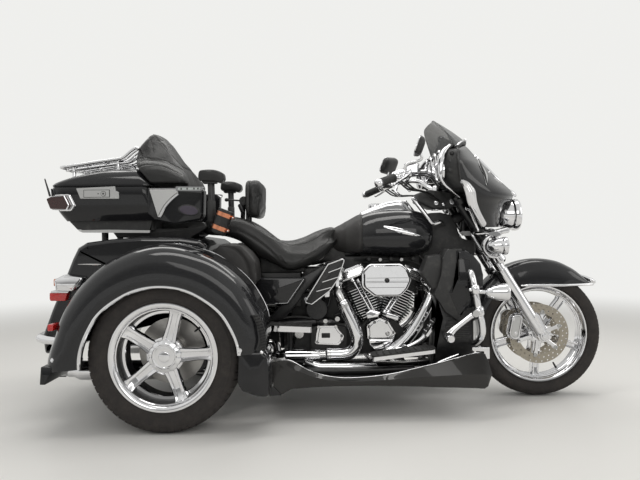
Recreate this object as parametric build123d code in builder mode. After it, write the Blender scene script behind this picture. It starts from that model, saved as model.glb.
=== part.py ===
from build123d import *
import os
from math import cos, sin, tan, radians

# Three-wheeled touring motorcycle. +X points forward, +Y to the rider's left, +Z up.
# The origin is on the ground under the middle of the machine. All sizes are in millimetres.

# Overall driving dimensions
overall_length = 2744
wheelbase = 1765
body_half_width = 695

# Wheels
front_tyre_od = 640
front_tyre_width = 130
front_rim_lip_r = 247
front_hub_r = 42
front_disc_r = 150
rear_tyre_od = 648
rear_tyre_width = 205
rear_rim_lip_r = 229
rear_hub_r = 62
rear_tyre_face_y = 640
tyre_tuck = 14
lip_wall = 9
rim_wall = 7
spoke_count = 5
front_axle_r = 12
rear_axle_r = 18
running_gap = 0.3
moving_gap = 6

# Steering and fork
steer_rake = 26
fork_rake = 31.7
trail = 100
fork_half_width = 112
fork_tube_r = 24
lower_clamp_z = 850
upper_clamp_z = 1000
clamp_thick = 26
head_r = 30
stem_r = 14

# Where the main groups stand
front_x = overall_length / 2 - front_tyre_od / 2
rear_x = front_x - wheelbase
front_z = front_tyre_od / 2
rear_z = rear_tyre_od / 2
tail_x = -overall_length / 2

os.makedirs("parts", exist_ok=True)


def save(builder, name):
    builder.part.label = name
    export_step(builder.part, "parts/" + name + ".step")


def side_plane(y):
    # A plane seen from the machine's right: local x is forward, local y is up, it faces -Y
    return Plane(origin=(0, y, 0), x_dir=(1, 0, 0), z_dir=(0, -1, 0))


def wheel_section(x, y, z):
    # A plane through a wheel's axle: local x is outboard along Y, local y is up
    return Plane(origin=(x, y, z), x_dir=(0, 1, 0), z_dir=(1, 0, 0))


def wheel_axis(x, y, z):
    return Axis((x, y, z), (0, 1, 0))


# Tyres and rims
# name, axle x, centre y, axle z, tyre radius, tyre width, lip radius, hub radius, axle radius, and how far
# the shoulder lies below the crown as a share of the half width
rear_wheel_y = rear_tyre_face_y - rear_tyre_width / 2
wheel_table = [
    ("front", front_x, 0, front_z, front_tyre_od / 2, front_tyre_width, front_rim_lip_r, front_hub_r,
     front_axle_r, 0.30),
    ("rear_right", rear_x, -rear_wheel_y, rear_z, rear_tyre_od / 2, rear_tyre_width, rear_rim_lip_r,
     rear_hub_r, rear_axle_r, 0.12),
    ("rear_left", rear_x, rear_wheel_y, rear_z, rear_tyre_od / 2, rear_tyre_width, rear_rim_lip_r,
     rear_hub_r, rear_axle_r, 0.12),
]
front_hub_half = 55
front_spoke_width = 46
front_spoke_thick = 34
rear_spoke_width = 62
rear_spoke_thick = 30
hub_cap_r = 72
front_spoke_turn = -92
rear_spoke_turn = 3

for name, ax, ay, az, tyre_r, tyre_w, lip_r, hub_r, pin_r, drop in wheel_table:
    half = tyre_w / 2
    bead_r = lip_r - tyre_tuck
    bulge_r = (tyre_r + lip_r) / 2
    shoulder_r = tyre_r - drop * half
    with BuildPart() as tyre:
        with BuildSketch(wheel_section(ax, ay, az)):
            with BuildLine():
                Line((-half * 0.72, bead_r), (-half * 0.72, lip_r))
                ThreePointArc((-half * 0.72, lip_r), (-half, bulge_r), (-half * 0.80, shoulder_r))
                ThreePointArc((-half * 0.80, shoulder_r), (0, tyre_r), (half * 0.80, shoulder_r))
                ThreePointArc((half * 0.80, shoulder_r), (half, bulge_r), (half * 0.72, lip_r))
                Line((half * 0.72, lip_r), (half * 0.72, bead_r))
                Line((half * 0.72, bead_r), (-half * 0.72, bead_r))
            make_face()
        revolve(axis=wheel_axis(ax, ay, az))
    save(tyre, name + "_tyre")

    # The outer face of a rear wheel carries the spokes and the hub cap, a front wheel is the same both ways
    out = 0 if name == "front" else (1 if ay > 0 else -1)
    barrel_half = half * 0.72 + lip_wall
    spoke_width = front_spoke_width if name == "front" else rear_spoke_width
    spoke_thick = front_spoke_thick if name == "front" else rear_spoke_thick
    spoke_y = ay + out * (half * 0.30)
    spoke_turn = front_spoke_turn if name == "front" else rear_spoke_turn
    hub_half = front_hub_half if name == "front" else half * 0.45
    with BuildPart() as rim:
        with BuildSketch(wheel_section(ax, ay, az)):
            with BuildLine():
                Polyline(
                    (-barrel_half, lip_r), (-barrel_half + lip_wall - running_gap, lip_r),
                    (-barrel_half + lip_wall - running_gap, bead_r - running_gap),
                    (barrel_half - lip_wall + running_gap, bead_r - running_gap),
                    (barrel_half - lip_wall + running_gap, lip_r), (barrel_half, lip_r),
                    (barrel_half, bead_r - rim_wall - lip_wall),
                    (barrel_half * 0.45, bead_r - 2 * rim_wall - lip_wall),
                    (-barrel_half * 0.45, bead_r - 2 * rim_wall - lip_wall),
                    (-barrel_half, bead_r - rim_wall - lip_wall), close=True)
            make_face()
        revolve(axis=wheel_axis(ax, ay, az))
        with BuildSketch(Plane(origin=(ax, spoke_y, az), x_dir=(1, 0, 0), z_dir=(0, -1, 0))):
            inner_r = bead_r - rim_wall - lip_wall
            with PolarLocations((hub_r + inner_r) / 2, spoke_count, spoke_turn):
                Trapezoid(inner_r - hub_r + 2 * rim_wall, spoke_width, 86)
        extrude(amount=spoke_thick / 2, both=True)
        with BuildSketch(wheel_section(ax, ay, az)):
            with BuildLine():
                Polyline((-hub_half, 0), (-hub_half, hub_r), (hub_half, hub_r), (hub_half, 0), close=True)
            make_face()
        revolve(axis=wheel_axis(ax, ay, az))
        if out:
            with BuildSketch(Plane(origin=(ax, ay + out * half * 0.45, az), x_dir=(1, 0, 0),
                                   z_dir=(0, out, 0))):
                Circle(hub_cap_r)
            extrude(amount=half * 0.30, taper=14)
        bore_depth = hub_half if out == 0 else hub_half * 0.8
        with BuildSketch(Plane(origin=(ax, ay - out * hub_half, az), x_dir=(1, 0, 0),
                               z_dir=(0, out if out else 1, 0))):
            Circle(pin_r + running_gap)
        extrude(amount=2 * bore_depth if out else bore_depth + 1, both=not out, mode=Mode.SUBTRACT)
    save(rim, name + "_rim")

# Brake discs turn with their wheels
disc_wall = 5
disc_inner_r = 112
rear_disc_r = 146
disc_hole_r = 4
disc_hole_count = 24
with BuildPart() as front_discs:
    with BuildSketch(side_plane(-front_hub_half).shift_origin((front_x, -front_hub_half, front_z))):
        Circle(front_disc_r)
        Circle(front_axle_r + 12, mode=Mode.SUBTRACT)
        with PolarLocations(disc_inner_r - 36, 6):
            Circle(24, mode=Mode.SUBTRACT)
        with PolarLocations((front_disc_r + disc_inner_r) / 2, disc_hole_count):
            Circle(disc_hole_r, mode=Mode.SUBTRACT)
    extrude(amount=disc_wall)
    mirror(about=Plane.XZ)
save(front_discs, "front_discs")

# Rear axle: a final drive case in the middle, a tube to each side, calipers on its ends
drive_case_r = 105
drive_case_half = 110
axle_tube_r = 44
rear_hub_inner_y = rear_wheel_y - rear_tyre_width / 2 * 0.45
axle_tube_half = rear_hub_inner_y - 40
rear_pin_end = rear_wheel_y + rear_tyre_width / 2 * 0.12
with BuildPart() as rear_axle:
    axle_plane = Plane(origin=(rear_x, 0, rear_z), x_dir=(1, 0, 0), z_dir=(0, 1, 0))
    with BuildSketch(axle_plane):
        Circle(drive_case_r)
    extrude(amount=drive_case_half, both=True)
    with BuildSketch(axle_plane):
        Circle(axle_tube_r)
    extrude(amount=axle_tube_half, both=True)
    with BuildSketch(axle_plane):
        Circle(rear_axle_r)
    extrude(amount=rear_pin_end, both=True)
    with BuildSketch(axle_plane.offset(axle_tube_half)):
        with Locations((axle_tube_r + 62, 30)):
            RectangleRounded(70, 120, 20)
        with Locations((axle_tube_r, 10)):
            Rectangle(110, 40)
    extrude(amount=-34)
    mirror(about=Plane.XZ)
save(rear_axle, "rear_axle")
rear_disc_y = axle_tube_half + moving_gap
with BuildPart() as rear_discs_right:
    with BuildSketch(side_plane(-rear_disc_y).shift_origin((rear_x, -rear_disc_y, rear_z))):
        Circle(rear_disc_r)
        Circle(rear_axle_r + 6, mode=Mode.SUBTRACT)
    extrude(amount=disc_wall)
    with BuildSketch(side_plane(-rear_disc_y).shift_origin((rear_x, -rear_disc_y, rear_z))):
        Circle(rear_hub_r)
        Circle(rear_axle_r + 6, mode=Mode.SUBTRACT)
    extrude(amount=rear_hub_inner_y - rear_disc_y)
save(rear_discs_right, "rear_disc_right")
with BuildPart() as rear_discs_left:
    add(rear_discs_right.part.mirror(Plane.XZ))
save(rear_discs_left, "rear_disc_left")

# Steering line: it meets the ground a trail's length ahead of the front contact point
steer_foot_x = front_x + trail


def steer_x(z):
    return steer_foot_x - z * tan(radians(steer_rake))


def fork_x(z):
    return front_x - (z - front_z) * tan(radians(fork_rake))


steer_dir = (-sin(radians(steer_rake)), 0, cos(radians(steer_rake)))
fork_dir = (-sin(radians(fork_rake)), 0, cos(radians(fork_rake)))


def steer_plane(z):
    return Plane(origin=(steer_x(z), 0, z), x_dir=(0, 1, 0), z_dir=steer_dir)


# Frame: steering head, backbone, two down tubes, two lower rails and a rear cradle
tube_r = 16
backbone_r = 26
head_bottom_z = lower_clamp_z + clamp_thick
head_top_z = upper_clamp_z - clamp_thick
rail_y = 130
rail_z = 190
rail_front_x = front_x - 440
rail_rear_x = rear_x + 250
seat_rail_z = 640
backbone_rear_x = rear_x + 620
backbone_rear_z = 700
with BuildPart() as frame:
    with BuildSketch(steer_plane(head_bottom_z)):
        Circle(head_r)
    extrude(amount=(head_top_z - head_bottom_z) / cos(radians(steer_rake)))
    # start point, end point and radius of each tube on the centre line or the right side
    head_mid_z = (head_bottom_z + head_top_z) / 2
    tube_table = [
        ((steer_x(head_mid_z), 0, head_mid_z), (backbone_rear_x + 260, 0, 750), backbone_r),
        ((backbone_rear_x + 260, 0, 750), (backbone_rear_x, 0, backbone_rear_z), backbone_r),
        ((steer_x(head_mid_z) - 10, 0, head_bottom_z + 20), (rail_front_x + 40, -50, 660), tube_r),
        ((rail_front_x + 40, -50, 660), (rail_front_x, -rail_y, 260), tube_r),
        ((rail_front_x, -rail_y, 260), (rail_front_x - 70, -rail_y, rail_z), tube_r),
        ((rail_front_x - 70, -rail_y, rail_z), (rail_rear_x, -rail_y, rail_z), tube_r),
        ((rail_rear_x, -rail_y, rail_z), (rear_x + 40, -rail_y - 40, rear_z - 30), tube_r),
        ((backbone_rear_x, 0, backbone_rear_z), (rear_x + 330, -rail_y, seat_rail_z - 60), tube_r),
        ((rear_x + 330, -rail_y, seat_rail_z - 60), (rail_rear_x, -rail_y, rail_z), tube_r),
        ((rear_x + 330, -rail_y, seat_rail_z - 60), (rear_x + 150, -rail_y, seat_rail_z - 170), tube_r),
    ]
    for start, end, radius in tube_table:
        run = Vector(*end) - Vector(*start)
        with BuildSketch(Plane(origin=start, z_dir=run)):
            Circle(radius)
        extrude(amount=run.length)
        with Locations(start, end):
            Sphere(radius)
    mirror(about=Plane.XZ)
    with BuildSketch(steer_plane(lower_clamp_z)):
        Circle(stem_r + running_gap)
    extrude(amount=2 * (head_top_z - head_bottom_z), mode=Mode.SUBTRACT)
    with BuildSketch(steer_plane(head_bottom_z - 80)):
        Circle(fork_half_width)
    extrude(amount=80 + running_gap, mode=Mode.SUBTRACT)
    with BuildSketch(steer_plane(head_top_z)):
        Circle(fork_half_width)
    extrude(amount=80, mode=Mode.SUBTRACT)
    add(rear_axle.part, mode=Mode.SUBTRACT)
save(frame, "frame")

# Fork: two legs on the axle, two clamps on the stem, sliders below and covers above
slider_r = 30
fork_foot_z = front_z - 12
fork_top_z = upper_clamp_z + clamp_thick / 2
slider_top_z = front_z + 330
axle_half = fork_half_width + slider_r - 4


def fork_plane(z, y):
    return Plane(origin=(fork_x(z), y, z), x_dir=(0, 1, 0), z_dir=fork_dir)


def along_fork(z_from, z_to):
    return (z_to - z_from) / cos(radians(fork_rake))


with BuildPart() as fork:
    with BuildSketch(fork_plane(fork_foot_z, -fork_half_width)):
        Circle(slider_r)
    extrude(amount=along_fork(fork_foot_z, slider_top_z))
    with BuildSketch(fork_plane(slider_top_z, -fork_half_width)):
        Circle(fork_tube_r)
    extrude(amount=along_fork(slider_top_z, fork_top_z))
    mirror(about=Plane.XZ)
    with BuildSketch(Plane(origin=(front_x, 0, front_z), x_dir=(1, 0, 0), z_dir=(0, 1, 0))):
        Circle(front_axle_r)
    extrude(amount=axle_half, both=True)
    for clamp_z in (lower_clamp_z, upper_clamp_z):
        with BuildSketch(steer_plane(clamp_z)):
            leg_shift = (steer_x(clamp_z) - fork_x(clamp_z)) * cos(radians(steer_rake))
            with Locations((0, leg_shift / 2)):
                SlotCenterToCenter(2 * fork_half_width, 2 * (fork_tube_r + 14))
        extrude(amount=clamp_thick / 2, both=True)
    with BuildSketch(steer_plane(lower_clamp_z)):
        Circle(stem_r)
    extrude(amount=(upper_clamp_z - lower_clamp_z) / cos(radians(steer_rake)))
save(fork, "fork")

# Engine: crankcase with its transmission, two finned cylinders, covers on the right side
crank_x = rear_x + 965
crank_z = 290
vee_half = 22.5
vee_lean = 1.5
case_half = 110
cylinder_base = 118
fin_count = 11
fin_pitch = 16
fin_half = 78
fin_thick = 7
barrel_r = 62
head_height = 52
rocker_height = 50
with BuildPart() as engine_case:
    with BuildSketch(side_plane(0)):
        with BuildLine():
            Polyline((crank_x - 120, rail_z + tube_r + 1), (crank_x + 95, rail_z + tube_r + 1),
                     (crank_x + 130, crank_z - 30), (crank_x + 105, crank_z + 70),
                     (crank_x + 62, crank_z + 112), (crank_x - 78, crank_z + 112),
                     (crank_x - 120, crank_z + 70), (crank_x - 420, crank_z + 70),
                     (crank_x - 440, crank_z - 20), (crank_x - 400, rail_z + tube_r + 1), close=True)
        make_face()
    extrude(amount=case_half, both=True)
    with BuildSketch(side_plane(-case_half)):
        with Locations((crank_x - 265, crank_z + 34)):
            RectangleRounded(176, 112, 26)
    extrude(amount=42)
    with BuildSketch(side_plane(case_half)):
        with Locations((crank_x - 140, crank_z + 10)):
            SlotCenterToCenter(300, 190)
    extrude(amount=-56)
    add(frame.part, mode=Mode.SUBTRACT)
save(engine_case, "engine_case")


def vee_plane(side, height):
    # side is 1 for the front cylinder and -1 for the rear one
    lean = radians(side * vee_half + vee_lean)
    axis = Vector(sin(lean), 0, cos(lean))
    foot = Vector(crank_x, 0, crank_z) + axis * height
    return Plane(origin=foot, x_dir=(0, 1, 0), z_dir=axis)


barrel_top = cylinder_base + fin_count * fin_pitch
head_top = barrel_top + head_height
with BuildPart() as cylinders:
    for side in (-1, 1):
        with BuildSketch(vee_plane(side, cylinder_base)):
            Circle(barrel_r)
        extrude(amount=head_top - cylinder_base)
        for step in range(fin_count):
            reach = fin_half if step > 3 else fin_half - 5 * (4 - step)
            with BuildSketch(vee_plane(side, cylinder_base + (step + 0.5) * fin_pitch)):
                RectangleRounded(2 * reach, 2 * reach, 30)
            extrude(amount=fin_thick)
        with BuildSketch(vee_plane(side, barrel_top)):
            RectangleRounded(2 * fin_half, 2 * fin_half, 26)
        extrude(amount=head_height)
    add(engine_case.part, mode=Mode.SUBTRACT)
save(cylinders, "cylinders")

# Chrome covers: rocker boxes on the heads, pushrod tubes down to the cam cover
cam_x = crank_x - 8
cam_z = crank_z + 62
cam_depth = 60
pushrod_r = 11
pushrod_y = -(case_half + 26)
rocker_half_y = fin_half + 22
with BuildPart() as engine_covers:
    for side in (-1, 1):
        with BuildSketch(vee_plane(side, head_top)):
            RectangleRounded(2 * rocker_half_y + 70, 2 * fin_half - 26, 22)
        extrude(amount=rocker_height, taper=10)
        for spread in (-20, 20):
            foot = Vector(cam_x + side * 42 + spread * 0.5, pushrod_y, cam_z + 20)
            top = vee_plane(side, head_top + 6).origin + Vector(-side * 20 + spread, pushrod_y + 14, 0)
            with BuildSketch(Plane(origin=foot, z_dir=top - foot)):
                Circle(pushrod_r)
            extrude(amount=(top - foot).length)
    with BuildSketch(side_plane(-case_half)):
        with BuildLine():
            Polyline((cam_x - 72, cam_z - 42), (cam_x + 50, cam_z - 42), (cam_x + 86, cam_z),
                     (cam_x + 58, cam_z + 44), (cam_x - 64, cam_z + 44), close=True)
        make_face()
        fillet(vertices(), 16)
    extrude(amount=cam_depth, taper=6)
    add(engine_case.part, mode=Mode.SUBTRACT)
    add(cylinders.part, mode=Mode.SUBTRACT)
save(engine_covers, "engine_covers")

# Air cleaner on the right, held by its intake between the cylinders
cleaner_x = crank_x + 14
cleaner_z = crank_z + 319
cleaner_length = 226
cleaner_height = 140
cleaner_depth = 74
cleaner_y = -172
intake_r = 30
with BuildPart() as air_cleaner:
    with BuildSketch(side_plane(cleaner_y)):
        with Locations((cleaner_x, cleaner_z)):
            RectangleRounded(cleaner_length, cleaner_height, 60)
    extrude(amount=cleaner_depth, taper=8)
    with BuildSketch(side_plane(cleaner_y)):
        with Locations((cleaner_x - 6, cleaner_z - 30)):
            Circle(intake_r)
    extrude(amount=cleaner_y)
    with BuildSketch(Plane(origin=(cleaner_x - 6, 0, cleaner_z - 30), x_dir=(0, 1, 0), z_dir=(1, 0, 0))):
        Circle(intake_r - 4)
    extrude(amount=fin_half, both=True)
    add(engine_covers.part, mode=Mode.SUBTRACT)
    add(cylinders.part, mode=Mode.SUBTRACT)
save(air_cleaner, "air_cleaner")

# Exhaust: two headers into a collector, then a tail pipe with a muffler on each side under the trunk
pipe_r = 22
muffler_r = 44
exhaust_y = -190
tail_y = -330
muffler_z = 212
front_port = vee_plane(1, head_top - 20).origin
rear_port = vee_plane(-1, head_top - 20).origin
collector_x = crank_x - 190
collector_z = rail_z + 62
rear_header = [
    (rear_port.X - 60, -fin_half, rear_port.Z - 14), (rear_port.X - 70, exhaust_y, rear_port.Z - 60),
    (crank_x - 140, exhaust_y, crank_z + 70), (crank_x - 150, exhaust_y, collector_z + 6),
    (collector_x - 40, exhaust_y, collector_z)]
front_header = [
    (front_port.X + 50, -fin_half, front_port.Z - 14), (front_port.X + 62, exhaust_y, front_port.Z - 60),
    (crank_x + 120, exhaust_y, crank_z + 50), (crank_x + 20, exhaust_y, collector_z - 24),
    (collector_x - 40, exhaust_y, collector_z - 26)]
cross_x = collector_x - 330
tail_run = [
    (collector_x - 30, exhaust_y, collector_z - 12), (cross_x, exhaust_y, collector_z - 12),
    (rear_x + 260, tail_y, muffler_z), (rear_x - 520, tail_y, muffler_z)]
cross_run = [
    (cross_x, exhaust_y, collector_z - 12), (cross_x, -exhaust_y - 40, collector_z - 12),
    (rear_x + 260, -tail_y, muffler_z), (rear_x - 520, -tail_y, muffler_z)]
header_bend = 46
muffler_length = 430
with BuildPart() as exhaust:
    for route in (rear_header, front_header, tail_run, cross_run):
        with BuildLine() as path:
            FilletPolyline(*route, radius=header_bend)
        with BuildSketch(Plane(origin=path.line @ 0, z_dir=path.line % 0)):
            Circle(pipe_r)
        sweep(path=path.line)
    for y in (tail_y, -tail_y):
        with BuildSketch(Plane(origin=(rear_x - 480, y, muffler_z), x_dir=(0, 1, 0), z_dir=(1, 0, 0))):
            Circle(muffler_r)
        extrude(amount=muffler_length)
    add(frame.part, mode=Mode.SUBTRACT)
    add(engine_case.part, mode=Mode.SUBTRACT)
    add(cylinders.part, mode=Mode.SUBTRACT)
    add(engine_covers.part, mode=Mode.SUBTRACT)
    add(rear_axle.part, mode=Mode.SUBTRACT)
save(exhaust, "exhaust")

# Fuel tank: sections along X, each half width, bottom z, top z and corner radius
tank_sections = [
    (crank_x - 205, 52, 752, 862, 30),
    (crank_x - 96, 108, 722, 922, 70),
    (crank_x + 20, 152, 716, 958, 90),
    (crank_x + 130, 160, 722, 966, 96),
    (crank_x + 206, 140, 742, 944, 84),
    (crank_x + 254, 80, 800, 904, 44),
]
with BuildPart() as fuel_tank:
    for sx, half, low, high, corner in tank_sections:
        with BuildSketch(Plane(origin=(sx, 0, (low + high) / 2), x_dir=(0, 1, 0), z_dir=(1, 0, 0))):
            RectangleRounded(2 * half, high - low, corner)
    loft()
    with BuildSketch(Plane(origin=(crank_x - 240, 0, 0), x_dir=(0, 1, 0), z_dir=(1, 0, 0))):
        with Locations((0, 715)):
            SlotOverall(130, 90, rotation=90)
    extrude(amount=520, mode=Mode.SUBTRACT)
    add(frame.part, mode=Mode.SUBTRACT)
save(fuel_tank, "fuel_tank")

console_half = 42
with BuildPart() as tank_console:
    with BuildSketch(side_plane(0)):
        with BuildLine():
            Polyline((crank_x - 100, 880), (crank_x - 96, 934), (crank_x + 30, 984), (crank_x + 60, 1000),
                     (crank_x + 130, 1000), (crank_x + 150, 974), (crank_x + 150, 900), close=True)
        make_face()
    extrude(amount=console_half, both=True)
    add(fuel_tank.part, mode=Mode.SUBTRACT)
    add(frame.part, mode=Mode.SUBTRACT)
    with BuildSketch(side_plane(0)):
        with BuildLine():
            Polyline((crank_x - 300, 600), (crank_x + 300, 600), (crank_x + 300, 900),
                     (crank_x - 100, 860), close=True)
        make_face()
    extrude(amount=2 * console_half, both=True, mode=Mode.SUBTRACT)
save(tank_console, "tank_console")

# Seat: passenger part, rider's dip and nose, two widths cut from one side profile
seat_gap = 0.3
seat_half = 178
seat_back_x = rear_x + 84
with BuildPart() as seat:
    with BuildSketch(side_plane(0)):
        with BuildLine():
            Polyline((seat_back_x, 838), (seat_back_x, 912), (rear_x + 200, 930), (rear_x + 300, 900),
                     (rear_x + 395, 850), (rear_x + 495, 800), (rear_x + 560, 806), (rear_x + 640, 852),
                     (rear_x + 690, 868), (rear_x + 722, 852), (rear_x + 700, 762), (rear_x + 610, 704),
                     (rear_x + 480, 664), (rear_x + 395, 690), (rear_x + 270, 826), close=True)
        make_face()
    extrude(amount=seat_half, both=True)
    with BuildSketch(Plane.XY):
        with BuildLine():
            Polyline((seat_back_x - 20, -seat_half), (rear_x + 640, -seat_half), (rear_x + 740, -88),
                     (rear_x + 740, 88), (rear_x + 640, seat_half), (seat_back_x - 20, seat_half), close=True)
        make_face()
    extrude(amount=1400, mode=Mode.INTERSECT)
    add(fuel_tank.part, mode=Mode.SUBTRACT)
    add(frame.part, mode=Mode.SUBTRACT)
    add(tank_console.part, mode=Mode.SUBTRACT)
save(seat, "seat")

# Rider's backrest pad and its post
backrest_x = rear_x + 337
backrest_low = 918
backrest_high = 1112
backrest_thick = 72
backrest_half = 150
with BuildPart() as rider_backrest:
    with BuildSketch(Plane(origin=(backrest_x, 0, (backrest_low + backrest_high) / 2), x_dir=(0, 1, 0),
                           z_dir=(1, 0, 0))):
        RectangleRounded(2 * backrest_half, backrest_high - backrest_low, 60)
    extrude(amount=backrest_thick / 2, both=True)
save(rider_backrest, "rider_backrest")

# Rear fenders: a revolved arch over each tyre, open at the bottom
fender_r = 464
fender_wall = 14
fender_round = 84
fender_inner_y = 415
arch_r = 318
fender_rear_cut = rear_z - 28
fender_front_cut = rear_z + 29
with BuildPart() as fender_right:
    with BuildSketch(wheel_section(rear_x, 0, rear_z)):
        with BuildLine():
            outer_y = -body_half_width
            Line((-fender_inner_y, fender_r), (outer_y + fender_round, fender_r))
            TangentArc((outer_y + fender_round, fender_r), (outer_y, fender_r - fender_round), tangent=(-1, 0))
            Line((outer_y, fender_r - fender_round), (outer_y, arch_r))
            Line((outer_y, arch_r), (outer_y + fender_wall, arch_r))
            Line((outer_y + fender_wall, arch_r), (outer_y + fender_wall, fender_r - fender_round))
            TangentArc((outer_y + fender_wall, fender_r - fender_round),
                       (outer_y + fender_round, fender_r - fender_wall), tangent=(0, 1))
            Line((outer_y + fender_round, fender_r - fender_wall), (-fender_inner_y, fender_r - fender_wall))
            Line((-fender_inner_y, fender_r - fender_wall), (-fender_inner_y, fender_r))
        make_face()
    revolve(axis=wheel_axis(rear_x, 0, rear_z))
    with BuildSketch(side_plane(0)):
        with Locations((rear_x - fender_r, fender_rear_cut - fender_r)):
            Rectangle(2 * fender_r, 2 * fender_r)
        with Locations((rear_x + fender_r, fender_front_cut - fender_r)):
            Rectangle(2 * fender_r, 2 * fender_r)
    extrude(amount=2 * body_half_width, mode=Mode.SUBTRACT)
save(fender_right, "rear_fender_right")
with BuildPart() as fender_left:
    add(fender_right.part.mirror(Plane.XZ))
save(fender_left, "rear_fender_left")

# Guards below each fender: a flap behind the tyre and a shield ahead of it
flap_wall = 8
flap_inner_y = 440
guard_front_wall = 22
with BuildPart() as mud_flaps:
    for shape in (
            [(rear_x - 486, fender_rear_cut), (rear_x - 490, rear_z - 101), (rear_x - 470, rear_z - 101),
             (rear_x - 450, fender_rear_cut)],
            [(rear_x + arch_r + 4, fender_front_cut), (rear_x + 313, rear_z - 101), (rear_x + 333, rear_z - 134),
             (rear_x + 398, rear_z - 156), (rear_x + 448, rear_z - 159), (rear_x + 440, rear_z - 30),
             (rear_x + 448, fender_front_cut)]):
        with BuildSketch(side_plane(-flap_inner_y)):
            with BuildLine():
                Polyline(*shape, close=True)
            make_face()
        extrude(amount=body_half_width - flap_inner_y - flap_wall)
    with BuildSketch(side_plane(-flap_inner_y)):
        with Locations((rear_x + 440 - guard_front_wall - 75, rear_z - 60)):
            Rectangle(150, 300)
    extrude(amount=body_half_width - flap_inner_y - 3 * flap_wall, mode=Mode.SUBTRACT)
    mirror(about=Plane.XZ)
save(mud_flaps, "mud_flaps")

# Trunk between the rear fenders: a hollow shell with a door in its sloping tail
trunk_wall = 12
trunk_half = fender_inner_y
tail_low = Vector(tail_x + 56, 0, 385)
tail_high = Vector(tail_x + 221, 0, 788)
trunk_floor = rear_z + drive_case_r + 8
door_half = 290
door_low = 40
door_high = 380
door_gap = 6
trunk_outline = [
    (tail_low.X, tail_low.Z), (tail_high.X, tail_high.Z), (tail_high.X + 46, 808), (rear_x + 40, 832),
    (rear_x + 150, 812), (rear_x + 168, trunk_floor), (tail_low.X + 150, trunk_floor),
    (tail_low.X + 120, 300), (tail_low.X + 10, 300)]
slope = (tail_high - tail_low).normalized()
tail_normal = Vector(-slope.Z, 0, slope.X)
hinge_r = 8
hinge_pin_r = 4
hinge_lift = 9
hinge_half = 24
hinge_spread = 180
lug_wall = 10
hinge_point = tail_low + slope * (door_low - 2) + tail_normal * hinge_lift


def hinge_plane(across):
    # Local x points out of the tail, local y up its slope, and the plane faces along the hinge line
    return Plane(origin=hinge_point + Vector(0, across, 0), x_dir=tail_normal, z_dir=(0, 1, 0))


door_plane = Plane(origin=tail_low, x_dir=(0, -1, 0), z_dir=(-slope.Z, 0, slope.X))
with BuildPart() as trunk_body:
    with BuildSketch(side_plane(0)):
        with BuildLine():
            Polyline(*trunk_outline, close=True)
        make_face()
    extrude(amount=trunk_half, both=True)
    with BuildSketch(side_plane(0)):
        with BuildLine():
            Polyline(*trunk_outline, close=True)
        make_face()
        offset(amount=-trunk_wall, kind=Kind.INTERSECTION, mode=Mode.REPLACE)
    extrude(amount=trunk_half - trunk_wall, both=True, mode=Mode.SUBTRACT)
    with BuildSketch(door_plane.offset(-3 * trunk_wall)):
        with Locations((0, (door_low + door_high) / 2)):
            Rectangle(2 * door_half, door_high - door_low)
    extrude(amount=5 * trunk_wall, mode=Mode.SUBTRACT)
    for px in (-hinge_spread, hinge_spread):
        for py in (-hinge_half - running_gap - lug_wall, hinge_half + running_gap):
            with BuildSketch(hinge_plane(px + py)):
                with Locations((-hinge_lift / 2, -5)):
                    Rectangle(hinge_lift + 2 * hinge_pin_r, 18)
            extrude(amount=lug_wall)
        with BuildSketch(hinge_plane(px)):
            Circle(hinge_pin_r)
        extrude(amount=hinge_half + running_gap + lug_wall, both=True)
    add(frame.part, mode=Mode.SUBTRACT)
    add(rear_axle.part, mode=Mode.SUBTRACT)
    add(exhaust.part, mode=Mode.SUBTRACT)
save(trunk_body, "trunk_body")

with BuildPart() as trunk_door:
    with BuildSketch(door_plane.offset(-trunk_wall + 2)):
        with Locations((0, (door_low + door_high) / 2)):
            RectangleRounded(2 * (door_half - door_gap), door_high - door_low - 2 * door_gap, 20)
    extrude(amount=trunk_wall + 4)
    for px in (-hinge_spread, hinge_spread):
        with BuildSketch(hinge_plane(px)):
            Circle(hinge_r)
            with Locations((-hinge_lift + 9, 24)):
                Rectangle(6, 48)
        extrude(amount=hinge_half, both=True)
        with BuildSketch(hinge_plane(px)):
            Circle(hinge_pin_r + running_gap)
        extrude(amount=hinge_half, both=True, mode=Mode.SUBTRACT)
save(trunk_door, "trunk_door")

# Tail: lamps on the trunk's corners and a tube bumper on brackets
lamp_low = 180
lamp_high = 300
lamp_inner_y = 316
with BuildPart() as tail_lamps:
    with BuildSketch(door_plane):
        with Locations(((lamp_inner_y + trunk_half + 24) / 2, (lamp_low + lamp_high) / 2)):
            RectangleRounded(trunk_half + 24 - lamp_inner_y, lamp_high - lamp_low, 22)
    extrude(amount=34, taper=8)
    with BuildSketch(door_plane):
        with Locations((trunk_half + 12, (lamp_low + lamp_high) / 2)):
            Rectangle(24, lamp_high - lamp_low)
    extrude(amount=-120)
    add(fender_left.part, mode=Mode.SUBTRACT)
    add(fender_right.part, mode=Mode.SUBTRACT)
    add(trunk_body.part, mode=Mode.SUBTRACT)
    mirror(about=Plane.XZ)
save(tail_lamps, "tail_lamps")

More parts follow.
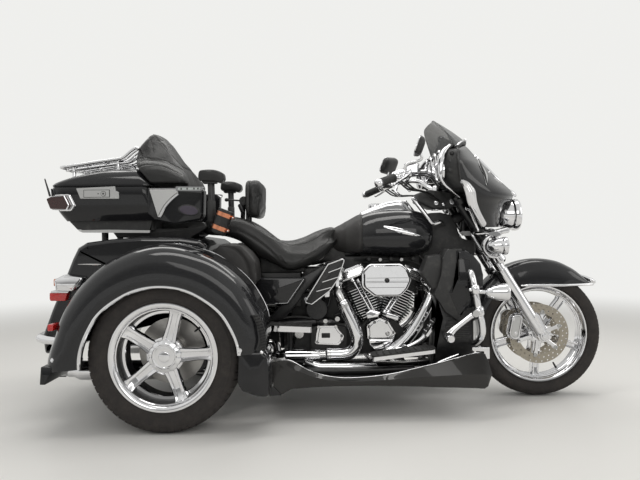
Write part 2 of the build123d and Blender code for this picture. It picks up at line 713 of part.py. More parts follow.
bumper_z = 372
bumper_r = 26
bumper_half = 440
nerf_r = 14
with BuildPart() as rear_bumper:
    bumper_x = tail_x + bumper_r
    with BuildLine() as path:
        FilletPolyline((bumper_x + 120, -bumper_half, bumper_z), (bumper_x, -bumper_half + 60, bumper_z),
                       (bumper_x, bumper_half - 60, bumper_z), (bumper_x + 120, bumper_half, bumper_z),
                       radius=60)
    with BuildSketch(Plane(origin=path.line @ 0, z_dir=path.line % 0)):
        Circle(bumper_r)
    sweep(path=path.line)
    for y in (-240, 240):
        with BuildSketch(side_plane(y)):
            with Locations((bumper_x + 45, bumper_z)):
                Rectangle(90, 30)
        extrude(amount=12, both=True)
        with BuildLine() as path:
            FilletPolyline((bumper_x + 6, y, bumper_z), (bumper_x + 10, y, bumper_z - 120),
                           (bumper_x + 160, y, bumper_z - 130), radius=50)
        with BuildSketch(Plane(origin=path.line @ 0, z_dir=path.line % 0)):
            Circle(nerf_r)
        sweep(path=path.line)
    add(trunk_body.part, mode=Mode.SUBTRACT)
    add(tail_lamps.part, mode=Mode.SUBTRACT)
    add(exhaust.part, mode=Mode.SUBTRACT)
    add(fender_left.part, mode=Mode.SUBTRACT)
    add(fender_right.part, mode=Mode.SUBTRACT)
save(rear_bumper, "rear_bumper")

# Touring box: hollow base, hinged lid, rack and backrest on the lid, mount below
box_rear_x = tail_x + 52
box_front_x = rear_x - 146
box_seam_z = 1068
box_low_z = 908
box_half = 290
box_wall = 8
pod_front_x = rear_x + 112
pod_inner_y = 206
with BuildPart() as travel_box_base:
    with BuildSketch(side_plane(0)):
        with BuildLine():
            Polyline((box_rear_x, box_seam_z), (box_rear_x - 10, box_seam_z - 40), (box_rear_x + 52, 951),
                     (box_rear_x + 76, box_low_z), (box_front_x + 40, box_low_z),
                     (box_front_x, box_seam_z), close=True)
        make_face()
    extrude(amount=box_half, both=True)
    with BuildSketch(Plane.XY.offset(box_low_z + box_wall)):
        with Locations(((box_rear_x + box_front_x) / 2 + 40, 0)):
            RectangleRounded(box_front_x - box_rear_x - 120, 2 * (box_half - box_wall), 30)
    extrude(amount=box_seam_z - box_low_z, mode=Mode.SUBTRACT)
    for y_side in (-1, 1):
        with BuildSketch(side_plane(y_side * pod_inner_y)):
            with BuildLine():
                Polyline((box_front_x, box_seam_z - 4), (pod_front_x - 14, box_seam_z - 8),
                         (pod_front_x, box_seam_z - 40), (pod_front_x - 10, box_low_z + 6),
                         (pod_front_x - 140, box_low_z - 22), (box_front_x + 39, box_low_z), close=True)
            make_face()
        extrude(amount=-y_side * (box_half - pod_inner_y))
save(travel_box_base, "travel_box_base")

lid_gap = 0.3
lid_top_z = 1152
with BuildPart() as travel_box_lid:
    with BuildSketch(side_plane(0)):
        with BuildLine():
            Polyline((box_rear_x - 4, box_seam_z + lid_gap), (box_rear_x + 10, 1094), (box_rear_x + 110, 1130),
                     (box_rear_x + 262, lid_top_z), (box_front_x - 66, lid_top_z),
                     (box_front_x - 2, box_seam_z + lid_gap), close=True)
        make_face()
    extrude(amount=box_half, both=True)
    with BuildSketch(Plane.XY.offset(box_seam_z)):
        with Locations(((box_rear_x + box_front_x) / 2, 0)):
            RectangleRounded(box_front_x - box_rear_x - 50, 2 * (box_half - box_wall), 30)
    extrude(amount=24, mode=Mode.SUBTRACT)
save(travel_box_lid, "travel_box_lid")

# Rack on the lid: two side rails that kick up at the front, cross bars and feet
rack_r = 7
rack_half = 170
rack_knuckle_r = rack_r + 1.5
rack_bend = 24
rack_foot = 24
rack_foot_depth = 52
rack_route = [
    (box_rear_x + 4, lid_top_z + 24), (box_rear_x + 280, lid_top_z + 54),
    (box_rear_x + 322, lid_top_z + 66), (box_rear_x + 364, lid_top_z + 106)]
rack_slope = (rack_route[1][1] - rack_route[0][1]) / (rack_route[1][0] - rack_route[0][0])
rack_bars = [rack_route[0], rack_route[1], rack_route[3]]
with BuildPart() as luggage_rack:
    with BuildLine() as path:
        FilletPolyline(*[(px, -rack_half, pz) for px, pz in rack_route], radius=rack_bend)
    with BuildSketch(Plane(origin=path.line @ 0, z_dir=path.line % 0)):
        Circle(rack_r)
    sweep(path=path.line)
    for y in (-rack_half * 0.55, -rack_half * 0.18):
        a = Vector(rack_route[0][0], y, rack_route[0][1])
        b = Vector(rack_route[1][0], y, rack_route[1][1])
        with BuildSketch(Plane(origin=a, z_dir=b - a)):
            Circle(rack_r)
        extrude(amount=(b - a).length)
    for along in (90, 250):
        foot_x = rack_route[0][0] + along
        foot_top = rack_route[0][1] + rack_slope * along
        rack_bars.append((foot_x, foot_top))
        with BuildSketch(Plane.XY.offset(lid_top_z - rack_foot_depth)):
            with Locations((foot_x, -rack_half * 0.8)):
                Rectangle(rack_foot, rack_foot)
        extrude(amount=foot_top - lid_top_z + rack_foot_depth)
    for px, pz in rack_bars:
        with BuildSketch(side_plane(0)):
            with Locations((px, pz)):
                Circle(rack_knuckle_r)
        extrude(amount=rack_half + rack_r)
    mirror(about=Plane.XZ)
    add(travel_box_lid.part, mode=Mode.SUBTRACT)
save(luggage_rack, "luggage_rack")

# Passenger backrest: a tall centre pad and a wing to each side, carried by the lid
pad_half = 150
pad_top_z = 1346
pad_low_z = box_seam_z + 10
wing_top_z = lid_top_z + 4
wing_wall = 70
pad_outline = [
    (box_front_x - 20, pad_low_z), (box_front_x - 76, lid_top_z - 4), (box_front_x - 98, lid_top_z + 62),
    (box_front_x - 16, pad_top_z), (box_front_x + 16, pad_top_z - 6), (box_front_x + 124, lid_top_z + 38),
    (box_front_x + 130, pad_low_z)]
# the wing runs further forward at its outer end than where it leaves the pad
wing_outer = [
    (box_front_x - 20, pad_low_z), (box_front_x - 70, wing_top_z - 6), (box_front_x + 50, wing_top_z),
    (box_front_x + 170, wing_top_z - 20), (box_front_x + 186, pad_low_z)]
wing_inner = [
    (box_front_x - 20, pad_low_z), (box_front_x - 70, wing_top_z - 6), (box_front_x + 50, wing_top_z),
    (box_front_x + 120, wing_top_z - 20), (box_front_x + 126, pad_low_z)]
with BuildPart() as passenger_backrest:
    with BuildSketch(side_plane(-pad_half)):
        with BuildLine():
            Polyline(*pad_outline, close=True)
        make_face()
    extrude(amount=-pad_half)
    for outline, wall in ((wing_outer, wing_wall), (wing_inner, box_half - pad_half)):
        with BuildSketch(side_plane(-box_half)):
            with BuildLine():
                Polyline(*outline, close=True)
            make_face()
        extrude(amount=-wall)
    mirror(about=Plane.XZ)
    add(travel_box_lid.part, mode=Mode.SUBTRACT)
    add(luggage_rack.part, mode=Mode.SUBTRACT)
save(passenger_backrest, "passenger_backrest")

# Mount of the box: a slotted tray on four legs that stand on the trunk
tray_low = 862
with BuildPart() as travel_box_mount:
    with BuildSketch(Plane.XY.offset(tray_low)):
        with Locations((box_rear_x + 290, 0)):
            RectangleRounded(360, 420, 20)
    extrude(amount=box_low_z - tray_low)
    for px in (box_rear_x + 200, box_rear_x + 400):
        for py in (-120, 120):
            with BuildSketch(Plane.XY.offset(780)):
                with Locations((px, py)):
                    Circle(16)
            extrude(amount=tray_low - 780)
    with BuildSketch(Plane.XY.offset(780)):
        with Locations((seat_back_x - 60, 0)):
            Rectangle(60, 160)
    extrude(amount=tray_low + 40 - 780)
    with BuildSketch(Plane.XY.offset(tray_low)):
        with Locations(((box_rear_x + 440 + seat_back_x - 60) / 2, 0)):
            Rectangle(seat_back_x - 60 - box_rear_x - 440 + 60, 120)
    extrude(amount=40)
    add(trunk_body.part, mode=Mode.SUBTRACT)
    add(travel_box_base.part, mode=Mode.SUBTRACT)
    add(seat.part, mode=Mode.SUBTRACT)
save(travel_box_mount, "travel_box_mount")

# Armrests: a padded top on a post at each side of the passenger
arm_x = rear_x + 158
arm_y = 330
arm_low = 1078
arm_high = 1134
arm_length = 128
arm_width = 74
post_r = 16
with BuildPart() as armrests:
    with BuildSketch(Plane.XY.offset(arm_low)):
        with Locations((arm_x, -arm_y)):
            RectangleRounded(arm_length, arm_width, 24)
    extrude(amount=arm_high - arm_low)
    mirror(about=Plane.XZ)
save(armrests, "armrests")

post_foot_z = 880
with BuildPart() as armrest_posts:
    with BuildSketch(Plane.XY.offset(post_foot_z - post_r)):
        with Locations((arm_x, -arm_y)):
            Circle(post_r)
    extrude(amount=arm_low - post_foot_z + post_r)
    with BuildSketch(Plane.XY.offset(post_foot_z - post_r)):
        with Locations((arm_x, -arm_y / 2 - 10)):
            Rectangle(2 * post_r, arm_y - 20)
    extrude(amount=2 * post_r)
    mirror(about=Plane.XZ)
    with BuildSketch(Plane.XY.offset(backrest_low - 60)):
        with Locations((backrest_x - backrest_thick / 2 - 7, 0)):
            Rectangle(14, 60)
    extrude(amount=160)
    add(seat.part, mode=Mode.SUBTRACT)
    add(travel_box_base.part, mode=Mode.SUBTRACT)
    add(travel_box_mount.part, mode=Mode.SUBTRACT)
    add(frame.part, mode=Mode.SUBTRACT)
save(armrest_posts, "armrest_posts")

# Side panels under the seat and the ribbed heat shields ahead of them
panel_y = 168
with BuildPart() as side_covers:
    with BuildSketch(side_plane(-panel_y)):
        with BuildLine():
            Polyline((rear_x + 360, 490), (rear_x + 366, 668), (rear_x + 596, 640), (rear_x + 596, 488),
                     close=True)
        make_face()
        fillet(vertices(), 14)
    extrude(amount=22)
    with BuildSketch(side_plane(-panel_y)):
        with BuildLine():
            Polyline((rear_x + 580, 486), (rear_x + 690, 706), (rear_x + 776, 710), (rear_x + 770, 600),
                     (rear_x + 690, 500), close=True)
        make_face()
        fillet(vertices(), 10)
    extrude(amount=40)
    with BuildSketch(side_plane(0)):
        with Locations((rear_x + 470, 600)):
            Rectangle(40, 40)
    extrude(amount=panel_y)
    mirror(about=Plane.XZ)
    add(frame.part, mode=Mode.SUBTRACT)
    add(engine_covers.part, mode=Mode.SUBTRACT)
    add(cylinders.part, mode=Mode.SUBTRACT)
    add(exhaust.part, mode=Mode.SUBTRACT)
    add(seat.part, mode=Mode.SUBTRACT)
    add(engine_case.part, mode=Mode.SUBTRACT)
    add(tank_console.part, mode=Mode.SUBTRACT)
save(side_covers, "side_covers")

# Leather pouches behind the seat over each fender's front
with BuildPart() as side_pouches:
    with BuildSketch(side_plane(-panel_y - 22 - seat_gap)):
        with BuildLine():
            Polyline((rear_x + 180, 740), (rear_x + 200, 794), (rear_x + 300, 788), (rear_x + 372, 710),
                     (rear_x + 374, 604), (rear_x + 300, 590), close=True)
        make_face()
        fillet(vertices(), 16)
    extrude(amount=fender_inner_y - panel_y - 22 - 2 * seat_gap)
    mirror(about=Plane.XZ)
    add(fender_left.part, mode=Mode.SUBTRACT)
    add(fender_right.part, mode=Mode.SUBTRACT)
    add(trunk_body.part, mode=Mode.SUBTRACT)
    add(side_covers.part, mode=Mode.SUBTRACT)
    add(seat.part, mode=Mode.SUBTRACT)
    add(armrest_posts.part, mode=Mode.SUBTRACT)
save(side_pouches, "side_pouches")

# Cup holder on the right, tilted forward, outboard of the armrest post and on an arm from it
cup_r = 36
cup_length = 116
cup_wall = 4
cup_lean = 21
cup_foot = Vector(rear_x + 191, -arm_y - cup_r, 838)
cup_axis = Vector(sin(radians(cup_lean)), 0, cos(radians(cup_lean)))
cup_plane = Plane(origin=cup_foot, x_dir=(0, 1, 0), z_dir=cup_axis)
cup_arm_z = post_foot_z
cup_arm_wide = 18
cup_arm_thick = 16
cup_arm_start = Vector(arm_x, -arm_y, cup_arm_z)
cup_arm_end = cup_foot + cup_axis * ((cup_arm_z - cup_foot.Z) / cup_axis.Z)
cup_arm = cup_arm_end - cup_arm_start
with BuildPart() as cup_holder:
    with BuildSketch(cup_plane):
        Circle(cup_r)
    extrude(amount=cup_length)
    with BuildSketch(Plane(origin=cup_arm_start, x_dir=cup_arm, z_dir=(0, 0, 1))):
        with Locations((cup_arm.length / 2, 0)):
            Rectangle(cup_arm.length, cup_arm_wide)
    extrude(amount=cup_arm_thick)
    with BuildSketch(cup_plane.offset(cup_wall)):
        Circle(cup_r - cup_wall)
    extrude(amount=cup_length, mode=Mode.SUBTRACT)
    add(armrest_posts.part, mode=Mode.SUBTRACT)
save(cup_holder, "cup_holder")

# Foot boards: rider's boards ahead, passenger's boards behind, each on a bracket from the rail
board_wall = 14
with BuildPart() as footboards:
    # front end x, rear end x, front z, rear z, middle y, width
    for fx, bx, fz, bz, my, wide in ((crank_x + 216, crank_x - 72, 300, 264, 350, 120),
                                     (rear_x + 620, rear_x + 400, 372, 386, 300, 90)):
        with BuildSketch(side_plane(-my)):
            with BuildLine():
                Polyline((bx, bz), (fx, fz), (fx, fz + board_wall), (bx, bz + board_wall), close=True)
            make_face()
        extrude(amount=wide / 2, both=True)
        with BuildSketch(side_plane(0)):
            with Locations(((fx + bx) / 2, (fz + bz) / 2 - 6)):
                Rectangle(40, 24)
        extrude(amount=my)
    with BuildSketch(side_plane(0)):
        with Locations((crank_x + 60, rail_z + 30)):
            Rectangle(50, 100)
    extrude(amount=rail_y - tube_r)
    with BuildSketch(side_plane(-rail_y)):
        with Locations(((rear_x + 510), 280)):
            Rectangle(36, 200)
    extrude(amount=16)
    mirror(about=Plane.XZ)
    add(frame.part, mode=Mode.SUBTRACT)
    add(engine_case.part, mode=Mode.SUBTRACT)
    add(engine_covers.part, mode=Mode.SUBTRACT)
    add(exhaust.part, mode=Mode.SUBTRACT)
save(footboards, "footboards")

# Brake pedal on the right and shift lever on the left, each on a stub in the board's bracket
pedal_y = 268
with BuildPart() as foot_levers:
    for side in (-1, 1):
        with BuildSketch(side_plane(side * pedal_y)):
            with BuildLine():
                Polyline((crank_x + 84, 300), (crank_x + 100, 292), (crank_x + 252, 424), (crank_x + 240, 436),
                         close=True)
            make_face()
        extrude(amount=8, both=True)
        with BuildSketch(Plane(origin=(crank_x + 242, side * pedal_y, 424), x_dir=(0, 1, 0),
                               z_dir=(0.65, 0, 0.76))):
            RectangleRounded(80, 44, 8)
        extrude(amount=16)
        with BuildSketch(side_plane(0)):
            with Locations((crank_x + 92, 296)):
                Circle(10)
        extrude(amount=-side * (pedal_y + 40))
    add(footboards.part, mode=Mode.SUBTRACT)
    add(engine_case.part, mode=Mode.SUBTRACT)
    add(frame.part, mode=Mode.SUBTRACT)
    add(exhaust.part, mode=Mode.SUBTRACT)
    add(engine_covers.part, mode=Mode.SUBTRACT)
save(foot_levers, "foot_levers")

# Engine guard: a bent tube around each side with a highway peg and a lamp on it
guard_r = 16
guard_y = 400
guard_x = rail_front_x + 10
with BuildPart() as engine_guard:
    with BuildLine() as path:
        FilletPolyline((guard_x + 30, -60, 640), (guard_x + 36, -300, 650), (guard_x + 56, -guard_y, 560),
                       (guard_x + 76, -guard_y, 410), (guard_x + 40, -340, 310), (guard_x - 6, -rail_y, 290),
                       radius=40)
    with BuildSketch(Plane(origin=path.line @ 0, z_dir=path.line % 0)):
        Circle(guard_r)
    sweep(path=path.line)
    peg_start = Vector(guard_x + 66, -guard_y, 478)
    peg_end = Vector(guard_x - 90, -guard_y - 16, 382)
    with BuildSketch(Plane(origin=peg_start, z_dir=peg_end - peg_start)):
        SlotOverall(40, 16)
    extrude(amount=(peg_end - peg_start).length)
    with BuildSketch(side_plane(peg_end.Y + 30)):
        with Locations((peg_end.X, peg_end.Z)):
            Circle(16)
    extrude(amount=100)
    lamp_x = guard_x + 76
    with BuildSketch(Plane(origin=(lamp_x, -guard_y + 6, 562), x_dir=(0, 1, 0), z_dir=(1, 0, 0))):
        Circle(22)
    extrude(amount=36, taper=-24)
    with BuildSketch(Plane(origin=(lamp_x + 36, -guard_y + 6, 562), x_dir=(0, 1, 0), z_dir=(1, 0, 0))):
        Circle(38)
    extrude(amount=74)
    with BuildSketch(Plane(origin=(lamp_x, -guard_y + 6, 562), x_dir=(0, 1, 0), z_dir=(-1, 0, 0))):
        Circle(12)
    extrude(amount=40)
    mirror(about=Plane.XZ)
    add(frame.part, mode=Mode.SUBTRACT)
save(engine_guard, "engine_guard")

# Lower fairings with their glove boxes and the radiators behind them
lower_outer_y = 372
lower_inner_y = 220
with BuildPart() as lower_fairings:
    with BuildSketch(side_plane(-lower_inner_y)):
        with BuildLine():
            Polyline((guard_x - 190, 560), (guard_x - 216, 660), (guard_x - 180, 726), (guard_x - 120, 734),
                     (guard_x - 90, 764), (guard_x - 30, 764), (guard_x + 40, 728), (guard_x + 76, 650),
                     (guard_x + 76, 508), (guard_x - 20, 312), (guard_x - 60, 330), (guard_x - 110, 400),
                     (guard_x - 120, 540), close=True)
        make_face()
        fillet(vertices(), 9)
    extrude(amount=lower_outer_y - lower_inner_y)
    with BuildSketch(side_plane(0)):
        with Locations((guard_x + 10, 600)):
            Rectangle(60, 60)
    extrude(amount=lower_inner_y + 10)
    mirror(about=Plane.XZ)
    add(frame.part, mode=Mode.SUBTRACT)
    add(engine_guard.part, mode=Mode.SUBTRACT)
    add(cylinders.part, mode=Mode.SUBTRACT)
    add(engine_covers.part, mode=Mode.SUBTRACT)
    add(exhaust.part, mode=Mode.SUBTRACT)
    add(foot_levers.part, mode=Mode.SUBTRACT)
save(lower_fairings, "lower_fairings")

# Side skirts: a low boat-shaped panel on each side, held by two cross arms
skirt_y = flap_inner_y
skirt_wall = 26
skirt_front = front_x - 338
with BuildPart() as side_skirts:
    with BuildSketch(side_plane(-skirt_y)):
        with BuildLine():
            Polyline((rear_x + 448, 116), (rear_x + 448, 262), (rear_x + 560, 266), (rear_x + 624, 222),
                     (rear_x + 756, 184), (crank_x - 10, 200), (crank_x + 184, 246), (skirt_front - 126, 282),
                     (skirt_front - 36, 292), (skirt_front, 206), (skirt_front - 36, 138),
                     (crank_x + 280, 138), (crank_x - 10, 148), (rear_x + 566, 150), close=True)
        make_face()
    extrude(amount=skirt_wall)
    for px in (rear_x + 600, crank_x + 230):
        with BuildSketch(side_plane(-rail_y)):
            with Locations((px, rail_z)):
                Rectangle(36, 18)
        extrude(amount=skirt_y - rail_y)
    mirror(about=Plane.XZ)
    add(frame.part, mode=Mode.SUBTRACT)
    add(exhaust.part, mode=Mode.SUBTRACT)
    add(footboards.part, mode=Mode.SUBTRACT)
    add(engine_case.part, mode=Mode.SUBTRACT)
    add(mud_flaps.part, mode=Mode.SUBTRACT)
save(side_skirts, "side_skirts")

# Front fender: a round arch over the tyre with deep sides, carried by the sliders
front_fender_r = 366
front_fender_wall = 6
front_fender_half = 84
side_drop = 90
with BuildPart() as front_fender:
    with BuildSketch(wheel_section(front_x, 0, front_z)):
        with BuildLine():
            top = front_fender_r
            inner = front_fender_r - front_fender_wall
            edge = front_fender_half
            Line((-edge, top - side_drop), (-edge, top - 50))
            ThreePointArc((-edge, top - 50), (0, top), (edge, top - 50))
            Line((edge, top - 50), (edge, top - side_drop))
            Line((edge, top - side_drop), (edge - front_fender_wall, top - side_drop))
            Line((edge - front_fender_wall, top - side_drop), (edge - front_fender_wall, top - 50))
            ThreePointArc((edge - front_fender_wall, top - 50), (0, inner),
                          (-edge + front_fender_wall, top - 50))
            Line((-edge + front_fender_wall, top - 50), (-edge + front_fender_wall, top - side_drop))
            Line((-edge + front_fender_wall, top - side_drop), (-edge, top - side_drop))
        make_face()
    revolve(axis=wheel_axis(front_x, 0, front_z))
    with BuildSketch(side_plane(0)):
        with BuildLine():
            Polyline((front_x - 700, front_z + 30), (front_x - 250, front_z + 30), (front_x - 110, front_z + 240),
                     (front_x + 700, front_z + 240), (front_x + 700, front_z - 700),
                     (front_x - 700, front_z - 700), close=True)
        make_face()
    extrude(amount=200, both=True, mode=Mode.SUBTRACT)
    add(fork.part, mode=Mode.SUBTRACT)
save(front_fender, "front_fender")

# Front calipers behind the sliders, astride the discs
caliper_x = front_x - 118
with BuildPart() as front_calipers:
    with BuildSketch(side_plane(-front_hub_half + 24)):
        with Locations((caliper_x, front_z + 40)):
            RectangleRounded(66, 140, 22)
    extrude(amount=66)
    with BuildSketch(side_plane(-front_hub_half)):
        with Locations((front_x, front_z)):
            Circle(front_disc_r + moving_gap)
    extrude(amount=disc_wall + moving_gap / 2, mode=Mode.SUBTRACT)
    with BuildSketch(side_plane(-front_hub_half + 24)):
        with Locations((front_x, front_z)):
            Circle(front_disc_r + moving_gap)
    extrude(amount=24, mode=Mode.SUBTRACT)
    with BuildSketch(side_plane(-front_hub_half - 14)):
        with Locations((caliper_x + 50, front_z + 60)):
            Rectangle(110, 36)
    extrude(amount=24)
    mirror(about=Plane.XZ)
    add(fork.part, mode=Mode.SUBTRACT)
save(front_calipers, "front_calipers")

# Fairing: curved bands at rising heights, each a shell between an outer and an inner arc
# height, nose x, side x, half width
fairing_table = [
    (858, front_x - 150, front_x - 312, 190),
    (950, front_x - 118, front_x - 366, 262),
    (1046, front_x - 116, front_x - 428, 330),
    (1140, front_x - 214, front_x - 468, 370),
    (1216, front_x - 308, front_x - 466, 352),
    (1284, front_x - 374, front_x - 456, 290),
]
fairing_wall = 10
lamp_r = 97
headlamp_x = front_x - 196
lamp_z = 926


def band(nose, side, half, wall):
    Line((side, -half), (side, -half + wall))
    ThreePointArc((side, -half + wall), (nose - wall, 0), (side, half - wall))
    Line((side, half - wall), (side, half))
    ThreePointArc((side, half), (nose, 0), (side, -half))


with BuildPart() as fairing_outer:
    for height, nose, side, half in fairing_table:
        with BuildSketch(Plane.XY.offset(height)):
            with BuildLine():
                band(nose, side, half, fairing_wall)
            make_face()
    loft()
    with BuildSketch(Plane(origin=(front_x, 0, lamp_z), x_dir=(0, 1, 0), z_dir=(1, 0, 0))):
        Circle(lamp_r + running_gap)
    extrude(amount=-200, mode=Mode.SUBTRACT)
save(fairing_outer, "fairing_outer")

# Inner fairing: the dash, closed to the outer shell and carried by the upper clamp
dash_x = front_x - 500
with BuildPart() as fairing_inner:
    with BuildSketch(Plane(origin=(dash_x, 0, 1140), x_dir=(0, 1, 0), z_dir=(1, 0, 0))):
        RectangleRounded(640, 160, 50)
    extrude(amount=150)
    with BuildSketch(Plane(origin=(dash_x, 0, 1160), x_dir=(0, 1, 0), z_dir=(1, 0, 0))):
        with Locations((-170, 0), (-60, 0), (60, 0), (170, 0)):
            Circle(44)
    extrude(amount=-14)
    with BuildSketch(steer_plane(upper_clamp_z + clamp_thick / 2)):
        with Locations((0, 40)):
            Rectangle(120, 60)
    extrude(amount=100)
    add(fairing_outer.part, mode=Mode.SUBTRACT)
    add(fork.part, mode=Mode.SUBTRACT)
save(fairing_inner, "fairing_inner")

# Windshield: a thin curved band that rises from the fairing's top edge
shield_wall = 5
with BuildPart() as windshield:
    for height, nose, side, half in ((fairing_table[-1][0], front_x - 377, front_x - 456, 287),
                                     (1340, front_x - 444, front_x - 506, 262),
                                     (1410, front_x - 508, front_x - 536, 160)):
        with BuildSketch(Plane.XY.offset(height)):
            with BuildLine():
                band(nose, side, half, shield_wall)
            make_face()
    loft()
    add(fairing_outer.part, mode=Mode.SUBTRACT)
    add(fairing_inner.part, mode=Mode.SUBTRACT)
save(windshield, "windshield")

# Headlamp in the nose, with its bucket back to the clamps
with BuildPart() as headlamp:
    with BuildSketch(Plane(origin=(headlamp_x, 0, lamp_z), x_dir=(0, 1, 0), z_dir=(1, 0, 0))):
        Circle(lamp_r)
    extrude(amount=66)
    with BuildSketch(Plane(origin=(headlamp_x + 66, 0, lamp_z), x_dir=(0, 1, 0), z_dir=(1, 0, 0))):
        Circle(lamp_r - 5)
    extrude(amount=34, taper=30)
    with BuildSketch(Plane(origin=(headlamp_x, 0, lamp_z), x_dir=(0, 1, 0), z_dir=(-1, 0, 0))):
        Circle(60)
    extrude(amount=60)
    add(fork.part, mode=Mode.SUBTRACT)
    add(fairing_outer.part, mode=Mode.SUBTRACT)
save(headlamp, "headlamp")

# Passing lamps on a cross bracket in front of the lower clamp
with BuildPart() as passing_lamps:
    for y in (-200, 200):
        with BuildSketch(Plane(origin=(front_x - 298, y, 770), x_dir=(0, 1, 0), z_dir=(1, 0, 0))):
            Circle(30)
        extrude(amount=50, taper=-10)
        with BuildSketch(Plane(origin=(front_x - 248, y, 770), x_dir=(0, 1, 0), z_dir=(1, 0, 0))):
            Circle(42)
        extrude(amount=46)
        with BuildSketch(Plane.XY.offset(790)):
            with Locations((front_x - 262, y)):
                Rectangle(30, 30)
        extrude(amount=40)
    with BuildSketch(Plane.XY.offset(822)):
        with Locations((front_x - 284, 0)):
            RectangleRounded(176, 450, 30)
    extrude(amount=20)
    add(fork.part, mode=Mode.SUBTRACT)
    add(fairing_outer.part, mode=Mode.SUBTRACT)
    add(headlamp.part, mode=Mode.SUBTRACT)
save(passing_lamps, "passing_lamps")

# Handlebar: risers on the upper clamp, a bent bar, grips, levers and reservoirs
bar_r = 13
grip_r = 18
grip_in = Vector(front_x - 738, -310, 1096)
grip_out = Vector(front_x - 834, -420, 1050)
grip_share = 0.68
riser_x = steer_x(upper_clamp_z) - 16
with BuildPart() as handlebar:
    with BuildLine() as path:
        FilletPolyline(tuple(grip_out), tuple(grip_in), (front_x - 560, -190, 1120), (riser_x - 20, -60, 1050),
                       (riser_x - 20, 60, 1050), (front_x - 560, 190, 1120),
                       (grip_in.X, -grip_in.Y, grip_in.Z), (grip_out.X, -grip_out.Y, grip_out.Z), radius=30)
    with BuildSketch(Plane(origin=path.line @ 0, z_dir=path.line % 0)):
        Circle(bar_r)
    sweep(path=path.line)
    for y in (-40, 40):
        with BuildSketch(Plane.XY.offset(upper_clamp_z)):
            with Locations((riser_x - 20, y)):
                Circle(18)
        extrude(amount=60)
    for side in (-1, 1):
        a = Vector(grip_out.X, side * -grip_out.Y, grip_out.Z)
        b = Vector(grip_in.X, side * -grip_in.Y, grip_in.Z)
        with BuildSketch(Plane(origin=a, z_dir=b - a)):
            Circle(grip_r)
        extrude(amount=(b - a).length * grip_share)
        with Locations(b + Vector(14, 0, 16)):
            Box(64, 54, 44)
        c = a + Vector(76, 0, 6)
        d = b + Vector(44, 0, 8)
        with BuildSketch(Plane(origin=c, z_dir=d - c)):
            SlotOverall(24, 10)
        extrude(amount=(d - c).length)
    add(fork.part, mode=Mode.SUBTRACT)
    add(fairing_inner.part, mode=Mode.SUBTRACT)
    add(fairing_outer.part, mode=Mode.SUBTRACT)
save(handlebar, "handlebar")

# Mirrors on short stems above the grips
with BuildPart() as mirrors:
    for side in (-1, 1):
        stem = Vector(grip_in.X + 30, side * 318, grip_in.Z + 30)
        face = Vector(front_x - 640, side * 380, 1228)
        with BuildSketch(Plane(origin=stem, z_dir=face - stem)):
            Circle(7)
        extrude(amount=(face - stem).length)
        with BuildSketch(Plane(origin=face, x_dir=(0, 1, 0), z_dir=(-0.94, 0, 0.34))):
            RectangleRounded(150, 96, 40)
        extrude(amount=18)
    add(handlebar.part, mode=Mode.SUBTRACT)
    add(fairing_outer.part, mode=Mode.SUBTRACT)
save(mirrors, "mirrors")
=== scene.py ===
import math

import bmesh
import bpy
import numpy as np
from mathutils import Matrix, Vector
from mathutils.bvhtree import BVHTree
from mathutils.kdtree import KDTree


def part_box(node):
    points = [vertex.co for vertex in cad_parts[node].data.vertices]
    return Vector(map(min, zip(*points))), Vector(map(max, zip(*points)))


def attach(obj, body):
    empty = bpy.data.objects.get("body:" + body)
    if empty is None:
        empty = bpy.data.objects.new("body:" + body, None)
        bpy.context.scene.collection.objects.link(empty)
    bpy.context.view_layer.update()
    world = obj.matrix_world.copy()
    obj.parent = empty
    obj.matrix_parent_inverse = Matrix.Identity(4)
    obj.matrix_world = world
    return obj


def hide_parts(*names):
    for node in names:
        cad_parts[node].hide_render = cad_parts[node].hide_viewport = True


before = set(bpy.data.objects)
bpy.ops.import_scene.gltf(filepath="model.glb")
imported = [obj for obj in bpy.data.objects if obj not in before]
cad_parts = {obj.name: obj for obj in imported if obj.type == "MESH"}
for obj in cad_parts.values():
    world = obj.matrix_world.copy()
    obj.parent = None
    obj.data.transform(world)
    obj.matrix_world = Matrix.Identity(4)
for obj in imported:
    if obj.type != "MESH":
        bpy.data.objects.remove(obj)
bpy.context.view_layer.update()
scene = bpy.context.scene
print("frame loaded:", len(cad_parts), "nodes")

# points closer than this are merged into one
mergeGap = 0.00002


# shader maths
class Value:
    # one socket, so that sums on it read as sums and add their Math nodes

    def __init__(self, tree, socket):
        self.tree = tree
        self.socket = socket

    def math(self, operation, other=0.0, clamp=False, swap=False):
        node = self.tree.nodes.new("ShaderNodeMath")
        node.operation = operation
        node.use_clamp = clamp
        pair = (other, self) if swap else (self, other)
        for slot, item in zip(node.inputs, pair):
            feed(self.tree, slot, item)
        return Value(self.tree, node.outputs[0])

    def __add__(self, other):
        return self.math("ADD", other)

    def __sub__(self, other):
        return self.math("SUBTRACT", other)

    def __mul__(self, other):
        return self.math("MULTIPLY", other)

    def __truediv__(self, other):
        return self.math("DIVIDE", other)

    def __pow__(self, other):
        return self.math("POWER", other)

    def __neg__(self):
        return self.math("MULTIPLY", -1.0)

    def __rsub__(self, other):
        return self.math("SUBTRACT", other, swap=True)

    def __rtruediv__(self, other):
        return self.math("DIVIDE", other, swap=True)

    __radd__ = __add__
    __rmul__ = __mul__

    def clamped(self):
        return self.math("ADD", 0.0, clamp=True)


def feed(tree, slot, item):
    if isinstance(item, Value):
        tree.links.new(item.socket, slot)
    else:
        slot.default_value = item


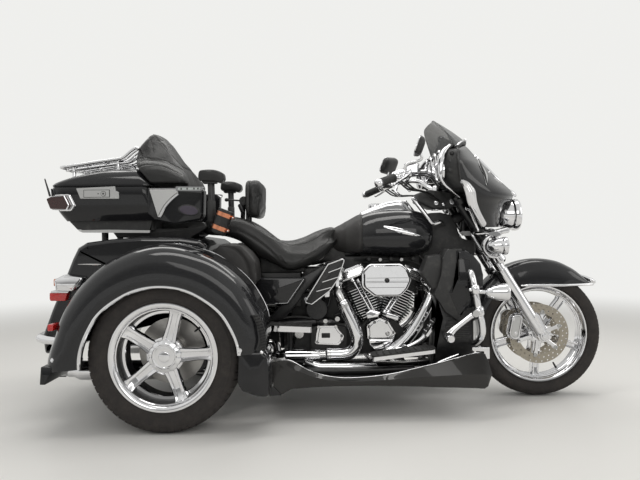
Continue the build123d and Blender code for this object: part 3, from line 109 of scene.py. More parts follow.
class Finish:
    # one material: node() adds any node, surface() ends it in the Principled shader

    def __init__(self, name, centre=(0, 0, 0)):
        self.material = bpy.data.materials.new(name)
        self.material.use_nodes = True
        self.tree = self.material.node_tree
        self.shader = self.tree.nodes["Principled BSDF"]
        where = self.node("ShaderNodeTexCoord", out="Object")
        self.spot = self.node("ShaderNodeMapping", sockets={
            "Vector": where, "Location": tuple(-c for c in centre)})

    def node(self, kind, settings=None, sockets=None, out=0):
        node = self.tree.nodes.new(kind)
        for key, item in (settings or {}).items():
            if key == "stops":
                stops = node.color_ramp.elements
                while len(stops) < len(item):
                    stops.new(1.0)
                for stop, (place, colour) in zip(stops, item):
                    stop.position = place
                    stop.color = (*colour, 1.0)
            else:
                setattr(node, key, item)
        for key, item in (sockets or {}).items():
            feed(self.tree, node.inputs[key], item)
        return Value(self.tree, node.outputs[out])

    def noise(self, scale, detail=2.0, roughness=0.5, at=None):
        return self.node("ShaderNodeTexNoise", sockets={
            "Vector": at or self.spot, "Scale": scale, "Detail": detail, "Roughness": roughness})

    def cells(self, scale, feature="F1", at=None):
        return self.node("ShaderNodeTexVoronoi", {"feature": feature}, {
            "Vector": at or self.spot, "Scale": scale}, out="Distance")

    def axes(self):
        parts = self.tree.nodes.new("ShaderNodeSeparateXYZ")
        feed(self.tree, parts.inputs[0], self.spot)
        return [Value(self.tree, socket) for socket in parts.outputs]

    def stretched(self, scale):
        return self.node("ShaderNodeMapping", sockets={"Vector": self.spot, "Scale": scale})

    def blend(self, share, first, second):
        node = self.tree.nodes.new("ShaderNodeMix")
        node.data_type = "RGBA"
        for key, item in ((0, share), (6, first), (7, second)):
            feed(self.tree, node.inputs[key], (*item, 1.0) if isinstance(item, tuple) else item)
        return Value(self.tree, node.outputs[2])

    def bump(self, height, strength, distance):
        return self.node("ShaderNodeBump", sockets={
            "Height": height, "Strength": strength, "Distance": distance})

    def surface(self, colour, roughness, normal=None, **fixed):
        for key, item in (("Base Color", colour), ("Roughness", roughness), ("Normal", normal)):
            if item is not None:
                feed(self.tree, self.shader.inputs[key], (*item, 1.0) if isinstance(item, tuple) else item)
        for key, item in fixed.items():
            words = key[0].upper() + "".join(" " + c if c.isupper() else c for c in key[1:])
            feed(self.tree, self.shader.inputs[words.replace("Ior", "IOR")], item)
        return self.material


def paintFinish(name, tone, flake, polish):
    f = Finish(name)
    specks = (f.noise(1400.0, 1.0) - 0.5).math("MAXIMUM", 0.0) * flake
    haze = f.noise(3.0, 4.0, 0.6)
    dust = (f.noise(90.0, 5.0, 0.7) - 0.55).math("MAXIMUM", 0.0) * 0.9
    colour = f.blend((specks + dust * 0.06).clamped(), tone, (0.34, 0.35, 0.37))
    peel = f.bump(f.noise(220.0, 1.0), 0.012, 0.001)
    return f.surface(colour, haze * 0.10 + dust * 0.25 + polish, peel, specularIorLevel=0.12, coatWeight=0.62,
                     coatRoughness=0.025, coatIor=1.5)


def metalFinish(name, tone, dull, rough, smudge, grain=None):
    f = Finish(name)
    film = f.noise(9.0, 5.0, 0.65)
    marks = (f.noise(60.0, 6.0, 0.7) - 0.5).math("MAXIMUM", 0.0)
    colour = f.blend((film * 0.5 + marks).clamped(), tone, dull)
    shape = f.noise(*grain[:2], at=f.stretched(grain[2])) if grain else marks
    normal = f.bump(shape, grain[3] if grain else 0.02, 0.001)
    return f.surface(colour, film * smudge + marks * 0.12 + rough, normal, metallic=1.0)


def leatherFinish(name, tone, worn, rough, creaseScale):
    f = Finish(name)
    grain = f.cells(620.0) * 0.6 + f.cells(1400.0) * 0.3
    folds = f.noise(creaseScale, 5.0, 0.55, at=f.stretched((1.0, 1.6, 0.7)))
    rub = (f.noise(7.0, 4.0, 0.6) - 0.45).math("MAXIMUM", 0.0) * 1.6
    colour = f.blend((rub * 0.55 + grain * 0.12).clamped(), tone, worn)
    normal = f.bump(grain * 0.5 + folds * 0.8, 0.22, 0.0012)
    return f.surface(colour, rough + grain * 0.12 - rub * 0.06, normal, specularIorLevel=0.36,
                     coatWeight=0.06, coatRoughness=0.3)


def plasticFinish(name, tone, rough, grainScale, depth):
    f = Finish(name)
    pits = f.cells(grainScale)
    dust = (f.noise(34.0, 6.0, 0.7) - 0.5).math("MAXIMUM", 0.0)
    colour = f.blend((dust * 0.9).clamped(), tone, (0.16, 0.155, 0.145))
    return f.surface(colour, rough + dust * 0.5, f.bump(pits, depth, 0.0008))


def rubberFinish(name, centre, ringLow, ringHigh):
    f = Finish(name, centre)
    x, y, z = f.axes()
    away = (x * x + z * z) ** 0.5
    rings = (away * 2100.0).math("SINE")
    band = ((away - ringLow) * 60.0).clamped() * ((ringHigh - away) * 60.0).clamped()
    dust = f.noise(22.0, 6.0, 0.7)
    grey = (dust - 0.42).math("MAXIMUM", 0.0) * 1.1
    colour = f.blend(grey.clamped(), (0.021, 0.018, 0.017), (0.085, 0.072, 0.063))
    normal = f.bump(rings * band * 0.35 + f.noise(260.0, 2.0) * 0.5, 0.25, 0.0009)
    return f.surface(colour, 0.62 + dust * 0.25, normal, specularIorLevel=0.4)


def brushedRound(name, centre, tone, dull, rough):
    f = Finish(name, centre)
    x, y, z = f.axes()
    away = (x * x + z * z) ** 0.5
    rings = (away * 5200.0 + f.noise(30.0, 3.0) * 6.0).math("SINE")
    stain = f.noise(26.0, 5.0, 0.65)
    colour = f.blend((stain * 0.9).clamped(), tone, dull)
    return f.surface(colour, rough + stain * 0.16, f.bump(rings, 0.06, 0.0006), metallic=1.0)


def glassFinish(name, tone, rough, alpha, coat=0.0):
    f = Finish(name)
    film = f.noise(12.0, 5.0, 0.6)
    return f.surface(f.blend(film * 0.4, tone, tuple(min(1.0, c * 1.6 + 0.02) for c in tone)),
                     rough + film * 0.06, f.bump(film, 0.01, 0.001), alpha=alpha, coatWeight=coat)


def lensFinish(name, tone, deep):
    f = Finish(name)
    x, y, z = f.axes()
    facets = (y * 900.0).math("SINE") * (z * 900.0).math("SINE")
    return f.surface(f.blend(facets * 0.25 + 0.3, tone, deep), 0.12 + f.noise(40.0) * 0.08,
                     f.bump(facets, 0.3, 0.0012), coatWeight=1.0, coatRoughness=0.04)


rearWheel = {"x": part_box("rear_right_tyre")[0].x / 2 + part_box("rear_right_tyre")[1].x / 2,
             "z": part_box("rear_right_tyre")[0].z / 2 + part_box("rear_right_tyre")[1].z / 2,
             "y": -(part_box("rear_right_tyre")[0].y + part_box("rear_right_tyre")[1].y) / 2}
frontWheel = {"x": (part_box("front_tyre")[0].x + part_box("front_tyre")[1].x) / 2,
              "z": (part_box("front_tyre")[0].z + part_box("front_tyre")[1].z) / 2, "y": 0.0}
rearCentre = (rearWheel["x"], 0, rearWheel["z"])
frontCentre = (frontWheel["x"], 0, frontWheel["z"])

paint = paintFinish("blackPaint", (0.009, 0.009, 0.010), 0.55, 0.08)
paintDeep = paintFinish("blackShellPaint", (0.007, 0.007, 0.008), 0.25, 0.12)
chrome = metalFinish("chrome", (0.80, 0.80, 0.815), (0.66, 0.66, 0.67), 0.035, 0.05)
chromeDull = metalFinish("chromeSatin", (0.62, 0.62, 0.62), (0.42, 0.41, 0.40), 0.16, 0.14)
castSilver = metalFinish("castAlloy", (0.55, 0.55, 0.54), (0.36, 0.36, 0.35), 0.30, 0.16,
                         grain=(240.0, 3.0, (1, 1, 1), 0.12))
brushed = metalFinish("brushedAlloy", (0.60, 0.60, 0.60), (0.44, 0.44, 0.43), 0.22, 0.10,
                      grain=(160.0, 4.0, (0.08, 1.0, 1.0), 0.10))
blackMetal = plasticFinish("blackCoating", (0.010, 0.010, 0.011), 0.34, 900.0, 0.10)
blackCrinkle = plasticFinish("crinkleBlack", (0.012, 0.012, 0.012), 0.46, 520.0, 0.35)
blackPlastic = plasticFinish("blackMoulding", (0.016, 0.016, 0.016), 0.50, 1100.0, 0.16)
rubberBlack = plasticFinish("gripRubber", (0.014, 0.014, 0.014), 0.62, 1500.0, 0.25)
leather = leatherFinish("seatLeather", (0.011, 0.011, 0.011), (0.05, 0.049, 0.047), 0.34, 26.0)
leatherSoft = leatherFinish("bibLeather", (0.015, 0.014, 0.014), (0.075, 0.072, 0.068), 0.46, 44.0)
thread = plasticFinish("seamThread", (0.020, 0.019, 0.018), 0.60, 1600.0, 0.2)
thread = plasticFinish("thread", (0.035, 0.034, 0.033), 0.8, 2400.0, 0.4)
rearRubber = rubberFinish("tyreRubberRear", rearCentre, 0.235, 0.305)
frontRubber = rubberFinish("tyreRubberFront", frontCentre, 0.250, 0.290)
frontRotor = brushedRound("rotorBronze", frontCentre, (0.47, 0.43, 0.36), (0.30, 0.27, 0.22), 0.26)
rearRotor = brushedRound("rotorSteel", rearCentre, (0.50, 0.49, 0.47), (0.30, 0.29, 0.28), 0.28)
smoke = glassFinish("smokeShield", (0.035, 0.038, 0.038), 0.04, 0.72, 0.6)
clearLens = glassFinish("clearLens", (0.82, 0.84, 0.85), 0.03, 0.30, 1.0)
redLens = lensFinish("redLens", (0.60, 0.012, 0.010), (0.30, 0.004, 0.004))
smokeLens = lensFinish("smokedLens", (0.045, 0.012, 0.010), (0.012, 0.006, 0.006))
amberLens = lensFinish("amberLens", (0.62, 0.16, 0.02), (0.35, 0.07, 0.01))
copper = metalFinish("copperBand", (0.72, 0.30, 0.17), (0.50, 0.19, 0.11), 0.24, 0.12)
mirrorGlass = metalFinish("mirrorGlass", (0.90, 0.91, 0.92), (0.88, 0.89, 0.90), 0.015, 0.01)
dialWhite = plasticFinish("dialFace", (0.010, 0.010, 0.011), 0.30, 600.0, 0.02)
silverPaint = metalFinish("silverPaint", (0.60, 0.60, 0.595), (0.50, 0.50, 0.49), 0.30, 0.10)
print("finishes ready")


# mesh building
class Shape:
    # gathers closed forms in one mesh, then makes it a piece

    def __init__(self, *materials):
        self.bm = bmesh.new()
        self.materials = materials

    def face(self, corners, slot):
        made = self.bm.faces.new(corners)
        made.material_index = slot
        return made

    def skin(self, rings, slot=0, loop=False, caps=(True, True), closed=True):
        rows = [[self.bm.verts.new(p) for p in ring] for ring in rings]
        around = len(rings[0])
        for i in range(len(rows) if loop else len(rows) - 1):
            here, there = rows[i], rows[(i + 1) % len(rows)]
            for j in range(around if closed else around - 1):
                k = (j + 1) % around
                self.face((here[j], here[k], there[k], there[j]), slot)
        for wanted, row in zip(caps, (rows[0], rows[-1])):
            if wanted and not loop:
                self.face(row, slot)
        return self

    def lathe(self, profile, centre, axis="Y", sides=96, slot=0, ring=False, wave=None):
        # profile is (radius, offset along the axis); wave scales the radius by angle
        rows = []
        for i in range(sides):
            turn = 2 * math.pi * i / sides
            row = []
            for radius, along in profile:
                r = radius * (wave(turn, radius) if wave else 1.0)
                u, v = r * math.cos(turn), r * math.sin(turn)
                step = {"Y": (u, along, v), "X": (along, u, v), "Z": (u, v, along)}[axis]
                row.append(Vector(centre) + Vector(step))
            rows.append(row)
        return self.skin(rows, slot, loop=True, closed=ring)

    def prism(self, outline, low, high, slot=0, across="Y"):
        # an outline of (x, z) points drawn across Y, or (x, y) points drawn up Z
        place = {"Y": lambda p, t: (p[0], t, p[1]), "Z": lambda p, t: (p[0], p[1], t),
                 "X": lambda p, t: (t, p[0], p[1])}[across]
        return self.skin([[place(p, low) for p in outline], [place(p, high) for p in outline]], slot)

    def tube(self, points, radius, sides=14, slot=0, squeeze=1.0, dome=True):
        points = [Vector(p) for p in points]
        count = len(points)
        sizes = radius if isinstance(radius, (list, tuple)) else [radius] * count
        tangents = [(points[min(i + 1, count - 1)] - points[max(i - 1, 0)]).normalized() for i
                    in range(count)]
        side = tangents[0].orthogonal().normalized()
        if abs(tangents[0].y) < 0.9:
            side = tangents[0].cross(Vector((0, 1, 0))).normalized()
        rings = []
        for i, (point, along, size) in enumerate(zip(points, tangents, sizes)):
            side = (side - along * side.dot(along)).normalized()
            other = along.cross(side)
            shares = [(0.0, 1.0)]
            if dome and i == 0:
                shares = [(-0.5, 0.25), (-0.36, 0.72), (0.0, 1.0)]
            if dome and i == count - 1:
                shares = [(0.0, 1.0), (0.36, 0.72), (0.5, 0.25)]
            for push, scale in shares:
                rings.append([point + along * push * size + size * scale * (
                    side * math.cos(a) * squeeze + other * math.sin(a))
                    for a in np.linspace(0, 2 * math.pi, sides, endpoint=False)])
        return self.skin(rings, slot)

    def box(self, centre, size, slot=0, turn=None):
        x, y, z = (s / 2 for s in size)
        rows = [[Vector(p) for p in ((-x, -y, h), (x, -y, h), (x, y, h), (-x, y, h))] for h in (-z, z)]
        spin = turn or Matrix.Identity(3)
        return self.skin([[spin @ p + Vector(centre) for p in row] for row in rows], slot)

    def piece(self, name, body, stands=(), slotName=None, sharp=34, bevel=None, levels=0, smooth=True):
        bmesh.ops.remove_doubles(self.bm, verts=self.bm.verts[:], dist=mergeGap)
        bmesh.ops.dissolve_degenerate(self.bm, edges=self.bm.edges[:], dist=mergeGap)
        bmesh.ops.recalc_face_normals(self.bm, faces=self.bm.faces[:])
        limit = math.radians(sharp)
        for edge in self.bm.edges:
            edge.smooth = not (len(edge.link_faces) == 2 and edge.calc_face_angle(0.0) > limit)
        for face in self.bm.faces:
            face.smooth = smooth
        mesh = bpy.data.meshes.new(name)
        self.bm.to_mesh(mesh)
        self.bm.free()
        for material in self.materials:
            mesh.materials.append(material)
        thing = bpy.data.objects.new(name, mesh)
        scene.collection.objects.link(thing)
        if bevel:
            cut = thing.modifiers.new("edge", "BEVEL")
            cut.width, cut.segments, cut.limit_method, cut.angle_limit = bevel, 3, "ANGLE", math.radians(40)
            cut.harden_normals = True
        if levels:
            rounder = thing.modifiers.new("rounder", "SUBSURF")
            rounder.levels = rounder.render_levels = levels
        return settle(thing, body, stands)


def settle(thing, body, stands=()):
    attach(thing, body)
    if stands:
        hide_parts(*stands)
    return thing


def cornerPoints(start, here, end, steps):
    # a round bend from start to end, with its corner at here
    parts = [k / steps for k in range(steps + 1)]
    return [start * (1 - t) ** 2 + here * 2 * t * (1 - t) + end * t ** 2 for t in parts]


def curvePoints(a, b, c, d, steps):
    # a smooth run from b up to, but not at, c; a and d are the points before and after them
    return [0.5 * (2 * b + (c - a) * t + (2 * a - 5 * b + 4 * c - d) * t * t + (3 * b - a - 3 * c + d)
                   * t ** 3)
            for t in (k / steps for k in range(steps))]


def rounded(points, radius, steps=5):
    # a closed outline with its corners as arcs; radius is one number or one for each corner
    out = []
    count = len(points)
    sizes = radius if isinstance(radius, (list, tuple)) else [radius] * count
    for i, size in enumerate(sizes):
        here = Vector(points[i])
        before, after = Vector(points[i - 1]) - here, Vector(points[(i + 1) % count]) - here
        turn = before.angle(after)
        reach = min(size / math.tan(turn / 2), before.length * 0.48, after.length * 0.48)
        start, end = here + before.normalized() * reach, here + after.normalized() * reach
        out.extend(cornerPoints(start, here, end, steps))
    return out


def bent(points, radius, steps=8):
    # an open path of straight runs joined by round bends
    points = [Vector(p) for p in points]
    out = [points[0]]
    for before, here, after in zip(points, points[1:], points[2:]):
        back, ahead = before - here, after - here
        bend = math.pi - back.angle(ahead)
        reach = min(radius * math.tan(bend / 2), back.length * 0.48, ahead.length * 0.48)
        start, end = here + back.normalized() * reach, here + ahead.normalized() * reach
        out.extend(cornerPoints(start, here, end, steps))
    return out + [points[-1]]


def flowing(points, steps=8):
    # a smooth path through the points
    points = [Vector(p) for p in points]
    ends = [points[0] * 2 - points[1], *points, points[-1] * 2 - points[-2]]
    out = []
    for a, b, c, d in zip(ends, ends[1:], ends[2:], ends[3:]):
        out.extend(curvePoints(a, b, c, d, steps))
    return out + [points[-1]]


def soft(points, low, high, edge, slot, shape, radius=0.008, steps=4, sign=1):
    # a slab across Y with rounded outline and eased rims: points are (x, z)
    outline = rounded(points, radius, steps)
    count = len(outline)
    middle = Vector((sum(p[0] for p in outline) / count, sum(p[1] for p in outline) / count))

    def drawn(amount):
        out = []
        for i, p in enumerate(outline):
            along = (outline[(i + 1) % count] - outline[i - 1]).normalized()
            inward = Vector((-along.y, along.x))
            if inward.dot(middle - p) < 0:
                inward = -inward
            out.append(p + inward * amount)
        return out

    rows = [(low, edge), (low + edge * 0.3, edge * 0.3), (low + edge, 0), (high - edge, 0),
            (high - edge * 0.3, edge * 0.3), (high, edge)]
    shape.skin([[(p.x, sign * y, p.y) for p in drawn(amount)] for y, amount in rows], slot)


def reading(table, at):
    # a value read off a short table of (place, value) rows
    places = [row[0] for row in table]
    return float(np.interp(at, places, [row[1] for row in table]))


def easy(table, at):
    # the same with soft bends between the rows
    for (a, low), (b, high) in zip(table, table[1:]):
        if at <= b:
            t = min(1.0, max(0.0, (at - a) / (b - a)))
            return low + (high - low) * t * t * (3 - 2 * t)
    return table[-1][1]


def columns(table, at):
    # a row of the table read between its rows along a soft curve, by its first column
    places = [row[0] for row in table]
    i = min(max(1, int(np.searchsorted(places, at))), len(table) - 1)
    rows = [table[max(0, min(len(table) - 1, i + k))] for k in (-2, -1, 0, 1)]
    t = (at - rows[1][0]) / max(1e-9, rows[2][0] - rows[1][0])
    return [0.5 * (2 * b + (c - a) * t + (2 * a - 5 * b + 4 * c - d) * t * t + (3 * b - a - 3 * c + d)
                   * t ** 3)
            for a, b, c, d in zip(*(row[1:] for row in rows))]


# stage: floor, camera, lamps and sky
stageLook = {"floorReach": 26.0, "clearRadius": 3.2, "fadeRadius": 6.5, "floorTone": (0.80, 0.79, 0.765),
             "skyTone": (0.865, 0.865, 0.845), "skyLight": 0.62,
             "wallGloss": 0.30, "endGloss": 0.45, "roofGloss": 0.85}
cameraLook = {"place": (-0.053, -3.3, 0.83), "lens": 36.0, "downDegrees": 0.45, "rollDegrees": -0.55}


def makeStage():
    reach = stageLook["floorReach"]
    mesh = bpy.data.meshes.new("floor")
    mesh.from_pydata([(-reach, -reach, 0), (reach, -reach, 0), (reach, reach, 0), (-reach, reach, 0)], [],
                     [(0, 1, 2, 3)])
    floor = bpy.data.objects.new("floor", mesh)
    scene.collection.objects.link(floor)
    f = Finish("paleFloor")
    x, y, z = f.axes()
    away = (x * x + y * y) ** 0.5
    span = stageLook["fadeRadius"] - stageLook["clearRadius"]
    fade = ((away - stageLook["clearRadius"]) / span).clamped()
    f.surface(f.blend(f.noise(1.4, 4.0) * 0.3, stageLook["floorTone"], (0.76, 0.75, 0.73)), 0.42,
              specularIorLevel=0.3)
    glow = f.tree.nodes.new("ShaderNodeEmission")
    glow.inputs["Color"].default_value = (*stageLook["skyTone"], 1)
    mixer = f.tree.nodes.new("ShaderNodeMixShader")
    feed(f.tree, mixer.inputs[0], fade * fade * (3.0 - fade * 2.0))
    f.tree.links.new(f.shader.outputs[0], mixer.inputs[1])
    f.tree.links.new(glow.outputs[0], mixer.inputs[2])
    f.tree.links.new(mixer.outputs[0], f.tree.nodes["Material Output"].inputs["Surface"])
    mesh.materials.append(f.material)

    world = bpy.data.worlds.new("sky")
    scene.world = world
    world.use_nodes = True
    tree = world.node_tree
    path = tree.nodes.new("ShaderNodeLightPath")
    shown = (Value(tree, path.outputs["Is Camera Ray"])
             + Value(tree, path.outputs["Is Transmission Ray"])).clamped()
    mirrored = Value(tree, path.outputs["Is Glossy Ray"])
    heading = tree.nodes.new("ShaderNodeTexCoord")
    parts = tree.nodes.new("ShaderNodeSeparateXYZ")
    tree.links.new(heading.outputs["Generated"], parts.inputs[0])
    x, y, z = (Value(tree, socket) for socket in parts.outputs)
    ends = ((x.math("ABSOLUTE") - 0.35) * 2.2).clamped()
    roof = ((z - 0.10) * 2.4).clamped()
    low, high = stageLook["wallGloss"], stageLook["roofGloss"]
    gloss = (ends * stageLook["endGloss"] + roof * (high - low) + low).clamped()
    back = tree.nodes["Background"]
    back.inputs["Color"].default_value = (*stageLook["skyTone"], 1)
    plain = (1.0 - shown) * (1.0 - mirrored) * stageLook["skyLight"]
    feed(tree, back.inputs["Strength"], shown + (1.0 - shown) * mirrored * gloss + plain)


def areaLamp(name, place, aim, size, power, tone=(1.0, 0.985, 0.96)):
    lamp = bpy.data.lights.new(name, "AREA")
    lamp.shape, lamp.size, lamp.size_y, lamp.energy, lamp.color = "RECTANGLE", size[0], size[1], power, tone
    thing = bpy.data.objects.new(name, lamp)
    thing.location = place
    thing.rotation_euler = (Vector(aim) - Vector(place)).to_track_quat("-Z", "Y").to_euler()
    scene.collection.objects.link(thing)


def makeCamera():
    lens = bpy.data.cameras.new("camera")
    lens.lens, lens.sensor_width = cameraLook["lens"], 36.0
    eye = bpy.data.objects.new("camera", lens)
    eye.location = cameraLook["place"]
    level = Matrix.Rotation(math.radians(90 - cameraLook["downDegrees"]), 4, "X")
    roll = Matrix.Rotation(math.radians(cameraLook["rollDegrees"]), 4, "Z")
    eye.rotation_euler = (level @ roll).to_euler()
    scene.collection.objects.link(eye)
    scene.camera = eye
    scene.view_settings.view_transform = "Standard"


makeStage()
makeCamera()
areaLamp("overhead", (0.2, -0.4, 3.4), (0, 0, 0), (4.2, 0.7), 46)
areaLamp("overheadRear", (-0.4, 1.6, 3.2), (0, 0, 0.3), (4.2, 0.7), 30)
areaLamp("cameraFill", (0.4, -4.6, 2.3), (0, 0, 0.5), (3.5, 1.6), 34)
areaLamp("frontSide", (4.2, -1.0, 2.2), (0.4, 0, 0.6), (1.6, 2.0), 16)
print("stage ready")


# chrome fork legs below, black tubes and clamps above the height where the covers begin
def forkFinish(name, turnHeight):
    f = Finish(name)
    x, y, z = f.axes()
    film = f.noise(9.0, 5.0, 0.65)
    upper = ((z - turnHeight) * 400.0).clamped()
    colour = f.blend(upper, f.blend(film * 0.5, (0.80, 0.80, 0.815), (0.66, 0.66, 0.67)),
                     (0.010, 0.010, 0.011))
    return f.surface(colour, film * 0.05 + upper * 0.22 + 0.035, f.bump(film, 0.01, 0.001),
                     metallic=1.0 - upper)


forkTwoTone = forkFinish("forkTwoTone", 0.715)

# solids that keep their own mesh get their finish here
nodeFinish = {
    "frame": blackMetal, "rear_axle": blackMetal, "engine_case": blackCrinkle, "cylinders": blackCrinkle,
    "engine_covers": chrome, "air_cleaner": chrome, "exhaust": chrome, "tank_console": chrome,
    "rear_bumper": chrome, "luggage_rack": chrome, "engine_guard": chrome, "handlebar": chrome,
    "headlamp": chrome, "passing_lamps": chrome, "fork": forkTwoTone, "footboards": chrome,
                 "foot_levers": chrome,
    "tail_lamps": chrome, "mirrors": chrome, "front_rim": chrome, "rear_right_rim": chrome,
    "rear_left_rim": chrome, "front_discs": frontRotor, "rear_disc_right": rearRotor,
                 "rear_disc_left": rearRotor,
    "front_calipers": castSilver, "fuel_tank": paint, "rear_fender_right": paint, "rear_fender_left": paint,
    "front_fender": paint, "side_covers": paint, "fairing_outer": paintDeep, "trunk_body": paintDeep,
    "trunk_door": paintDeep, "travel_box_base": paintDeep, "travel_box_lid": paintDeep,
    "lower_fairings": paintDeep, "side_skirts": paintDeep, "armrest_posts": blackMetal,
                 "mud_flaps": blackPlastic,
    "fairing_inner": blackPlastic, "travel_box_mount": blackPlastic, "cup_holder": blackPlastic,
    "seat": leather, "rider_backrest": leather, "passenger_backrest": leather, "armrests": leather,
    "side_pouches": leatherSoft, "windshield": smoke, "front_tyre": frontRubber,
                 "rear_right_tyre": rearRubber,
    "rear_left_tyre": rearRubber}
for nodeName, finish in nodeFinish.items():
    slots = bpy.data.objects[nodeName].data.materials
    for i in range(max(1, len(slots))):
        if i < len(slots):
            slots[i] = finish
        else:
            slots.append(finish)
print("solids finished")


# wheels
rearTyreLook = {"pitches": 62, "shear": 0.0, "depth": 0.0048,
                "steps": ((0.0, 0), (0.82, 0), (0.85, 1), (0.97, 1)),
                "wall": [(0.214, 0.084), (0.226, 0.093), (0.238, 0.0975), (0.2385, 0.0985), (0.243, 0.0995),
                         (0.2435, 0.0985), (0.256, 0.1008), (0.272, 0.1022), (0.286, 0.1022),
                         (0.2865, 0.1012), (0.296, 0.0998)],
                "shoulder": [(0.304, 0.0975), (0.310, 0.0945), (0.3155, 0.0885), (0.3195, 0.0800)],
                "crown": [(0.0, 0.3240), (0.030, 0.3237), (0.055, 0.3225), (0.080, 0.3195)],
                "grooves": (0.058, 0.020), "grooveWide": 0.009, "grooveDeep": 0.0075}
frontTyreLook = {"pitches": 44, "shear": 5.5, "depth": 0.0050,
                 "steps": ((0.0, 0), (0.66, 0), (0.72, 1), (0.95, 1)),
                 "wall": [(0.234, 0.044), (0.243, 0.0525), (0.254, 0.0580), (0.2545, 0.0590), (0.258, 0.0600),
                          (0.2585, 0.0592), (0.270, 0.0632), (0.283, 0.0648), (0.292, 0.0640)],
                 "shoulder": [(0.300, 0.0610), (0.306, 0.0560), (0.3115, 0.0475)],
                 "crown": [(0.0, 0.3200), (0.014, 0.3194), (0.030, 0.3170), (0.0475, 0.3115)],
                 "grooves": (0.016,), "grooveWide": 0.005, "grooveDeep": 0.0045}


def tyreOutline(look):
    # rows of radius, offset and how deep a cross groove cuts there
    half = [(r, y, 0.0) for r, y in look["wall"]]
    half += [(r, y, min(1.0, 0.35 + 0.3 * i)) for i, (r, y) in enumerate(look["shoulder"])]
    w, deep = look["grooveWide"] / 2, look["grooveDeep"]
    edge = look["grooves"][0] + w
    for y in look["grooves"]:
        for at, dip, lug in ((y + w, 0, 1), (y + w - 0.001, deep, 0), (y - w + 0.001, deep, 0),
                             (y - w, 0, 0.55)):
            half.append((reading(look["crown"], at) - dip, at, lug if at >= edge - 0.0001 else 0.0))
    half.append((look["crown"][0][1], 0.0, 0.0))
    outer = half + [(r, -y, lug) for r, y, lug in reversed(half[:-1])]
    inner = [(half[0][0] - 0.003, -half[0][1] + 0.006), (half[-1][0] - 0.02, -half[-8][1] + 0.012),
             (half[-1][0] - 0.02, half[-8][1] - 0.012), (half[0][0] - 0.003, half[0][1] - 0.006)]
    return outer + [(r, y, 0.0) for r, y in inner]


def makeTyre(name, node, body, wheel, side, look, rubber):
    outline = tyreOutline(look)
    shape = Shape(rubber)
    rows = []
    for i in range(look["pitches"]):
        for share, cut in look["steps"]:
            row = []
            for r, y, lug in outline:
                turn = 2 * math.pi * (i + share) / look["pitches"] + look["shear"] * abs(y) * (lug > 0)
                size = r - cut * lug * look["depth"]
                row.append((wheel["x"] + size * math.cos(turn), side * wheel["y"] + y,
                            wheel["z"] + size * math.sin(turn)))
            rows.append(row)
    shape.skin(rows, loop=True)
    return shape.piece(name, body, (node,), "tyre", sharp=38)


rearRimLook = {"lip": [(0.2285, 0.0935), (0.2312, 0.0970), (0.2290, 0.1005), (0.2225, 0.1015),
                       (0.2130, 0.0990), (0.2060, 0.0925), (0.2035, 0.0865), (0.1990, 0.0850),
                       (0.1968, 0.0770), (0.2005, 0.0725), (0.2080, 0.0800), (0.2160, 0.0880)],
               "barrel": [(0.2000, 0.0750), (0.1945, 0.0700), (0.1905, 0.0400), (0.1890, -0.0200),
                          (0.1890, -0.0850), (0.2030, -0.0980), (0.2290, -0.1000), (0.2305, -0.0920),
                          (0.2140, -0.0850), (0.2030, 0.0000), (0.2060, 0.0720)],
               "ring": [(0.1905, 0.0300), (0.1790, 0.0280), (0.1760, 0.0240), (0.1790, 0.0200),
                        (0.1900, 0.0180)],
               "cap": [(0.0, 0.0800), (0.0200, 0.0798), (0.0225, 0.0785), (0.0240, 0.0768), (0.0300, 0.0772),
                       (0.0440, 0.0765), (0.0465, 0.0788), (0.0500, 0.0790), (0.0525, 0.0765),
                       (0.0560, 0.0752), (0.0640, 0.0725), (0.0690, 0.0690), (0.0710, 0.0640),
                       (0.0700, 0.0520), (0.0, 0.0520)],
               "hub": [(0.0, 0.0600), (0.0740, 0.0590), (0.0790, 0.0560), (0.0800, 0.0330), (0.0, 0.0300)],
               "spoke": [(0.066, 0.062, 0.0660, 0.0070), (0.095, 0.056, 0.0655, 0.0078),
                         (0.140, 0.051, 0.0665, 0.0078), (0.175, 0.052, 0.0705, 0.0070),
                         (0.192, 0.060, 0.0765, 0.0045), (0.201, 0.070, 0.0815, 0.002)],
               "spokeThick": 0.034, "spokes": 5, "firstDegrees": 3.0, "scallops": 10}
frontRimLook = {"half": [(0.2440, 0.0530), (0.2462, 0.0570), (0.2430, 0.0600), (0.2375, 0.0590),
                         (0.2325, 0.0545), (0.2290, 0.0480), (0.2262, 0.0455), (0.2240, 0.0380),
                         (0.2205, 0.0360), (0.2195, 0.0270), (0.2165, 0.0255), (0.2155, 0.0160),
                         (0.2130, 0.0145), (0.2125, 0.0)],
                "seat": [(0.2360, 0.0460), (0.2300, 0.0300), (0.2290, 0.0)],
                "hub": [(0.0, 0.0550), (0.030, 0.0550), (0.036, 0.0530), (0.042, 0.0500), (0.046, 0.0400),
                        (0.047, 0.0300)],
                "spoke": [(0.040, 0.050, 0.0330, 0.003), (0.080, 0.044, 0.0290, 0.005),
                          (0.150, 0.038, 0.0260, 0.006), (0.200, 0.037, 0.0265, 0.005),
                          (0.216, 0.046, 0.0290, 0.002)],
                "spokes": 5, "firstDegrees": -92.0}


def spokeRing(width, face, dip):
    w = width / 2
    lip = min(0.005, w * 0.2)
    front = [(-w, face - 0.006), (-w + 0.0025, face - 0.0015), (-w + lip, face), (-w * 0.50, face - 0.001),
             (-w * 0.36, face - dip), (w * 0.36, face - dip), (w * 0.50, face - 0.001), (w - lip, face),
             (w - 0.0025, face - 0.0015), (w, face - 0.006)]
    return front


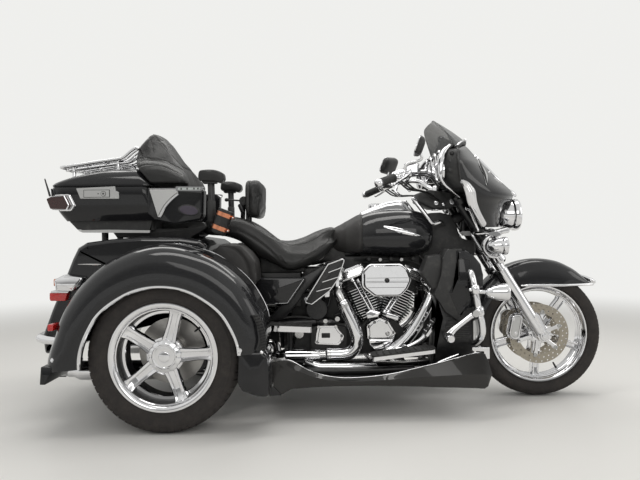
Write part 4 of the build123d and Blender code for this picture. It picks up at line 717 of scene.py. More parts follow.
def spoke(shape, centre, side, degrees, table, thick, slot):
    a = math.radians(degrees)
    out, along, across = Vector((0, side, 0)), Vector((math.cos(a), 0, math.sin(a))), Vector(
        (-math.sin(a), 0, math.cos(a)))
    rings = []
    for radius, width, face, dip in table:
        front = spokeRing(width, face, dip)
        if thick:
            section = front + [(width / 2, face - thick), (-width / 2, face - thick)]
        else:
            section = front + [(u, -t) for u, t in reversed(front)]
        rings.append([Vector(centre) + along * radius + across * u + out * t for u, t in section])
    shape.skin(rings, slot)


def makeRearRim(name, node, body, side):
    look = rearRimLook
    centre = (rearWheel["x"], side * rearWheel["y"], rearWheel["z"])
    turned = {key: [(r, side * y) for r, y in look[key]] for key in ("lip", "barrel", "ring", "cap", "hub")}
    shape = Shape(chrome, blackMetal, brushed)
    shape.lathe(turned["lip"], centre, sides=160, ring=True)
    shape.lathe(turned["barrel"], centre, sides=96, slot=1, ring=True)
    shape.lathe(turned["ring"], centre, sides=96, ring=True)
    shape.lathe(turned["hub"], centre, sides=80)
    bite = look["scallops"]

    def scallop(turn, radius):
        return 1.0 - (0.055 * (0.5 + 0.5 * math.cos(bite * turn)) ** 4 if radius > 0.055 else 0.0)

    shape.lathe(turned["cap"], centre, sides=120, wave=scallop)
    for k in range(look["spokes"]):
        spoke(shape, centre, side, look["firstDegrees"] + 360 / look["spokes"] * k, look["spoke"],
              look["spokeThick"], 0)
    stem = math.radians(39)
    outward = Vector((math.cos(stem), 0, math.sin(stem)))
    base = Vector(centre) + outward * 0.190 + Vector((0, side * 0.05, 0))
    shape.tube([base, base - outward * 0.012 + Vector((0, side * 0.012, 0)),
                base - outward * 0.020 + Vector((0, side * 0.034, 0))], [0.0055, 0.0042, 0.0038], slot=1)
    return shape.piece(name, body, (node,), "chrome", sharp=30)


def makeFrontRim():
    look = frontRimLook
    centre = (frontWheel["x"], 0, frontWheel["z"])
    face = look["half"]
    ring = face + [(r, -y) for r, y in reversed(face[:-1])] + [(r, -y) for r, y in look["seat"]] + [
        (r, y) for r, y in reversed(look["seat"][:-1])]
    shape = Shape(chrome, blackMetal)
    shape.lathe(ring, centre, sides=160, ring=True)
    hub = look["hub"] + [(r, -y) for r, y in reversed(look["hub"])]
    shape.lathe(hub, centre, sides=64)
    for k in range(look["spokes"]):
        spoke(shape, centre, -1, look["firstDegrees"] + 360 / look["spokes"] * k, look["spoke"], None, 0)
    stem = math.radians(-60)
    outward = Vector((math.cos(stem), 0, math.sin(stem)))
    base = Vector(centre) + outward * 0.214
    shape.tube([base, base - outward * 0.030], [0.0055, 0.0040], slot=1)
    return shape.piece("frontRimSpoked", "front_wheel", ("front_rim",), "chrome", sharp=30)


def holed(shape, loops, place, low, high, slot=0):
    # a flat plate with holes: the first loop is its edge, the rest are holes
    flat = bmesh.new()
    for loop in loops:
        made = [flat.verts.new((*p, 0.0)) for p in loop]
        for a, b in zip(made, made[1:] + made[:1]):
            flat.edges.new((a, b))
    bmesh.ops.triangle_fill(flat, use_beauty=True, use_dissolve=False, edges=flat.edges[:])
    flat.verts.index_update()
    sheets = [[shape.bm.verts.new(place(v.co.x, v.co.y, level)) for v in flat.verts] for level in (low, high)]
    for face in flat.faces:
        for sheet in sheets:
            shape.face([sheet[v.index] for v in face.verts], slot)
    start = 0
    for loop in loops:
        count = len(loop)
        for i in range(count):
            a, b = start + i, start + (i + 1) % count
            shape.face((sheets[0][a], sheets[0][b], sheets[1][b], sheets[1][a]), slot)
        start += count
    flat.free()
    return shape


def circle(x, z, radius, sides=24, first=0.0):
    return [(x + radius * math.cos(first + 2 * math.pi * i / sides),
             z + radius * math.sin(first + 2 * math.pi * i / sides)) for i in range(sides)]


frontDiscLook = {"radius": 0.150, "inner": 0.104, "place": 0.0575, "thick": 0.005,
                 "holeRows": ((0.141, 30, 0.0040),
                 (0.122, 30, 0.0040)), "arms": 6, "armFirst": 20, "button": 0.0105}


def makeFrontDiscs():
    look = frontDiscLook
    shape = Shape(frontRotor, chrome, castSilver)
    cx, cz = frontWheel["x"], frontWheel["z"]
    for side in (-1, 1):
        def place(x, z, level, side=side):
            return (x, side * level, z)

        loops = [circle(cx, cz, look["radius"], 120), circle(cx, cz, look["inner"], 90)]
        for row, (radius, count, size) in enumerate(look["holeRows"]):
            for i in range(count):
                a = 2 * math.pi * (i + 0.5 * row) / count
                loops.append(circle(cx + radius * math.cos(a), cz + radius * math.sin(a), size, 10))
        holed(shape, loops, place, look["place"] - look["thick"] / 2, look["place"] + look["thick"] / 2, 0)
        hub = [(0.0, 0.062), (0.030, 0.062), (0.046, 0.0605), (0.052, 0.0570), (0.052, 0.0520), (0.0, 0.0520)]
        shape.lathe([(r, side * y) for r, y in hub], (cx, 0, cz), sides=60, slot=1)
        for i in range(look["arms"]):
            a = math.radians(look["armFirst"] + 360 / look["arms"] * i)
            outward, across = Vector((math.cos(a), 0, math.sin(a))), Vector((-math.sin(a), 0, math.cos(a)))
            rows = []
            for radius, half, lift in ((0.036, 0.014, 0.0622), (0.060, 0.010, 0.0632), (0.086, 0.009, 0.0622),
                                       (0.104, 0.0125, 0.0612), (0.116, 0.0115, 0.0604),
                                       (0.120, 0.006, 0.0602)):
                spot = Vector((cx, 0, cz)) + outward * radius
                rows.append([spot + across * half * u + Vector((0, side * (lift - drop), 0)) for u, drop in
                             ((-1, 0.0062), (-1, 0.0015), (-0.8, 0), (0.8, 0), (1, 0.0015), (1, 0.0062))])
            shape.skin(rows, 1)
            spot = Vector((cx, side * 0.0605, cz)) + outward * 0.110
            b = look["button"]
            shape.lathe([(0.0, side * 0.0010), (b * 0.45, side * 0.0010), (b * 0.55, side * 0.0040),
                         (b * 0.9, side * 0.0035), (b, side * 0.0020), (b, -side * 0.002),
                         (0.0, -side * 0.002)], spot, sides=24,
                        slot=2)
    return shape.piece("frontDiscPair", "front_wheel", ("front_discs",), "disc", sharp=30)


makeTyre("rearTyreRight", "rear_right_tyre", "rear_wheel_right", rearWheel, -1, rearTyreLook, rearRubber)
makeTyre("rearTyreLeft", "rear_left_tyre", "rear_wheel_left", rearWheel, 1, rearTyreLook, rearRubber)
makeTyre("frontTyreTreaded", "front_tyre", "front_wheel", frontWheel, 1, frontTyreLook, frontRubber)
makeRearRim("rearRimRight", "rear_right_rim", "rear_wheel_right", -1)
makeRearRim("rearRimLeft", "rear_left_rim", "rear_wheel_left", 1)
makeFrontRim()
makeFrontDiscs()
print("wheels ready")


# rear fenders
def thick(path, wall):
    # a closed outline from an open one, its second side set off by the wall
    path = [Vector(p).to_2d() for p in path]
    back = []
    for i, p in enumerate(path):
        run = path[min(i + 1, len(path) - 1)] - path[max(i - 1, 0)]
        back.append(p + Vector((-run.y, run.x)).normalized() * wall)
    return path + back[::-1]


rearFenderLook = {"crown": [(3, 0.423), (12, 0.441), (25, 0.452), (45, 0.457), (70, 0.462), (92, 0.470),
                            (118, 0.464), (140, 0.459), (165, 0.463), (186, 0.492)],
                  "arch": [(3, 0.323), (30, 0.313), (60, 0.302), (90, 0.298), (120, 0.301),
                                     (150, 0.313), (186, 0.330)], "wall": 0.0035, "outer": 0.690,
                  "inner": 0.412,
                  "rollHigh": 0.088, "rollDeep": 0.120, "stations": 96}


def fenderSection(degrees):
    look = rearFenderLook
    arch, crown = easy(look["arch"], degrees), easy(look["crown"], degrees)
    outer, high, deep = look["outer"], look["rollHigh"], look["rollDeep"]
    path = [(arch + 0.001, outer - 0.030), (arch, outer - 0.012), (arch, outer - 0.004),
            (arch + 0.003, outer)]
    path += [(arch + 0.020, outer + 0.0015), ((arch + crown - high) / 2, outer + 0.003)]
    for i in range(13):
        a = math.pi / 2 * i / 12
        path.append((crown - high + high * math.sin(a) ** 0.92,
                     outer + 0.001 - deep + deep * math.cos(a) ** 0.92))
    path += [(crown + 0.003, (outer - deep + look["inner"]) / 2 + 0.02), (crown + 0.001, look["inner"])]
    return path


def around(centre, degrees, r, y):
    a = math.radians(degrees)
    return (centre["x"] + r * math.cos(a), y, centre["z"] + r * math.sin(a))


def makeRearFender(name, node, side):
    look = rearFenderLook
    rows = []
    for i in range(look["stations"] + 1):
        degrees = 3 + 183 * i / look["stations"]
        rows.append([around(rearWheel, degrees, r, side * y) for r,
                     y in thick(fenderSection(degrees), look["wall"])])
    Shape(paint).skin(rows).piece(name, "chassis", (node,), "black_paint", sharp=40)


def makeFenderTrim(name, side):
    look = rearFenderLook
    shape = Shape(chrome, blackPlastic, rubberBlack)
    rows, flangeHighlightCord = [], []
    for i in range(97):
        degrees = 3 + 183 * i / 96
        arch, crown = easy(look["arch"], degrees), easy(look["crown"], degrees)
        edge = look["outer"]
        section = [(arch - 0.004, edge - 0.010), (arch - 0.005, edge - 0.001), (arch - 0.002, edge + 0.0035),
                   (arch + 0.004, edge + 0.0045), (arch + 0.010, edge + 0.0035),
                   (arch + 0.012, edge + 0.0005), (arch + 0.002, edge + 0.0005), (arch - 0.001, edge - 0.010)]
        rows.append([around(rearWheel, degrees, r, side * y) for r, y in section])
        flangeHighlightCord.append(around(rearWheel, degrees, crown + 0.003, side * look["inner"]))
    shape.skin(rows)
    # a chrome cord along the fender's inner top edge: a painted highlight where the inner flange catches the
    # light
    shape.tube(flangeHighlightCord[8:], 0.0032, sides=10)
    rows = []
    for i in range(25):
        degrees = 3.2 + 37 * i / 24
        section = fenderSection(degrees)[7:-1]
        pad = thick(section, -0.0014)
        rows.append([around(rearWheel, degrees, r, side * y) for r, y in pad])
    shape.skin(rows, slot=1)
    for degrees in (5.0, 9.5, 182.5):
        spot = around(rearWheel, degrees, easy(look["arch"], degrees) + 0.004, side * (look["outer"] + 0.004))
        shape.lathe([(0.0, side * 0.0028), (0.0030, side * 0.0024), (0.0044, side * 0.0008),
                     (0.0046, -side * 0.001), (0.0, -side * 0.002)], spot, sides=16)
    shape.piece(name, "chassis", (), "chrome", sharp=34)


makeRearFender("rearFenderShellRight", "rear_fender_right", -1)
makeRearFender("rearFenderShellLeft", "rear_fender_left", 1)
makeFenderTrim("rearFenderTrimRight", -1)
makeFenderTrim("rearFenderTrimLeft", 1)
print("rear fenders ready")


# front end
frontFenderLook = {"crown": [(40, 0.376), (50, 0.372), (62, 0.376), (74, 0.380), (90, 0.379), (112, 0.378),
                             (140, 0.374), (176, 0.370)], "half": 0.084, "low": 0.562, "rearLow": 0.288,
                   "front": 40.5, "rear": 174.0, "stations": 64, "squareness": 2.7}


def frontFenderRow(degrees):
    look = frontFenderLook
    crown = easy(look["crown"], degrees)
    rise = (look["low"] - frontWheel["z"]) / math.sin(math.radians(min(degrees, 126)))
    low = min(crown - 0.004, max(rise, look["rearLow"] if degrees > 112 else 0.0))
    half = look["half"] * min(1.0, 0.42 + 0.58 * ((degrees - look["front"]) / 22) ** 0.6)
    row = []
    for i in range(33):
        a = math.pi * i / 32
        c, s = math.cos(a), math.sin(a)
        power = 2 / look["squareness"]
        row.append((low + (crown - low) * s ** power, -half * math.copysign(abs(c) ** power, c)))
    return row, low, half


def makeFrontFender():
    look = frontFenderLook
    shape = Shape(paint)
    rows = []
    for i in range(look["stations"] + 1):
        degrees = look["front"] + (look["rear"] - look["front"]) * i / look["stations"]
        row, low, half = frontFenderRow(degrees)
        rows.append([around(frontWheel, degrees, r, y) for r, y in thick(row, 0.003)])
    shape.skin(rows).piece("frontFenderShell", "front_end", ("front_fender",), "black_paint", sharp=42)

    trim = Shape(chrome)
    edge = []
    for i in range(40):
        degrees = 112 - (112 - look["front"] - 0.2) * i / 39
        row, low, half = frontFenderRow(degrees)
        x, y, z = around(frontWheel, degrees, low, -half)
        edge.append(Vector((x, y - 0.003, z + 0.004)))
    whole = edge + [Vector((p.x, -p.y, p.z)) for p in edge[::-1]]
    sizes = [0.0068 if 2 < i < len(whole) - 3 else 0.004 for i in range(len(whole))]
    trim.tube(whole, sizes, sides=12)
    nose = edge[-1] + Vector((0.014, 0, 0))
    blade = []
    for t, wide, tall in ((-0.085, 0.004, 0.003), (-0.06, 0.013, 0.006), (-0.03, 0.020, 0.011),
                          (0.0, 0.024, 0.013), (0.012, 0.018, 0.010), (0.018, 0.006, 0.004)):
        lift = reading([(-0.085, 0.050), (0.018, 0.003)], t)
        blade.append([(nose.x + t, wide * math.cos(a), nose.z + lift + 0.004 + tall * math.sin(a))
                      for a in np.linspace(0, 2 * math.pi, 16, endpoint=False)])
    trim.skin(blade)
    trim.piece("frontFenderTrim", "front_end", (), "chrome", sharp=40)


frontCaliperLook = {"x": 0.924, "z": 0.362, "tall": 0.136, "wide": 0.064, "lean": -11.0, "out": 0.104,
                    "deep": 0.040,
                    "bow": 0.011}


def leaning(centre, degrees, u, v):
    a = math.radians(degrees)
    return (centre[0] + u * math.cos(a) - v * math.sin(a), centre[1] + u * math.sin(a) + v * math.cos(a))


def stadium(wide, tall, steps=10):
    r = wide / 2
    points = [(r * math.cos(a), tall / 2 - r + r * math.sin(a)) for a in np.linspace(0, math.pi, steps)]
    return points + [(-u, -v) for u, v in points]


def bowed(points, reach, bow):
    # bends an upright outline so that both its ends turn forward
    return [(u + bow * (v / reach) ** 2 - bow * 0.4, v) for u, v in points]


def makeCalipers():
    look = frontCaliperLook
    shape = Shape(castSilver, chrome, silverPaint, blackMetal)
    spot = (look["x"], look["z"])
    for side in (-1, 1):
        def ring(scale, wide, tall, out):
            return [(*leaning(spot, look["lean"], u, v)[:1], side * out, leaning(spot, look["lean"], u, v)[1])
                    for u, v in bowed(stadium(wide * scale, tall * scale), look["tall"] / 2, look["bow"])]

        w, t, o = look["wide"], look["tall"], look["out"]
        shape.skin([ring(1, w, t, o - look["deep"]), ring(1, w, t, o - 0.010),
                    ring(1, w - 0.006, t - 0.006, o - 0.003),
                    ring(1, w - 0.014, t - 0.014, o), ring(1, w - 0.024, t - 0.024, o),
                    ring(1, w - 0.028, t - 0.028, o - 0.004), ring(1, 0.016, t - 0.044, o - 0.004)], 1)
        shape.skin([ring(1, w - 0.027, t - 0.027, o - 0.006), ring(1, w - 0.029, t - 0.029, o - 0.0025),
                    ring(1, 0.018, t - 0.050, o - 0.0015)], 2)
        for v in (-0.5, 0.5):
            x, z = leaning(spot, look["lean"], 0.030, v * look["tall"] * 1.05)
            shape.lathe([(0.0, side * 0.012), (0.0060, side * 0.011), (0.0075, side * 0.008),
                         (0.0080, -side * 0.03),
                         (0.0, -side * 0.032)], (x, side * (look["out"] - 0.018), z), sides=14, slot=1)
        x, z = leaning(spot, look["lean"], 0.012, 0.052)
        a, b = leaning(spot, look["lean"], 0.060, 0.030)
        shape.tube([(x, side * 0.080, z), (a, side * 0.082, b), (a + 0.035, side * 0.086, b - 0.05)],
                   [0.014, 0.016, 0.012], slot=0, squeeze=0.7)
        shape.tube(flowing([(x - 0.012, side * 0.094, z + 0.02), (x - 0.045, side * 0.10, z + 0.11),
                            (x - 0.075, side * 0.09, z + 0.24), (x - 0.12, side * 0.06, z + 0.40)], 6),
                   0.0045, slot=3, sides=8)
    shape.piece("frontCaliperPair", "front_end", ("front_calipers",), "disc", sharp=34)


forkLook = {"y": 0.1125, "top": (0.823, 0.723), "low": (1.040, 0.370)}


def makeForkDetails():
    shape = Shape(chrome, blackMetal, castSilver, rubberBlack)
    top = Vector((forkLook["top"][0], 0, forkLook["top"][1]))
    low = Vector((forkLook["low"][0], 0, forkLook["low"][1]))
    run = (low - top).normalized()
    y = forkLook["y"]
    for side in (-1, 1):
        off = Vector((0, side * y, 0))
        for start, end, sizes in ((0.0, 0.030, (0.030, 0.033)), (0.030, 0.036, (0.0335, 0.0335))):
            a, b = top + run * start + off, top + run * end + off
            shape.tube([a, a * 0.5 + b * 0.5, b], [sizes[0], sum(sizes) / 2, sizes[1]], sides=28)
        foot = Vector((frontWheel["x"], side * y, frontWheel["z"]))
        ankle = top + run * 0.36 + off
        shape.tube([ankle, ankle * 0.4 + foot * 0.6 + Vector((0.004, 0, 0.006)), foot], [0.034, 0.031, 0.030],
                   sides=24, squeeze=0.8)
        shape.lathe([(0.0, side * 0.038), (0.011, side * 0.037), (0.0125, side * 0.034),
                     (0.0125, side * 0.030), (0.021, side * 0.030), (0.024, side * 0.026),
                     (0.030, side * 0.024), (0.031, side * 0.018),
                     (0.031, -side * 0.018), (0.0, -side * 0.020)], foot, sides=32)
    shape.piece("forkCastings", "front_end", (), "chrome", sharp=34)


makeFrontFender()
makeCalipers()
makeForkDetails()
print("front fender and fork ready")


# fairing
fairingLook = {"nose": [(0.862, 0.862), (0.93, 0.872), (0.980, 0.900), (0.998, 0.934), (1.022, 0.944),
                        (1.046, 0.934), (1.0925, 0.882), (1.1526, 0.822), (1.217, 0.752), (1.262, 0.710),
                        (1.300, 0.668)],
               "side": [(0.862, 0.740), (0.93, 0.700), (1.0, 0.648), (1.08, 0.596), (1.16, 0.584),
                        (1.25, 0.588), (1.300, 0.600)],
               "half": [(0.862, 0.190), (0.93, 0.242), (1.0, 0.300), (1.08, 0.352), (1.16, 0.372),
                        (1.25, 0.338), (1.300, 0.262)],
               "crest": [(0.862, 0.10), (0.95, 0.20), (1.046, 0.42), (1.15, 0.60), (1.300, 0.62)],
               "wall": 0.006, "layers": 44, "round": 2.1, "sharpNose": 1.45, "dropFrom": 1.17, "drop": 0.052}


def fairingPoint(share, z, inset=0.0):
    # share runs from -1 at the right edge through 0 at the nose to 1 at the left edge
    look = fairingLook
    nose, side, half, crest = (reading(look[key], z) for key in ("nose", "side", "half", "crest"))
    a = share * math.pi / 2
    wide, deep = abs(math.sin(a)), abs(math.cos(a))
    y = (half - inset) * math.copysign(wide ** (2 / look["round"]), a)
    fall = (1 - crest) * (1 - deep ** (2 / look["sharpNose"])) + crest * wide ** 1.15
    high = max(0.0, (z - look["dropFrom"]) / (1.300 - look["dropFrom"]))
    return Vector((side + (nose - inset - side) * (1 - fall), y, z - look["drop"] * wide ** 1.6 * high))


def band(shape, spine, sizes, outward, slot=0, crown=0.004, foot=0.004, flutes=0):
    # a crowned strip laid along a path; outward points away from what carries it
    rows = []
    count = len(spine)
    shares = np.linspace(-1, 1, 11 + 4 * flutes)
    for i, p in enumerate(spine):
        t = i / (count - 1)
        run = (spine[min(i + 1, count - 1)] - spine[max(i - 1, 0)]).normalized()
        out = (Vector(outward) - run * run.dot(Vector(outward))).normalized()
        across = run.cross(out).normalized()
        size = float(np.interp(t, np.linspace(0, 1, len(sizes)), sizes)) / 2
        top = [p + across * size * u + out * (crown * (1 - u * u) ** 0.6 + 0.12 * crown
                                              * math.cos(u * flutes * 6))
               for u in shares]
        rows.append([*top, p + across * size * 0.9 - out * foot, p - across * size * 0.9 - out * foot])
    shape.skin(rows, slot)


def onFairing(y, z, proud=0.0):
    half = reading(fairingLook["half"], z)
    share = math.asin(min(1.0, abs(y) / half) ** (fairingLook["round"] / 2)) * 2 / math.pi
    return fairingPoint(math.copysign(share, y), z) + Vector((proud, 0, 0))


def makeFairing():
    look = fairingLook
    shape = Shape(paintDeep)
    rings = []
    for i in range(look["layers"] + 1):
        z = 0.862 + (1.300 - 0.862) * i / look["layers"]
        outer = [fairingPoint(s, z) for s in np.linspace(-1, 1, 65)]
        inner = [fairingPoint(s, z, look["wall"]) for s in np.linspace(-1, 1, 65)]
        rings.append(outer + inner[::-1])
    shape.skin(rings)
    shape.piece("fairingShell", "front_end", ("fairing_outer",), "black_shell", sharp=44)

    trim = Shape(chrome, blackPlastic, chromeDull)
    for side in (-1, 1):
        ahead = (0.86, side * 0.30, 0.42)
        strip = flowing([onFairing(side * y, z) for y, z in ((0.070, 1.222), (0.100, 1.199), (0.106, 1.148),
                                                             (0.108, 1.108), (0.098, 1.082))], 7)
        band(trim, strip, (0.016, 0.026, 0.024, 0.026, 0.012), ahead, crown=0.007)
        outside = (0.45, side * 0.86, 0.25)
        inlet = flowing([onFairing(side * y, z) for y, z in ((0.150, 1.196), (0.215, 1.160), (0.240, 1.110),
                                                             (0.262, 1.058))], 7)
        band(trim, inlet, (0.008, 0.030, 0.040, 0.008), outside, slot=2, crown=0.003)
        band(trim, inlet, (0.003, 0.013, 0.018, 0.003), outside, slot=1, crown=0.0065)
        edge = [fairingPoint(side, z) + Vector((-0.001, 0, 0)) for z in np.linspace(0.875, 1.292, 40)]
        trim.tube(edge, 0.0045, sides=8, slot=1)
    middle = flowing([onFairing(0, z) for z in (1.215, 1.17, 1.12, 1.09)], 6)
    band(trim, middle, (0.030, 0.052, 0.056, 0.030), (0.8, 0, 0.6), slot=1, crown=0.003)
    trim.piece("fairingTrim", "front_end", (), "chrome", sharp=40)

    swoosh = Shape(chrome)
    path = [(0.596, 0.346, 1.074), (0.622, 0.343, 1.056), (0.645, 0.335, 1.020), (0.661, 0.313, 0.972),
            (0.690, 0.276, 0.925), (0.735, 0.227, 0.868)]
    wide = [0.012, 0.040, 0.056, 0.052, 0.043, 0.036]
    second = [(0.640, 0.250, 0.948), (0.664, 0.240, 0.944), (0.690, 0.215, 0.890), (0.716, 0.190, 0.840)]
    for side in (-1, 1):
        spine = flowing([(x, side * y, z) for x, y, z in path], 7)
        band(swoosh, spine, wide, (0.10, side * 0.95, 0.22), crown=0.012, foot=0.006, flutes=3)
        spine = flowing([(x, side * y, z) for x, y, z in second], 6)
        band(swoosh, spine, (0.018, 0.022, 0.018, 0.014), (0.10, side * 0.95, 0.22), crown=0.006)
    swoosh.piece("fairingSideTrim", "front_end", (), "chrome", sharp=50, levels=1)


innerLook = {"heights": [1.030, 1.046, 1.075, 1.11, 1.16, 1.21, 1.238],
             "face": [(1.030, 0.600), (1.046, 0.588), (1.075, 0.578), (1.11, 0.572), (1.16, 0.570),
                      (1.21, 0.572), (1.238, 0.584)],
             "shoulder": [(1.030, 0.575), (1.046, 0.556), (1.075, 0.536), (1.11, 0.524), (1.16, 0.520),
                          (1.21, 0.526), (1.238, 0.545)]}


def makeInnerFairing():
    look = innerLook
    shape = Shape(blackPlastic)
    rings = []
    for z in look["heights"]:
        half = reading(fairingLook["half"], z) - 0.008
        side, face, shoulder = (reading(t, z) for t in (fairingLook["side"], look["face"], look["shoulder"]))
        rear = [(side + 0.02, half), (side - 0.01, half - 0.002), (shoulder + 0.02, half - 0.018),
                (shoulder, half - 0.045), (shoulder + 0.004, half - 0.085), (face - 0.004, half - 0.115),
                (face, half * 0.45), (face + 0.002, 0.0)]
        outline = [(x, -y) for x, y in rear] + [(x, y) for x, y in rear[-2::-1]]
        front = [(fairingPoint(share, z, 0.020).x, half * y) for share,
                 y in ((0.88, 0.90), (0.5, 0.60), (0.0, 0.0))]
        front = [(min(x, side + 0.10), y) for x, y in front]
        outline += front + [(x, -y) for x, y in front[-2::-1]]
        rings.append([(x, y, z) for x, y in outline])
    shape.skin(rings)
    shape.piece("innerFairing", "front_end", ("fairing_inner",), "black_plastic", sharp=60, levels=2)

    dials = Shape(chrome, dialWhite, silverPaint, blackPlastic, clearLens)
    lean = Matrix.Rotation(math.radians(-8), 3, "Y")
    for y, z, r in ((-0.185, 1.205, 0.027), (-0.062, 1.185, 0.047), (0.062, 1.185, 0.047),
                    (0.185, 1.205, 0.027), (-0.185, 1.135, 0.027), (0.185, 1.135, 0.027)):
        spot = Vector((reading(look["face"], z) - 0.034, y, z))
        dials.lathe([(r - 0.004, -0.001), (r, -0.010), (r + 0.003, -0.013), (r + 0.007, -0.009),
                     (r + 0.008, 0.040), (r - 0.004, 0.040)], spot, axis="X", sides=44, ring=True)
        dials.lathe([(0.0, -0.0010), (r - 0.002, -0.0010), (r - 0.002, 0.010), (0.0, 0.010)], spot, axis="X",
                    sides=36,
                    slot=1)
        for k in range(11):
            a = math.radians(-50 + 28 * k)
            out = Vector((0, math.cos(a), math.sin(a)))
            dials.box(spot + out * r * 0.80 + Vector((-0.0016, 0, 0)), (0.0012, r * 0.16, 0.0016), 2,
                      Matrix.Rotation(a, 3, "X"))
        a = math.radians(200)
        dials.box(spot + Vector((-0.0030, math.cos(a) * r * 0.3, math.sin(a) * r * 0.3)),
                  (0.0012, r * 0.75, 0.0022), 2,
                  Matrix.Rotation(a, 3, "X"))
    for side in (-1, 1):
        lip = [(0.512, side * 0.332, 1.082), (0.532, side * 0.322, 1.056), (0.566, side * 0.304, 1.032),
               (0.610, side * 0.262, 1.006)]
        dials.tube(flowing(lip, 6), 0.0070, sides=12, slot=0)
        edge = [(0.560, side * 0.300, 1.246), (0.528, side * 0.318, 1.214), (0.510, side * 0.332, 1.160),
                (0.506, side * 0.334, 1.110), (0.512, side * 0.332, 1.082)]
        band(dials, flowing(edge, 6), (0.012, 0.022, 0.026, 0.024, 0.012), (-0.35, side * 0.94, 0),
             crown=0.006,
             foot=0.012)
        for k, z in enumerate((1.205, 1.165, 1.125)):
            knob = Vector((0.560 - 0.004 * k, side * (0.340 - 0.002 * k), z))
            dials.lathe([(0.0, side * 0.008), (0.007, side * 0.007), (0.010, side * 0.003),
                         (0.010, -side * 0.020), (0.0, -side * 0.020)], knob, sides=28, slot=3)
        spot = Vector((0.516, side * 0.262, 1.128))
        dials.lathe([(0.048, -0.004), (0.054, -0.010), (0.060, -0.006), (0.061, 0.014), (0.048, 0.014)],
                    spot, axis="X",
                    sides=44, slot=0, ring=True)
        dials.lathe([(0.0, -0.004), (0.020, -0.003), (0.050, 0.002), (0.050, 0.012), (0.0, 0.012)], spot,
                    axis="X",
                    sides=44, slot=3)
    dials.box((0.566, 0, 1.092), (0.020, 0.150, 0.076), 3, lean)
    dials.box((0.5545, 0, 1.094), (0.004, 0.128, 0.058), 1, lean)
    dials.piece("dashDials", "front_end", (), "black_plastic", sharp=34)


# the screen's lower and upper edge from the middle to one side: share of the half width, x, z
shieldLook = {"low": [(0.0, 0.692, 1.276), (0.30, 0.684, 1.279), (0.55, 0.664, 1.278), (0.78, 0.634, 1.266),
                      (0.93, 0.606, 1.250), (1.0, 0.588, 1.240)],
              "high": [(0.0, 0.527, 1.402), (0.30, 0.520, 1.397), (0.55, 0.516, 1.382), (0.78, 0.533, 1.348),
                       (0.93, 0.553, 1.312), (1.0, 0.572, 1.266)], "half": 0.298, "thick": 0.0035}


def shieldPoint(s, t, inset=0.0):
    # s runs across from -1 to 1 and t up from 0 to 1
    look = shieldLook
    lowX, lowZ = columns(look["low"], abs(s))
    highX, highZ = columns(look["high"], abs(s))
    bulge = 0.010 * math.sin(math.pi * t) * (1 - s * s)
    return Vector((lowX + (highX - lowX) * t + bulge - inset, (look["half"] - inset) * s * (1 - 0.05 * t),
                   lowZ + (highZ - lowZ) * t))


def makeShield():
    shape = Shape(smoke)
    across = np.linspace(-1, 1, 61)
    shape.skin([[shieldPoint(s, t) for s in across]
                + [shieldPoint(s, t, shieldLook["thick"]) for s in across[::-1]]
                for t in np.linspace(0, 1, 25)])
    shape.piece("windshieldPane", "front_end", ("windshield",), "smoke", sharp=40)
    strip = Shape(chrome, blackPlastic)
    path = [shieldPoint(s, 0.06) + Vector((0.003, 0, 0.001)) for s in np.linspace(-0.97, 0.97, 41)]
    strip.tube(path, 0.0065, sides=10, squeeze=0.7)
    strip.tube([p + Vector((-0.004, 0, -0.012)) for p in path], 0.0075, sides=10, slot=1)
    for s in (-0.55, -0.22, 0.22, 0.55):
        strip.lathe([(0.0, 0.007), (0.006, 0.006), (0.008, 0.002), (0.008, -0.004), (0.0, -0.004)],
                    shieldPoint(s, 0.06) + Vector((0.005, 0, 0.002)), axis="X", sides=18)
    strip.piece("windshieldTrim", "front_end", (), "chrome", sharp=40)


headlampLook = {"x": 0.950, "z": 0.924, "r": 0.077}


def makeHeadlamp():
    look = headlampLook
    r, spot = look["r"], (look["x"], 0, look["z"])
    shape = Shape(chrome, clearLens, blackMetal)
    shape.lathe([(r - 0.010, 0.016), (r - 0.002, 0.018), (r + 0.003, 0.012), (r + 0.005, 0.0),
                 (r + 0.003, -0.012), (r - 0.002, -0.016), (r - 0.004, -0.020), (r + 0.001, -0.024),
                 (r + 0.001, -0.040), (r - 0.006, -0.062),
                 (r - 0.020, -0.085), (r - 0.03, -0.080)], spot, axis="X", sides=72, ring=True)
    shape.lathe([(0.0, -0.052), (0.030, -0.046), (0.052, -0.028), (0.066, 0.004), (0.070, 0.006),
                 (0.066, -0.060), (0.0, -0.062)], spot, axis="X", sides=56)
    for y in (-0.030, 0.030):
        for z in (0.0,):
            shape.lathe([(0.0, 0.004), (0.018, 0.0), (0.024, -0.010), (0.026, -0.045), (0.0, -0.046)],
                        (look["x"], y, look["z"] + z), axis="X", sides=28)
    shape.box((look["x"] - 0.006, 0, look["z"]), (0.006, 0.128, 0.009), 2)
    shape.piece("headlampBowl", "front_end", ("headlamp",), "chrome", sharp=34)
    lens = Shape(clearLens)
    lens.lathe([(0.0, 0.034), (0.026, 0.0325), (0.047, 0.027), (0.061, 0.019), (0.0690, 0.012),
                (0.0675, 0.009), (0.059, 0.0155), (0.045, 0.023), (0.026, 0.0285),
                (0.0, 0.030)], spot, axis="X", sides=64)
    lens.piece("headlampLens", "front_end", (), "chrome", sharp=50)
    visor = Shape(chrome)
    rows = []
    for x, wide, tall, lift in ((0.884, 0.008, 0.004, 0.128), (0.906, 0.020, 0.010, 0.124),
                                (0.930, 0.024, 0.017, 0.116), (0.950, 0.016, 0.014, 0.106),
                                (0.962, 0.006, 0.006, 0.098)):
        rows.append([(x, wide * math.cos(a), look["z"] + lift + tall * math.sin(a))
                     for a in np.linspace(0, 2 * math.pi, 20, endpoint=False)])
    visor.skin(rows)
    visor.piece("noseOrnament", "front_end", (), "chrome", sharp=50, levels=1)


passingLook = {"x": 0.838, "y": 0.200, "z": 0.769, "r": 0.0405}


